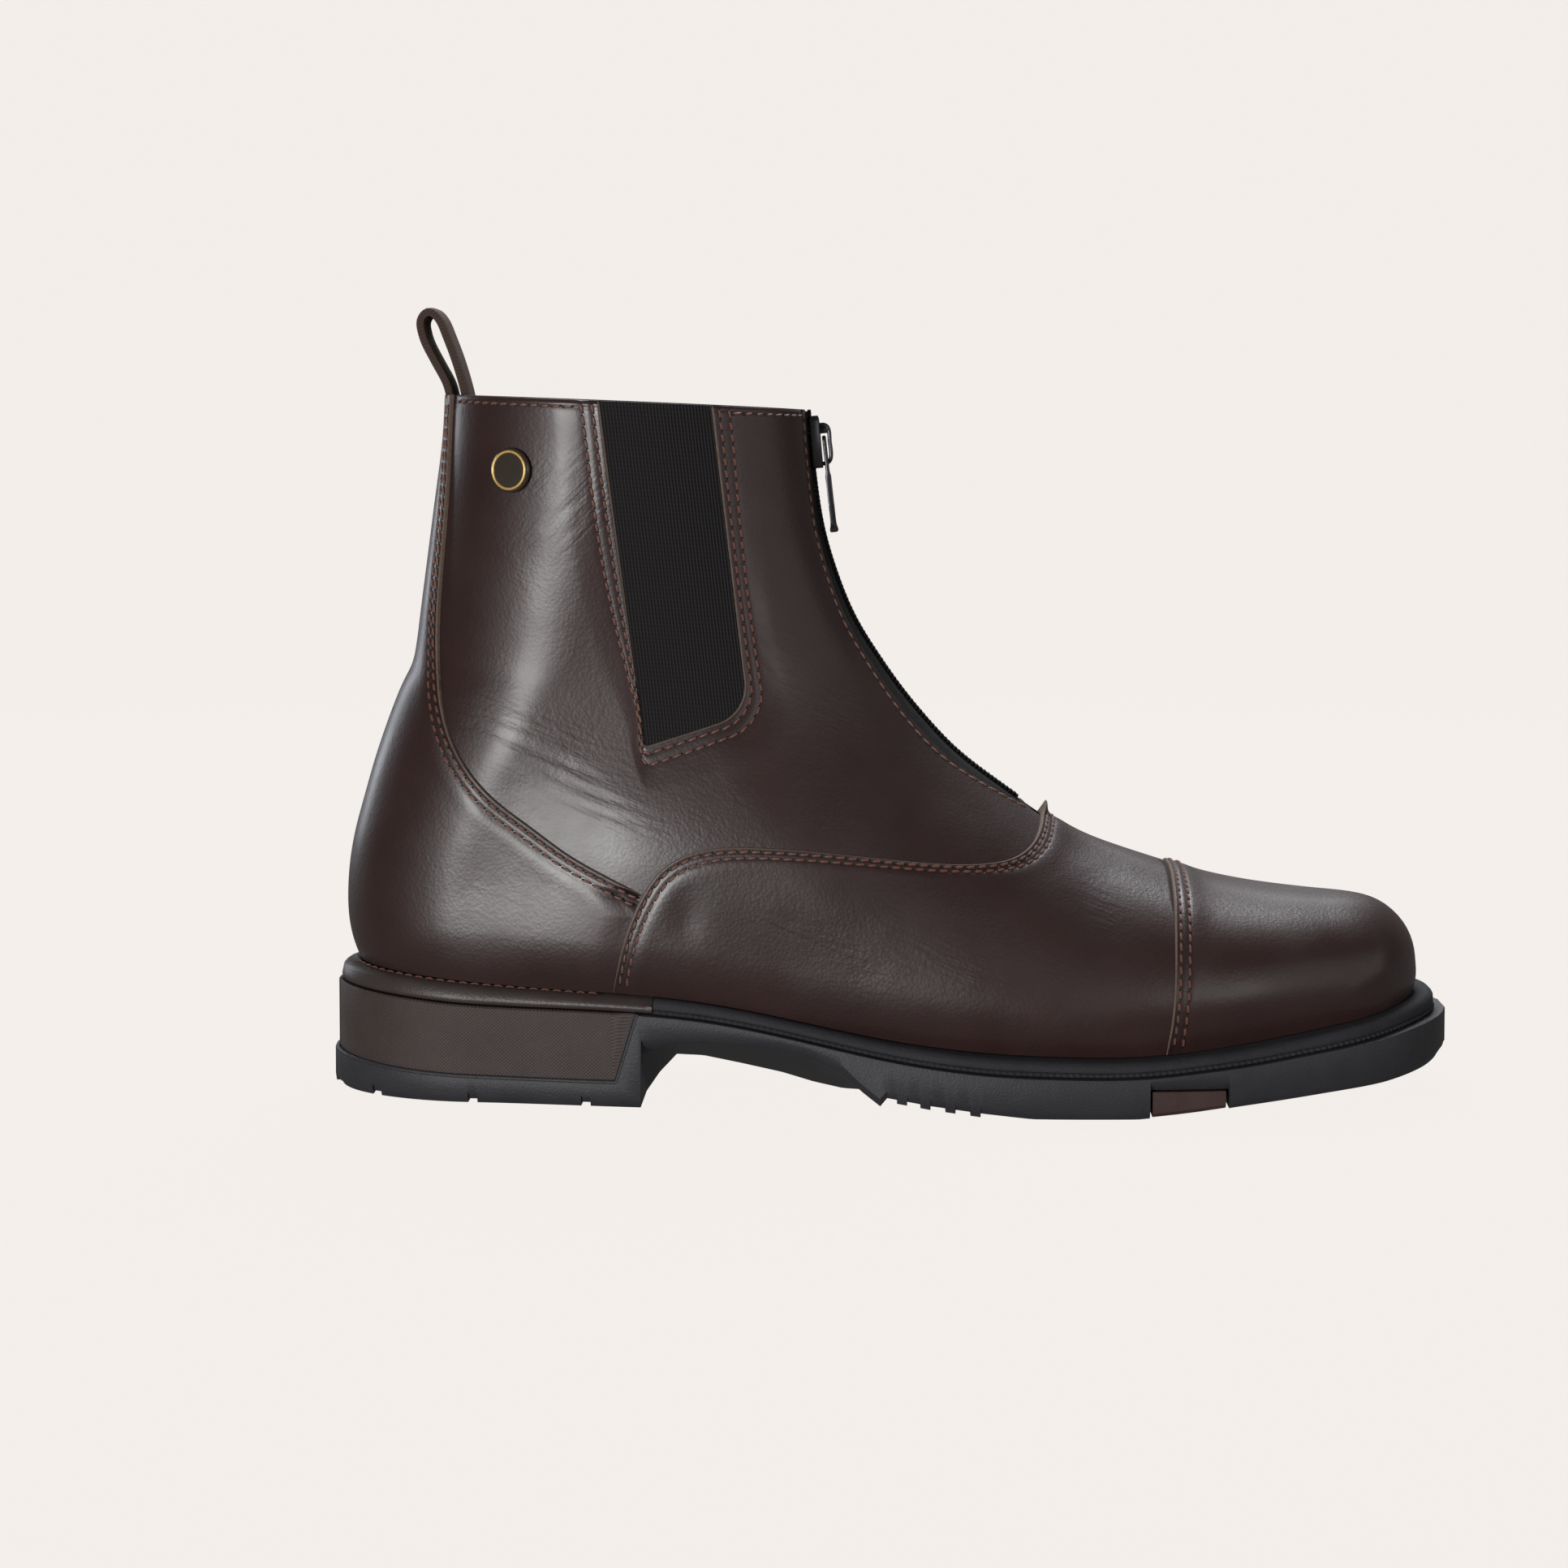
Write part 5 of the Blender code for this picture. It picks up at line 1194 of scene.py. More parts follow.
def add_tape(tape):
    """Woven tape behind the slot, raised along its middle line."""
    levels = np.linspace(front_level(ZIP_FOOT), TAPE_LEVEL, TAPE_COLUMNS)
    edge = zip_edge(levels) + (TAPE_LAP, 0.0)
    angle, level, distance, far_distance = Panel(edge, mirrored(edge)).grid((0.0,), spread=22)
    run = lengths(last_point(levels, np.zeros_like(levels)))
    across = (distance - far_distance) / 2
    uv = np.stack(np.broadcast_arrays(across, run), axis=-1) * MM
    slope = (np.abs(across) - TAPE_FLAT) / (zip_half(points_of(edge)[:, 2]) - TAPE_FLAT)
    top = TAPE_MIDDLE + (TAPE_TOP - TAPE_MIDDLE) * smoothstep(slope)
    surface = shell(level, angle)
    add_slab("woven_tape", surface(top), surface(top - TAPE_THICK), tape, uv, slot="zip_tape",
             stands_for=("zip_tape",))


def add_teeth(metal):
    """Two rows of teeth that meet on the zip's middle line."""
    line = front_line(np.linspace(front_level(CHAIN_FOOT), 1.0, CHAIN_SAMPLES)).T
    run = lengths(line)
    at = np.arange(TOOTH_PITCH / 2, run[-1] - CHAIN_END, TOOTH_PITCH / 2)
    s, z = read_off(at, run, line).T[..., None]
    up_s, up_z = read_off(at, run, unit(np.gradient(line, axis=0))).T[..., None]
    side = np.where(np.arange(len(at)) % 2 == 0, 1, -1)
    section = oval(TOOTH_HALF, CHAIN_THICK / 2, TOOTH_SIDES) + (0.0, CHAIN_RISE - CHAIN_THICK / 2)
    offset, size = np.asarray(TOOTH).T
    climb = np.outer(size, section[:, 0]).ravel()
    rise = np.tile(section[:, 1], len(TOOTH))
    across = np.repeat(offset, TOOTH_SIDES)
    points = np.stack([s + climb * up_s + rise * up_z, middle(s) + side[:, None] * across,
                       z + climb * up_z - rise * up_s], axis=-1)
    start = np.arange(len(at)) * len(across)
    faces = []
    for block in tube_faces(len(TOOTH), TOOTH_SIDES):
        faces += copied([block], start[side == 1]) + copied([block[:, ::-1]], start[side == -1])
    add_piece("zip_teeth", points, faces, [metal], slot="black_metal", stands_for=("zip_chain",))


def swept(section, path):
    """Section of (across, thickness) points carried along a flat path, thickness square to the path's run."""
    run = unit(np.gradient(path, axis=0))
    off = np.stack([-run[:, 1], run[:, 0]], axis=1)
    flat = path[:, None] + section[None, :, 1, None] * off[:, None]
    side = np.broadcast_to(section[None, :, 0], flat.shape[:2])
    return np.stack([flat[..., 0], side, flat[..., 1]], axis=-1)


def add_slider(metal):
    """Slider: plate with turned-in sides over the teeth, and on it an arched crown with a bridge."""
    seat, lean = slider_seat()
    side, out = np.asarray(SLIDER_SECTION).T
    plate = [np.stack([out * (1 if up < SLIDER_TOP else size), side * size, np.full_like(side, up)], axis=1)
             for up, size in SLIDER_ENDS]
    solids = [np.stack(plate)]
    for line, half_bar in ((CROWN_LINE, CROWN_HALF_BAR), (CROWN_BRIDGE_LINE, CROWN_BRIDGE_HALF)):
        solids.append(swept(oval(CROWN_HALF_WIDTH, half_bar, CROWN_SIDES), smooth_path(line, CROWN_RINGS)))
    points, faces, start = [], [], 0
    for solid in solids:
        shape = tube_faces(*solid.shape[:2])
        solid = leaning(solid.reshape(-1, 3), lean)
        outwards = volume(solid - solid.mean(axis=0), shape) > 0
        faces += [(block if outwards else block[:, ::-1]) + start for block in shape]
        points.append(seat + solid)
        start += len(solid)
    add_piece("slider", np.concatenate(points), faces, [metal], slot="black_metal",
              stands_for=("zip_slider",))


def add_pull(metal):
    """Pull tab: plate between its outline and the window for the crown, thicker at its foot."""
    outline = rounded_path(PULL_OUTLINE, PULL_CORNERS, PULL_SAMPLES)
    window = rounded_path(PULL_WINDOW, PULL_WINDOW_CORNERS, PULL_SAMPLES)
    run, window_run = lengths(outline), lengths(window)
    knots, marks = [0, PULL_CORNER_AT, run[-1]], [0, window_run[-1] - PULL_WINDOW_LEFT, window_run[-1]]
    even = np.linspace(0, run[-1], PULL_POINTS)
    halves = read_off(even, run, outline), read_off(np.interp(even, knots, marks), window_run, window)
    outer, inner = (np.concatenate([half, half[-2:0:-1] * (-1, 1)]) for half in halves)
    flat = inner + PULL_SHARES[:, None, None] * (outer - inner)
    edge = np.minimum(PULL_SHARES, 1 - PULL_SHARES)[:, None] * np.linalg.norm(outer - inner, axis=1)
    half_thick = np.interp(-flat[..., 1], *np.asarray(PULL_TAB).T)
    half_thick -= PULL_ROUND * fading(edge, PULL_ROUND_REACH)
    front = np.concatenate([half_thick[..., None], flat], axis=-1)
    tab = np.concatenate([front, front[::-1] * (-1, 1, 1)])
    pivot = frame["record"]["behaviour"]["joints"][0]["pos_m"]
    points = np.asarray(pivot) + leaning(tab, -math.radians(PULL_LEAN_DEG)) * MM
    add_piece("pull_tab", points, [grid_quads(*tab.shape[:2], wrap=True, loop=True)], [metal],
              slot="black_metal", body="zip_pull", stands_for=("zip_pull",), metres=True)


# Pull loop and side stud

# Loop seen from the side: station, height
LOOP_LINE = [
    (32.4, 183.4), (32.0, 185.6), (31.1, 188.4), (29.3, 191.8), (27.4, 195.3), (25.6, 198.9), (24.6, 202.2),
    (24.6, 204.9), (26.7, 206.9), (29.3, 205.0), (30.9, 201.6), (32.3, 198.0), (33.6, 194.4), (34.8, 190.6),
    (35.8, 187.0), (36.6, 183.4), (37.1, 177.0), (36.4, 170.0),
]
LOOP_THICK, LOOP_HALF_WIDTH, LOOP_POWER = 2.35, 8.0, 6.0
LOOP_RINGS, LOOP_SIDES = 90, 36
STUD_AT = (51.3, 165.3)
STUD_LIFT = 0.3
# Stud turned about its axis: radius, rise
STUD_PROFILE = [
    (5.4, 0.0), (5.75, 0.25), (5.85, 0.6), (5.75, 1.0), (5.5, 1.32), (5.1, 1.54), (4.1, 1.68), (2.7, 1.77),
    (1.4, 1.81), (0.05, 1.82),
]
# Gold ring: radius, rise, half thickness
STUD_RING = (4.85, 1.55, 0.38)
STUD_SIDES, RING_SIDES = 64, 12


def add_pull_loop(webbing):
    """Webbing strip folded into a loop: rounded section carried along its side-view line."""
    path = smooth_path(LOOP_LINE, LOOP_RINGS)
    points = swept(oval(LOOP_HALF_WIDTH, LOOP_THICK / 2, LOOP_SIDES, LOOP_POWER), path)
    uv = np.stack(np.broadcast_arrays(points[..., 1], lengths(path)[:, None]), axis=-1) * MM
    add_tube("webbing_loop", points, webbing, slot="brown_webbing", stands_for=("pull_loop",), uv=uv)


def add_stud(enamel, gold):
    """Domed round stud on the outer quarter, with a plain ring near its edge."""
    angle, level = on_last([STUD_AT]).T
    axis = last_normal(level, angle)[0]
    base = shell(level, angle)(STUD_LIFT)[0]
    side = unit(np.cross(axis, (0.0, 0.0, 1.0)))
    turn = turns(STUD_SIDES)[:, None]
    spoke = np.cos(turn) * side + np.sin(turn) * np.cross(axis, side)

    def turned(radius, rise):
        return base + radius[:, None, None] * spoke + rise[:, None, None] * axis

    add_tube("stud_dome", turned(*np.asarray(STUD_PROFILE).T), enamel, slot="stud_metal",
             stands_for=("side_stud",))
    radius, rise, thick = STUD_RING
    wire = turns(RING_SIDES)
    points = turned(radius + thick * np.cos(wire), rise + thick * np.sin(wire))
    add_piece("stud_ring", points, [grid_quads(RING_SIDES, STUD_SIDES, wrap=True, loop=True)], [gold])


# Sole

HEEL_FRONT = 84.8
# Underside: station, height at the edge, height of the keel in the middle
UNDERSIDE = [
    (85.0, 16.0, 0.4), (88.5, 16.4, 5.5), (93.0, 17.0, 10.3), (100.0, 17.3, 10.0), (110.0, 17.0, 8.0),
    (121.0, 16.0, 5.6), (129.0, 14.2, 3.2), (137.0, 10.7, 1.4), (142.0, 6.0, 1.1), (147.0, 2.2, 1.0),
]
FOREFOOT_BOTTOM = [
    (148.8, 4.4), (160.0, 2.7), (174.0, 1.1), (186.0, 0.0), (200.0, 0.0), (213.0, 0.0), (226.0, 1.2),
    (240.0, 3.0), (262.0, 5.4), (278.0, 7.0), (290.0, 8.6), (298.0, 10.2),
]
KEEL_HALF_WIDTH, KEEL_SHARE = 17.0, 0.6
EDGE_BEVEL_IN, EDGE_BEVEL_UP, EDGE_LEAST = 1.6, 2.2, 1.0
PLATEAU_TUCK, PLATEAU_LEAST = 5.5, 1.0
LEDGE_TUCK, LEDGE_LEAST = 3.5, 2.0
BEVEL_LEAST = 2.6
TOP_PIECE = [(0.0, 9.7), (10.0, 8.6), (24.0, 7.6), (43.0, 6.9), (84.0, 6.6)]
BLOCK_INSET, BLOCK_GAP = 1.1, 0.05
BLOCK_FRONT_FOOT, BLOCK_FRONT_SLOPE, RECESS_GAP = 78.2, 0.31, 0.4
BREAST_BACK, BREAST_RUN = 4.0, 0.2
LIP_TOP_RUN, LIP_LEDGE_RUN = 0.8, 1.6
RAND_FRONT, WELT_BACK = 88.0, 88.5
BAND_TUCK, BAND_LIFT = 2.6, 0.5
SHOULDER = 0.35
# Welt and rand across: inset from the outer edge (None for the edge under the upper), datum, rise, notch
WELT_PROFILE = [
    (None, "seat", 0.0, 0.0), (3.2, "seat", 0.0, 0.0), (2.2, "seat", -0.15, 0.0), (1.4, "seat", -0.5, 0.0),
    (0.9, "seat", -1.05, 0.0), (0.65, "seat", -1.6, 0.0), (0.6, "ledge", 2.0, 0.0), (0.7, "ledge", 1.75, 0.0),
    (1.15, "ledge", 1.55, 0.0), (0.5, "ledge", 1.3, 0.35), (0.2, "ledge", 0.95, 0.55),
    (0.4, "ledge", 0.65, 0.4),
    (0.9, "ledge", BAND_LIFT, 0.0), (None, "ledge", BAND_LIFT, 0.0),
]
RAND_PROFILE = [
    (None, "seat", 0.0, 0.0), (4.4, "seat", -0.15, 0.0), (3.4, "seat", -0.35, 0.0), (2.5, "seat", -0.75, 0.0),
    (1.7, "seat", -1.35, 0.0), (1.05, "seat", -2.1, 0.0), (0.65, "ledge", 2.2, 0.0), (0.5, "ledge", 1.5, 0.0),
    (0.6, "ledge", 0.9, 0.0), (0.95, "ledge", BAND_LIFT, 0.0), (None, "ledge", BAND_LIFT, 0.0),
]
NOTCH_PITCH = 1.7
# Welt drawn in round the toe: depth, where it starts, how far on it is full
WELT_TOE_INSET, WELT_TOE_START, WELT_TOE_RUN = 2.2, 256.0, 26.0
# Slot for the tread insert, which leaves a thin dark gap round it
INSERT_BACK, INSERT_FRONT, INSERT_TOP = 215.9, 236.2, 7.6
HEEL_GROOVES = [14.0, 40.4, 70.4]
FOREFOOT_GROOVES = [182.0, 190.0, 198.0, 206.0, 246.0, 255.0, 264.0, 273.0]
GROOVE_WIDTH, GROOVE_DEPTH, HEEL_GROOVE_DEPTH, GROOVE_MARGIN = 2.4, 1.8, 1.0, 3.4
STUD_RIBS = [152.6, 158.6, 165.0, 171.4]
RIB_WIDTH, RIB_DROP, RIB_FLOOR = 2.6, 1.0, 0.2
PLATEAU_FRONT = FOOT_FRONT_S - LEDGE_TUCK
STEP = 0.03
# Middle and width of the insert's slot
INSERT_SLOT = ((INSERT_BACK + INSERT_FRONT) / 2, INSERT_FRONT - INSERT_BACK)
# Slack at walls, least way from edge to keel, a groove's largest share of it, corners of sole and heel lift
SLACK, KEEL_LEAST, GROOVE_SHARE_MOST, SHOULDER_MIDDLE, BLOCK_BEVEL = 1e-6, 0.1, 0.8, 0.1, 0.4
# Stations: end of the round heel, heel up to its recess, waist, forefoot, toe, and where grooves can lie
HEEL_ROUND_END, HEEL_STATIONS = 60.0, [64.0, 68.0, 74.0]
BLOCK_STATIONS = np.linspace(62.0, 77.0, 10)
WAIST_BACK, WAIST_FRONT, FORE_BACK, TOE_BACK, PLATEAU_STEP = 88.5, 147.0, 148.8, 226.0, 0.05
HEEL_ROWS, BLOCK_ROWS, WAIST_ROWS, FORE_ROWS, TOE_ROWS = 50, 56, 40, 50, 60
HEEL_GROOVE_SPAN, FORE_GROOVE_SPAN = (0.0, 76.0), (148.9, 290.0)

top_piece_height = column(TOP_PIECE)


def sole_reach(inset):
    """Reach past the upper's foot of an outline that lies inside the sole's edge by an inset."""
    return lambda s: overhang(s) - inset


sole_bevel_edge = edges(sole_reach(EDGE_BEVEL_IN))
block_edge = edges(sole_reach(BLOCK_INSET))
plateau_edge = edges(-PLATEAU_TUCK)
ledge_edge = edges(-LEDGE_TUCK)


def at_least(side, y, centre, least):
    """Side offsets kept at least a distance from the middle line."""
    return centre + side * np.maximum(side * (y - centre), least)


def underside(s):
    """Heights of the sole's bottom edge and of its keel."""
    knots, *waist = zip(*UNDERSIDE)
    fore = np.interp(s, *zip(*FOREFOOT_BOTTOM))
    in_heel, in_waist = s <= HEEL_FRONT, s < FOREFOOT_BOTTOM[0][0]
    waist = [np.interp(s, knots, heights) for heights in waist]
    return [np.where(in_heel, 0.0, np.where(in_waist, height, fore)) for height in waist]


def in_bands(s, centres, width):
    """Whether stations lie in bands of one width round their centres."""
    return np.any(np.abs(s[:, None] - np.asarray(centres)) <= width / 2 + SLACK, axis=1)


def closed_rows(halves):
    """Outlines from places down the outer side and up the inner side, each given for all stations."""
    places = halves[OUTER] + halves[INNER][::-1]
    return np.stack([np.stack(np.broadcast_arrays(*place_at), axis=-1) for place_at in places], axis=1)


def outsole_rows(top, ledge, bottom, in_recess):
    """Outlines across the outsole, from its plateau down the outer side, under, and up the inner side.

    top, ledge and bottom are the stations of the plateau, of the ledge and of the underside.
    """
    heel_groove = HEEL_GROOVE_DEPTH * in_bands(bottom, HEEL_GROOVES, GROOVE_WIDTH)
    groove = GROOVE_DEPTH * in_bands(bottom, FOREFOOT_GROOVES, GROOVE_WIDTH)
    rib = RIB_DROP * in_bands(bottom, STUD_RIBS, RIB_WIDTH)
    slot = in_bands(bottom, INSERT_SLOT[:1], INSERT_SLOT[1])

    def cut(height):
        height = np.where(slot, INSERT_TOP, height + heel_groove)
        return np.where(rib > 0, np.maximum(height - rib, RIB_FLOOR), height)

    edge_z, keel_z = (cut(height) for height in underside(bottom))
    seat_ledge = seat_height(ledge) - band_height(ledge)
    ledge_z = np.where(in_recess, top_piece_height(top), seat_ledge)
    plateau_z = np.where(in_recess, ledge_z, np.where(top < PLATEAU_FRONT, seat_height(top), seat_ledge))
    low_z = np.minimum(edge_z + rib + EDGE_BEVEL_UP, ledge_z - EDGE_LEAST)
    keel_z = np.where(bottom <= HEEL_FRONT, edge_z, keel_z)
    centre = middle(bottom)
    halves = {}
    for side in (OUTER, INNER):
        plateau_y = at_least(side, plateau_edge[side](top), centre, PLATEAU_LEAST)
        ledge_y = at_least(side, ledge_edge[side](ledge), centre, LEDGE_LEAST)
        outer_y, low_y = sole_edge[side](ledge), sole_edge[side](bottom)
        bevel_y = at_least(side, sole_bevel_edge[side](bottom), centre, BEVEL_LEAST)
        keel_y = side * np.minimum(KEEL_HALF_WIDTH, KEEL_SHARE * np.abs(bevel_y - centre)) + centre
        to_keel = np.maximum(np.abs(bevel_y - keel_y), KEEL_LEAST)
        groove_share = np.minimum(GROOVE_MARGIN / to_keel, GROOVE_SHARE_MOST)
        groove_y = bevel_y + groove_share * (keel_y - bevel_y)
        groove_z = edge_z + groove_share * (keel_z - edge_z)
        halves[side] = [
            (top, plateau_y, plateau_z), (ledge, ledge_y, ledge_z),
            (ledge, outer_y - side * SHOULDER, ledge_z),
            (ledge, outer_y - side * SHOULDER_MIDDLE, ledge_z - SHOULDER_MIDDLE),
            (ledge, outer_y, ledge_z - SHOULDER), (bottom, low_y, low_z),
            (bottom, (low_y + 2 * bevel_y) / 3, (low_z + 2 * edge_z) / 3), (bottom, bevel_y, edge_z),
            (bottom, groove_y, groove_z), (bottom, groove_y - side * STEP, groove_z + groove),
            (bottom, keel_y, keel_z + groove),
        ]
    return closed_rows(halves)


def crowded(start, stop, count, at_start):
    """Stations that crowd towards one end."""
    turn = np.linspace(0, math.pi / 2, count)
    return start + (stop - start) * ((1 - np.cos(turn)) if at_start else np.sin(turn))


def with_steps(stations, first, last):
    """Stations with pairs at both walls of each groove, rib and slot between two stations."""
    bands = [(s, GROOVE_WIDTH) for s in HEEL_GROOVES + FOREFOOT_GROOVES] + [(s, RIB_WIDTH) for s in STUD_RIBS]
    walls = []
    for s, width in [*bands, INSERT_SLOT]:
        walls += [s - width / 2 - STEP, s - width / 2, s + width / 2, s + width / 2 + STEP]
    return np.unique(np.concatenate([stations, [s for s in walls if first < s < last]]))


def add_outsole(rubber):
    """Rubber sole: sections from heel to toe, with the heel's recess, keeled waist, grooves, ribs, slot."""
    band = float(band_height(HEEL_FRONT))
    rise = float(seat_height(HEEL_FRONT)) - band - float(top_piece_height(HEEL_FRONT))
    recess_ledge = BLOCK_FRONT_FOOT + BLOCK_FRONT_SLOPE * rise
    recess_top = recess_ledge + BLOCK_FRONT_SLOPE * band
    heel = np.concatenate([crowded(0.0, HEEL_ROUND_END, HEEL_ROWS, at_start=True), HEEL_STATIONS])
    heel = with_steps(heel, *HEEL_GROOVE_SPAN)
    fore = [np.linspace(WAIST_BACK, WAIST_FRONT, WAIST_ROWS), np.linspace(FORE_BACK, TOE_BACK, FORE_ROWS),
            crowded(TOE_BACK, SOLE_LENGTH, TOE_ROWS, at_start=False),
            [PLATEAU_FRONT - PLATEAU_STEP, PLATEAU_FRONT]]
    fore = with_steps(np.concatenate(fore), *FORE_GROOVE_SPAN)
    # Stations of plateau, ledge and underside, and whether they lie in the recess
    sections = [
        (heel, heel, heel, True),
        (BLOCK_FRONT_FOOT, BLOCK_FRONT_FOOT, HEEL_FRONT - BREAST_BACK, True),
        (recess_top, recess_ledge, HEEL_FRONT, False),
        (recess_top + LIP_TOP_RUN, recess_ledge + LIP_LEDGE_RUN, HEEL_FRONT + BREAST_RUN, False),
        (fore, fore, fore, False),
    ]
    rows = [outsole_rows(*map(np.atleast_1d, stations), in_recess) for *stations, in_recess in sections]
    add_tube("rubber_sole", np.concatenate(rows), rubber, slot="black_rubber", stands_for=("outsole",))


def add_heel_block(rubber):
    """Lift on the heel's top piece: rows round its edge, with a slanted front."""
    round_heel = crowded(BLOCK_INSET, HEEL_ROUND_END, BLOCK_ROWS, at_start=True)
    s = np.concatenate([round_heel, BLOCK_STATIONS, [BLOCK_FRONT_FOOT - RECESS_GAP]])
    foot_z = top_piece_height(s) + BLOCK_GAP
    ledge_z = seat_height(s) - band_height(s)
    slant = BLOCK_FRONT_SLOPE * (np.arange(len(s)) == len(s) - 1)

    def station(z):
        return s + slant * (z - foot_z)

    at_back = s < BLOCK_INSET + PLATEAU_TUCK + FOOT_BACK_S
    plateau_z = np.where(at_back, ledge_z, seat_height(station(seat_height(s))))
    halves, around = {}, []
    for side in (OUTER, INNER):
        plateau_y = at_least(side, plateau_edge[side](s), 0.0, PLATEAU_LEAST)
        ledge_y = at_least(side, ledge_edge[side](s), 0.0, LEDGE_LEAST)
        outer_y = block_edge[side](s)
        places = [(plateau_y, plateau_z), (ledge_y, ledge_z), (outer_y - side * BLOCK_BEVEL, ledge_z),
                  (outer_y, ledge_z - BLOCK_BEVEL), (outer_y, (ledge_z + foot_z) / 2), (outer_y, foot_z)]
        halves[side] = [(station(z), y, z) for y, z in places]
        around.append(-side * (np.abs(outer_y[0]) + lengths(np.stack([s, outer_y], axis=1))))
    points = closed_rows(halves)
    run = np.repeat(np.stack(around, axis=1), len(places), axis=1)
    run[0] = -points[0, :, 1]
    uv = np.stack([run, points[..., 2]], axis=-1) * MM
    add_tube("heel_lift", points, rubber, slot="brown_rubber", stands_for=("heel_block",), uv=uv)


HEEL_LIP_RADIUS, HEEL_LIP_INSET, HEEL_LIP_MIDDLE = 0.6, 0.45, 60.0
HEEL_LIP_STEPS, HEEL_LIP_SIDES, HEEL_LIP_SAMPLES, HEEL_LIP_RINGS = 20, 10, 400, 420


def add_heel_lip(rubber):
    """Raised lip on the black rubber round the heel lift: a round bar down both fronts and along the foot."""
    foot = float(top_piece_height(BLOCK_FRONT_FOOT))
    high = float(seat_height(BLOCK_FRONT_FOOT) - band_height(BLOCK_FRONT_FOOT))
    rise = np.linspace(high, foot, HEEL_LIP_STEPS)
    front = BLOCK_FRONT_FOOT + HEEL_LIP_RADIUS / 2 + BLOCK_FRONT_SLOPE * (rise - foot)
    outer, inner = (np.stack([front, sole_edge[side](front) - side * HEEL_LIP_INSET, rise], axis=1)
                    for side in (OUTER, INNER))
    ring = foot_ring(heel_angles(BLOCK_FRONT_FOOT, HEEL_LIP_SAMPLES)[1:-1], sole_reach(HEEL_LIP_INSET))
    round_heel = np.column_stack([ring, top_piece_height(ring[:, 0])])
    line = resampled(np.concatenate([outer, round_heel, inner[::-1]]), HEEL_LIP_RINGS)
    run = unit(np.gradient(line, axis=0))
    out = np.stack([(line[:, 0] - HEEL_LIP_MIDDLE) / 2, line[:, 1], np.zeros(len(line))], axis=1)
    across = unit(np.cross(run, out))
    out = np.cross(across, run)
    turn = turns(HEEL_LIP_SIDES)[:, None]
    points = line[:, None] + HEEL_LIP_RADIUS * (np.cos(turn) * out[:, None] + np.sin(turn) * across[:, None])
    add_tube("heel_lip", points, rubber, slot="black_rubber")


RIM_SAMPLES, WELT_RINGS, RAND_RINGS, RIM_GIRTH = 4000, 1700, 420, 5.0


def rim_strip(name, angles, count, profile, edge_inset, material, slot, node):
    """Strip on the ledge round the upper's foot: a profile carried along the angles, with notches."""
    full_run = lengths(foot_ring(angles, overhang))
    run = np.linspace(0, full_run[-1], count)
    angle = np.interp(run, full_run, angles)
    station = foot_ring(angle, 0.0)[:, 0]
    round_toe = smoothstep((station - WELT_TOE_START) / WELT_TOE_RUN)
    edge = overhang(station) - edge_inset - WELT_TOE_INSET * round_toe
    notch_depth = 0.5 - 0.5 * np.cos(2 * math.pi * run / NOTCH_PITCH)
    rows = []
    for inset, datum, rise, notch in profile:
        at = foot_ring(angle, -BAND_TUCK if inset is None else edge - inset - notch * notch_depth)
        height = seat_height(at[:, 0]) - (0.0 if datum == "seat" else band_height(at[:, 0])) + rise
        rows.append(np.column_stack([at, height]))
    across = np.arange(len(profile)) / len(profile) * RIM_GIRTH
    uv = np.stack(np.broadcast_arrays(run[:, None], across), axis=-1) * MM
    add_tube(name, np.stack(rows, axis=1), material, slot=slot, stands_for=(node,), uv=uv)


def add_rims(welt_rubber, rand_rubber):
    """Welt from waist to waist round the toe, and the rolled rand round the heel."""
    round_toe = np.linspace(station_angle(WELT_BACK, OUTER), station_angle(WELT_BACK, INNER), RIM_SAMPLES)
    rim_strip("notched_welt", round_toe, WELT_RINGS, WELT_PROFILE, 0.0, welt_rubber, "black_rubber", "welt")
    rim_strip("rolled_rand", heel_angles(RAND_FRONT, RIM_SAMPLES), RAND_RINGS, RAND_PROFILE, BLOCK_INSET,
              rand_rubber, "brown_rubber", "heel_rand")


FOOT_ROW, FOOT_ROW_HEIGHT, FOOT_ROW_FRONT, FOOT_ROW_SAMPLES = 2.3, -0.10, 74.0, 1200
FOOT_STITCH_SIZE = 0.6


def add_foot_stitching(thread):
    """Row of fine stitches on the rand, close round the heel's leather."""
    ring = foot_ring(heel_angles(FOOT_ROW_FRONT, FOOT_ROW_SAMPLES), FOOT_ROW)
    at = np.column_stack([ring, seat_height(ring[:, 0]) + FOOT_ROW_HEIGHT])
    up = np.broadcast_to((0.0, 0.0, 1.0), at.shape)
    add_stitching("foot_stitching", [spaced(at, up)], thread, FOOT_STITCH_SIZE)


# Materials

# Range that noise mostly fills, and a metal's least and largest roughness out of its own
NOISE_LOW, NOISE_HIGH, GLOSS_LEAST, GLOSS_MOST = 0.3, 0.7, 0.85, 1.2


def set_inputs(tree, node, inputs):
    """A node's inputs set to numbers or linked to other nodes."""
    for key, value in inputs.items():
        if isinstance(value, bpy.types.NodeSocket):
            tree.links.new(value, node.inputs[key])
        else:
            node.inputs[key].default_value = value


def add_node(tree, kind, inputs=None, **settings):
    """Shader node with its settings and inputs."""
    node = tree.nodes.new("ShaderNode" + kind)
    for key, value in settings.items():
        setattr(node, key, value)
    set_inputs(tree, node, inputs or {})
    return node


def calculate(tree, operation, *values):
    """Output of a math node."""
    return add_node(tree, "Math", dict(enumerate(values)), operation=operation).outputs[0]


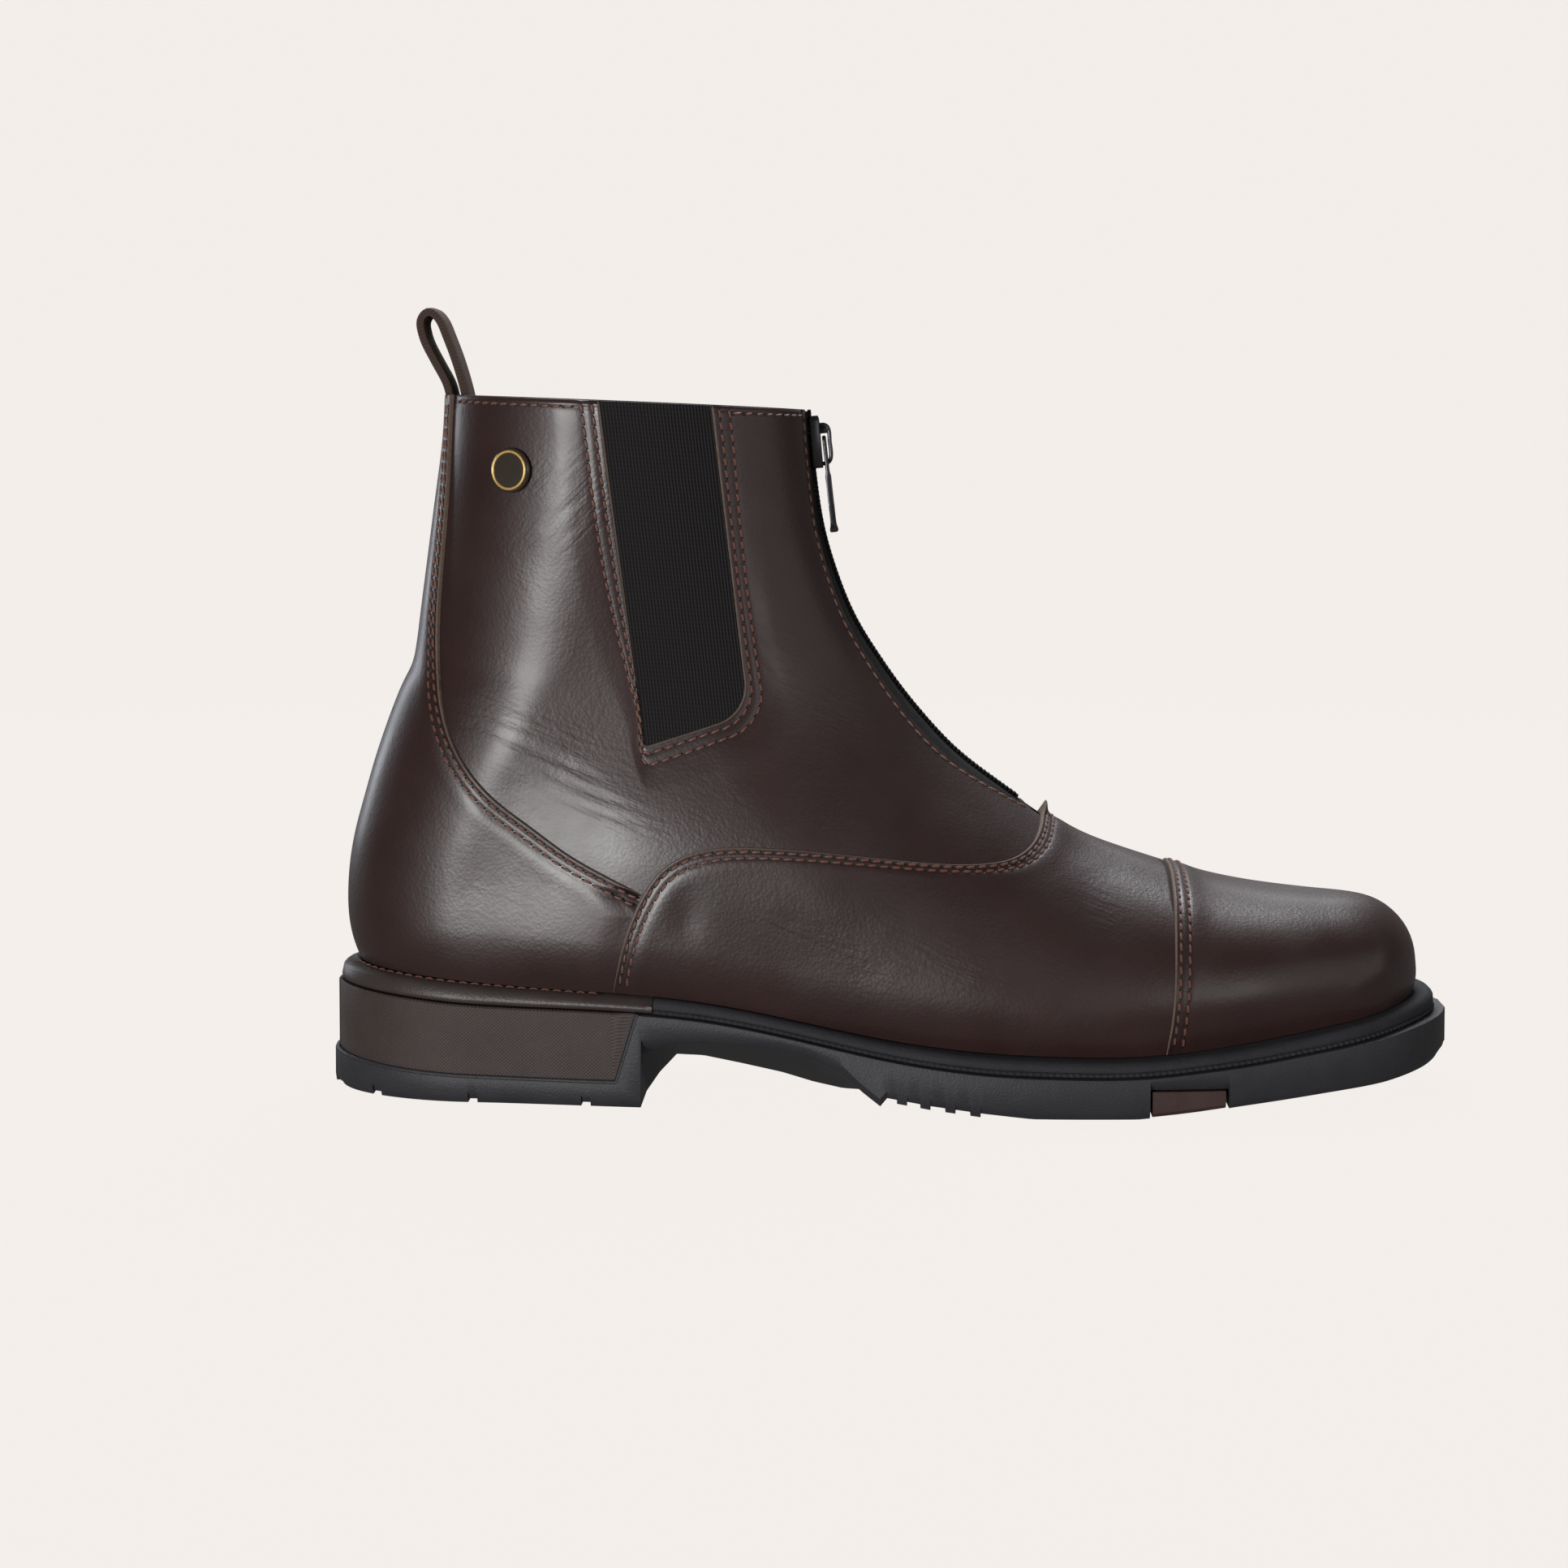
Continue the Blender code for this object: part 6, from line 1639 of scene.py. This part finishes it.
def mixed(tree, share, first, last):
    """Output of a mix of two colours."""
    return add_node(tree, "Mix", {0: share, 6: (*first, 1.0), 7: (*last, 1.0)}, data_type="RGBA").outputs[2]


def noise(tree, vector, scale, detail=3.0, roughness=0.5):
    """Output of a noise texture."""
    inputs = {"Vector": vector, "Scale": scale, "Detail": detail, "Roughness": roughness}
    return add_node(tree, "TexNoise", inputs).outputs[0]


def object_place(tree):
    """Place in the boot's own frame, in metres."""
    return add_node(tree, "TexCoord").outputs["Object"]


def span(tree, value, low, high, first, last):
    """Value carried from one range to another, held at its ends."""
    return add_node(tree, "MapRange", {0: value, 1: low, 2: high, 3: first, 4: last}).outputs[0]


def stretched(tree, value, first=0.0, last=1.0):
    """Noise carried from the range that it mostly fills to another."""
    return span(tree, value, NOISE_LOW, NOISE_HIGH, first, last)


def attribute(tree, name):
    """Number that each point of a mesh carries under a name."""
    return add_node(tree, "Attribute", attribute_name=name).outputs["Fac"]


def bumped(tree, height, distance, strength=1.0):
    """Normal of a surface with a fine height on it."""
    inputs = {"Height": height, "Distance": distance, "Strength": strength}
    return add_node(tree, "Bump", inputs).outputs[0]


def new_group(name, inputs, outputs):
    """Empty node group with number sockets, its inputs' sockets and its output node."""
    tree = bpy.data.node_groups.new(name, "ShaderNodeTree")
    for keys, way in ((inputs, "INPUT"), (outputs, "OUTPUT")):
        for key in keys:
            tree.interface.new_socket(key, in_out=way, socket_type="NodeSocketFloat")
    return tree, tree.nodes.new("NodeGroupInput").outputs, tree.nodes.new("NodeGroupOutput")


# Turn of each kind of wrinkle about the side axis, and their size along, through and across, in metres
WRINKLE_TURNS = {"Rising": -0.78, "Falling": 0.38}
WRINKLE_SIZE = (0.0085, 0.004, 0.0011)
# Weights in the leather's height, and the fine noise's share of the pores' fineness
PORE_WEIGHT, WRINKLE_WEIGHT, SLOW_WEIGHT, FINE_SHARE = 0.5, 2.6, 2.0, 0.45
# Weight of the picks among the ribs of woven cloth, and of skin against knit on textured rubber
PICK_WEIGHT, SKIN_WEIGHT, KNIT_PICKS = 0.35, 0.6, 0.9


def make_grain():
    """Grain of leather: pores, fine unevenness and wrinkles as height, slow changes as tone and gloss."""
    tree, given, put_out = new_group("leather_grain", ["Fineness", *WRINKLE_TURNS],
                                     ["Height", "Tone", "Gloss"])
    at = object_place(tree)
    pores = add_node(tree, "TexVoronoi", {"Vector": at, "Scale": given["Fineness"]}).outputs["Distance"]
    fine_scale = calculate(tree, "MULTIPLY", given["Fineness"], FINE_SHARE)
    fine = noise(tree, at, fine_scale, detail=4.0, roughness=0.6)
    height = calculate(tree, "MULTIPLY_ADD", pores, PORE_WEIGHT, fine)
    for key, turn in WRINKLE_TURNS.items():
        inputs = {"Vector": at, "Rotation": (0.0, turn, 0.0), "Scale": WRINKLE_SIZE}
        turned = add_node(tree, "Mapping", inputs, vector_type="TEXTURE").outputs[0]
        folds = calculate(tree, "MULTIPLY", noise(tree, turned, scale=1.0, detail=2.0), given[key])
        height = calculate(tree, "MULTIPLY_ADD", folds, WRINKLE_WEIGHT, height)
    slow = noise(tree, at, scale=45.0, detail=2.0)
    set_inputs(tree, put_out, {
        "Height": calculate(tree, "MULTIPLY_ADD", slow, SLOW_WEIGHT, height),
        "Tone": noise(tree, at, scale=22.0, detail=5.0, roughness=0.65),
        "Gloss": noise(tree, at, scale=60.0),
    })
    return tree


def make_weave():
    """Ribs across and picks along the surface's own UV, as height, with their pitches in metres."""
    pitches = ["Rib Pitch", "Pick Pitch"]
    tree, given, put_out = new_group("woven_ribs", pitches, ["Height", "Knit"])
    parts = add_node(tree, "SeparateXYZ", {0: add_node(tree, "UVMap", uv_map="surface").outputs[0]}).outputs
    waves = []
    for part, pitch in zip(parts, pitches):
        rounds = calculate(tree, "DIVIDE", part, given[pitch])
        waves.append(calculate(tree, "SINE", calculate(tree, "MULTIPLY", rounds, 2 * math.pi)))
    crossed = calculate(tree, "MULTIPLY", *waves)
    height = calculate(tree, "MULTIPLY_ADD", crossed, PICK_WEIGHT, waves[0])
    for key, wave in (("Height", height), ("Knit", crossed)):
        set_inputs(tree, put_out, {key: calculate(tree, "MULTIPLY_ADD", wave, 0.5, 0.5)})
    return tree


def make_skin():
    """Moulded rubber: fine sparkle as height, scuffs as tone."""
    tree, given, put_out = new_group("rubber_skin", ["Fineness"], ["Height", "Tone"])
    at = object_place(tree)
    set_inputs(tree, put_out, {
        "Height": noise(tree, at, given["Fineness"], detail=2.0),
        "Tone": noise(tree, at, scale=70.0, detail=6.0, roughness=0.7),
    })
    return tree


GRAIN, WEAVE, SKIN = make_grain(), make_weave(), make_skin()


def use_group(tree, group, inputs):
    """Outputs of a node group."""
    return add_node(tree, "Group", inputs, node_tree=group).outputs


def new_material(name):
    """Material with nodes, and its node tree."""
    material = bpy.data.materials.new(name)
    material.use_nodes = True
    return material, material.node_tree


def shade(tree, **inputs):
    """The shader's inputs set to numbers or linked to other nodes."""
    inputs = {key.replace("_", " "): value for key, value in inputs.items()}
    set_inputs(tree, tree.nodes["Principled BSDF"], inputs)


def leather_material(name, dark, light, rough_low, rough_high):
    """Smooth leather: slow changes of tone, painted shade that darkens it in the seams, wrinkled by the
    creases.
    """
    material, tree = new_material(name)
    wrinkles = {key: attribute(tree, f"wrinkles_{key.lower()}") for key in WRINKLE_TURNS}
    grain = use_group(tree, GRAIN, {"Fineness": 1100.0, **wrinkles})
    base = mixed(tree, stretched(tree, grain["Tone"]), dark, light)
    # Painted shade: the colour is multiplied down to 0.72 at seams and cut edges, back to full 5 mm away
    painted_seam_shade = span(tree, attribute(tree, "seam"), 0.2, 5.0, 0.72, 1.0)
    seam_shade_grey = add_node(tree, "CombineColor", {0: painted_seam_shade, 1: painted_seam_shade, 2: painted_seam_shade}).outputs[0]
    shaded = add_node(tree, "Mix", {0: 1.0, 6: base, 7: seam_shade_grey}, data_type="RGBA",
                      blend_type="MULTIPLY").outputs[2]
    shade(tree, Base_Color=shaded, Roughness=stretched(tree, grain["Gloss"], rough_low, rough_high),
          Normal=bumped(tree, grain["Height"], 0.00009, 0.7), Coat_Weight=0.22, Coat_Roughness=0.24,
          Specular_IOR_Level=0.45)
    return material


def raw_edge_material():
    """Cut edge of the leather: paler, dry and fibrous."""
    material, tree = new_material("cut_leather_edge")
    fibres = noise(tree, object_place(tree), scale=900.0, roughness=0.7)
    shade(tree, Base_Color=mixed(tree, fibres, (0.075, 0.050, 0.038), (0.185, 0.130, 0.098)), Roughness=0.85,
          Normal=bumped(tree, fibres, 0.0001))
    return material


def thread_material():
    """Sewing thread, with painted shade at its ends, standing in for the shadow of the holes it goes into."""
    material, tree = new_material("sewing_thread")
    # Painted shade: the last part of each stitch is near black, in place of the shadowed stitch hole
    end = span(tree, attribute(tree, "stitch_end"), 0.54, 0.70, 0.0, 1.0)
    shade(tree, Base_Color=mixed(tree, end, (0.150, 0.060, 0.040), (0.012, 0.006, 0.005)), Roughness=0.55)
    return material


def lining_material():
    """Lining leather: matte, finely grained."""
    material, tree = new_material("lining_leather")
    grain = use_group(tree, GRAIN, {"Fineness": 900.0})
    shade(tree, Base_Color=mixed(tree, grain["Tone"], (0.055, 0.036, 0.026), (0.085, 0.058, 0.043)),
          Roughness=0.7, Normal=bumped(tree, grain["Height"], 0.0001))
    return material


def woven_material(name, low, high, rib, pick, depth, roughness):
    """Woven cloth: ribs by UV, darker between them."""
    material, tree = new_material(name)
    weave = use_group(tree, WEAVE, {"Rib Pitch": rib, "Pick Pitch": pick})
    shade(tree, Base_Color=mixed(tree, weave["Height"], low, high), Roughness=roughness,
          Normal=bumped(tree, weave["Height"], depth), Specular_IOR_Level=0.25)
    return material


def rubber_material(name, low, high, roughness, fineness, depth, rib=None, shine=0.4):
    """Moulded rubber: fine skin, uneven tone. rib adds a fine knitted texture by UV."""
    material, tree = new_material(name)
    skin = use_group(tree, SKIN, {"Fineness": fineness})
    tone, height = stretched(tree, skin["Tone"]), skin["Height"]
    if rib:
        knit = use_group(tree, WEAVE, {"Rib Pitch": rib, "Pick Pitch": rib * KNIT_PICKS})["Knit"]
        height = calculate(tree, "MULTIPLY_ADD", height, SKIN_WEIGHT, knit)
        tone = calculate(tree, "MULTIPLY", tone, SKIN_WEIGHT)
        tone = calculate(tree, "MULTIPLY_ADD", knit, 1 - SKIN_WEIGHT, tone)
    shade(tree, Base_Color=mixed(tree, tone, low, high), Roughness=roughness,
          Normal=bumped(tree, height, depth), Specular_IOR_Level=shine)
    return material


def metal_material(name, base, metallic, roughness):
    """Metal or enamel with faintly uneven gloss."""
    material, tree = new_material(name)
    skin = use_group(tree, SKIN, {"Fineness": 2500.0})
    shade(tree, Base_Color=(*base, 1.0), Metallic=metallic,
          Roughness=stretched(tree, skin["Tone"], roughness * GLOSS_LEAST, roughness * GLOSS_MOST))
    return material


FLOOR_GLOW, BACKDROP_GLOW = 0.15, 0.09
PALE_PAINT = (0.89, 0.85, 0.82, 1.0)


def seen_strength(tree, glow):
    """Strength of paint that is full to the eye and faint as light on the boot."""
    seen = add_node(tree, "LightPath").outputs["Is Camera Ray"]
    return calculate(tree, "MULTIPLY_ADD", seen, 1 - glow, glow)


def floor_material():
    """Pale paint that stays even to the eye and throws only a little light back at the boot."""
    material, tree = new_material("pale_floor")
    shade(tree, Base_Color=(0.008, 0.008, 0.008, 1.0), Roughness=0.95, Specular_IOR_Level=0.0,
          Emission_Color=PALE_PAINT, Emission_Strength=seen_strength(tree, FLOOR_GLOW))
    return material


# Pieces in place

BLACK_TONES = (0.026, 0.0253, 0.0292), (0.038, 0.0370, 0.0425)
leathers = [
    leather_material("brown_leather_satin", (0.025, 0.0108, 0.0102), (0.039, 0.0178, 0.0168),
                     rough_low=0.36, rough_high=0.47),
    raw_edge_material(),
]
thread = thread_material()
lining = lining_material()
elastic = woven_material("ribbed_elastic", (0.006, 0.0055, 0.006), (0.026, 0.0225, 0.025),
                         rib=0.00085, pick=0.0011, depth=0.00025, roughness=0.8)
tape = woven_material("woven_zip_tape", (0.008, 0.007, 0.007), (0.020, 0.018, 0.018),
                      rib=0.0008, pick=0.0006, depth=0.0001, roughness=0.85)
webbing = woven_material("ribbed_webbing", (0.050, 0.031, 0.024), (0.135, 0.090, 0.070),
                         rib=0.0013, pick=0.0009, depth=0.0003, roughness=0.8)
black_metal = metal_material("black_zip_metal", (0.018, 0.018, 0.020), metallic=0.6, roughness=0.34)
dark_nickel = metal_material("dark_nickel", (0.05, 0.05, 0.055), metallic=0.8, roughness=0.26)
enamel = metal_material("dark_stud_enamel", (0.042, 0.034, 0.025), metallic=0.0, roughness=0.14)
gold = metal_material("gold_ring_metal", (0.78, 0.50, 0.17), metallic=0.55, roughness=0.36)
black_rubber = rubber_material("black_sole_rubber", *BLACK_TONES, roughness=0.54, fineness=1800.0,
                               depth=0.00012)
welt_rubber = rubber_material("black_welt_rubber", *BLACK_TONES, roughness=0.72, fineness=900.0, depth=0.0002,
                              shine=0.22)
rand_rubber = rubber_material("brown_rand_rubber", (0.042, 0.031, 0.029), (0.060, 0.046, 0.043),
                              roughness=0.42, fineness=1500.0, depth=0.00008)
panel_rubber = rubber_material("brown_heel_rubber", (0.037, 0.0262, 0.0230), (0.066, 0.0480, 0.0430),
                               roughness=0.58, fineness=1500.0, depth=0.00010, rib=0.0010)
insert_rubber = rubber_material("red_brown_tread_rubber", (0.044, 0.0225, 0.0205), (0.072, 0.040, 0.036),
                                roughness=0.55, fineness=1500.0, depth=0.0001)

for add_panel in (add_quarters, add_vamp, add_toe_cap, add_counter):
    add_panel(leathers, thread)
add_lining(lining)
add_insole(lining)
add_gores(elastic)
add_tape(tape)
add_teeth(black_metal)
add_slider(dark_nickel)
add_pull(dark_nickel)
add_pull_loop(webbing)
add_stud(enamel, gold)
add_outsole(black_rubber)
add_heel_block(panel_rubber)
add_heel_lip(black_rubber)
add_rims(welt_rubber, rand_rubber)
add_foot_stitching(thread)
frame["nodes"]["tread_insert"].data.materials[0] = insert_rubber


# Stage, light and camera

FLOOR_HALF, FLOOR_FRONT, FLOOR_BACK, COVE_RADIUS, WALL_HEIGHT, COVE_STEPS = 3.0, -2.5, 1.4, 0.8, 3.0, 24
WHITE, COOL, SKY = (1.0, 1.0, 1.0), (0.93, 0.96, 1.0), (0.86, 0.92, 1.0)
# Soft square lights that face the boot: name, place, size, power, tint
LIGHTS = [
    ("low_key", (-0.59, -1.11, 0.135), (0.34, 0.34), 10.5, WHITE),
    ("back_softbox", (-0.02, 0.63, 1.17), (0.8, 0.5), 20.0, COOL),
    ("back_strip", (-0.02, 1.10, 0.68), (0.8, 0.4), 2.0, COOL),
    ("heel_strip", (-0.96, 0.79, 0.35), (0.3, 0.6), 2.2, SKY),
    ("toe_fill", (1.05, -0.62, 0.26), (1.6, 1.2), 3.2, WHITE),
    ("front_fill", (0.60, -1.07, 0.31), (0.4, 0.4), 1.0, WHITE),
]
LIGHT_AIM = (-0.02, 0.0, 0.09)
CAMERA_AT, CAMERA_AIM = (0.00005, -0.9207, 0.1833), (-0.0281, -0.0007, 0.1311)
CAMERA_LENS, CAMERA_SHIFT, CAMERA_SENSOR = 78.97, -0.12, 36.0


def add_floor(paint):
    """Pale floor that turns up into a backdrop behind the boot."""
    turn = np.linspace(0, math.pi / 2, COVE_STEPS)
    cove = FLOOR_BACK + COVE_RADIUS * np.sin(turn)
    depth = np.concatenate([[FLOOR_FRONT], cove, [FLOOR_BACK + COVE_RADIUS]])
    height = np.concatenate([[0.0], COVE_RADIUS * (1 - np.cos(turn)), [WALL_HEIGHT]])
    points = [(x, y, z) for y, z in zip(depth, height) for x in (-FLOOR_HALF, FLOOR_HALF)]
    mesh = bpy.data.meshes.new("floor")
    mesh.from_pydata(points, [], grid_quads(len(depth), 2).tolist())
    mesh.materials.append(paint)
    mesh.shade_smooth()
    floor = bpy.data.objects.new("floor", mesh)
    bpy.context.scene.collection.objects.link(floor)


def aimed(name, data, at, aim):
    """Light or camera at a place, turned to face a point."""
    thing = bpy.data.objects.new(name, data)
    thing.location = at
    thing.rotation_euler = (Vector(aim) - Vector(at)).to_track_quat("-Z", "Y").to_euler()
    bpy.context.scene.collection.objects.link(thing)
    return thing


add_floor(floor_material())
for name, at, size, power, tint in LIGHTS:
    light = bpy.data.lights.new(name, "AREA")
    light.shape = "RECTANGLE"
    light.size, light.size_y = size
    light.energy = power
    light.color = tint
    aimed(name, light, at, LIGHT_AIM)
world = bpy.data.worlds.new("studio")
world.use_nodes = True
strength = seen_strength(world.node_tree, BACKDROP_GLOW)
set_inputs(world.node_tree, world.node_tree.nodes["Background"], {"Color": PALE_PAINT, "Strength": strength})
bpy.context.scene.world = world
bpy.context.scene.view_settings.view_transform = "Standard"

camera = aimed("camera", bpy.data.cameras.new("camera"), CAMERA_AT, CAMERA_AIM)
camera.data.lens = CAMERA_LENS
camera.data.shift_y = CAMERA_SHIFT
camera.data.sensor_width = CAMERA_SENSOR
bpy.context.scene.camera = camera
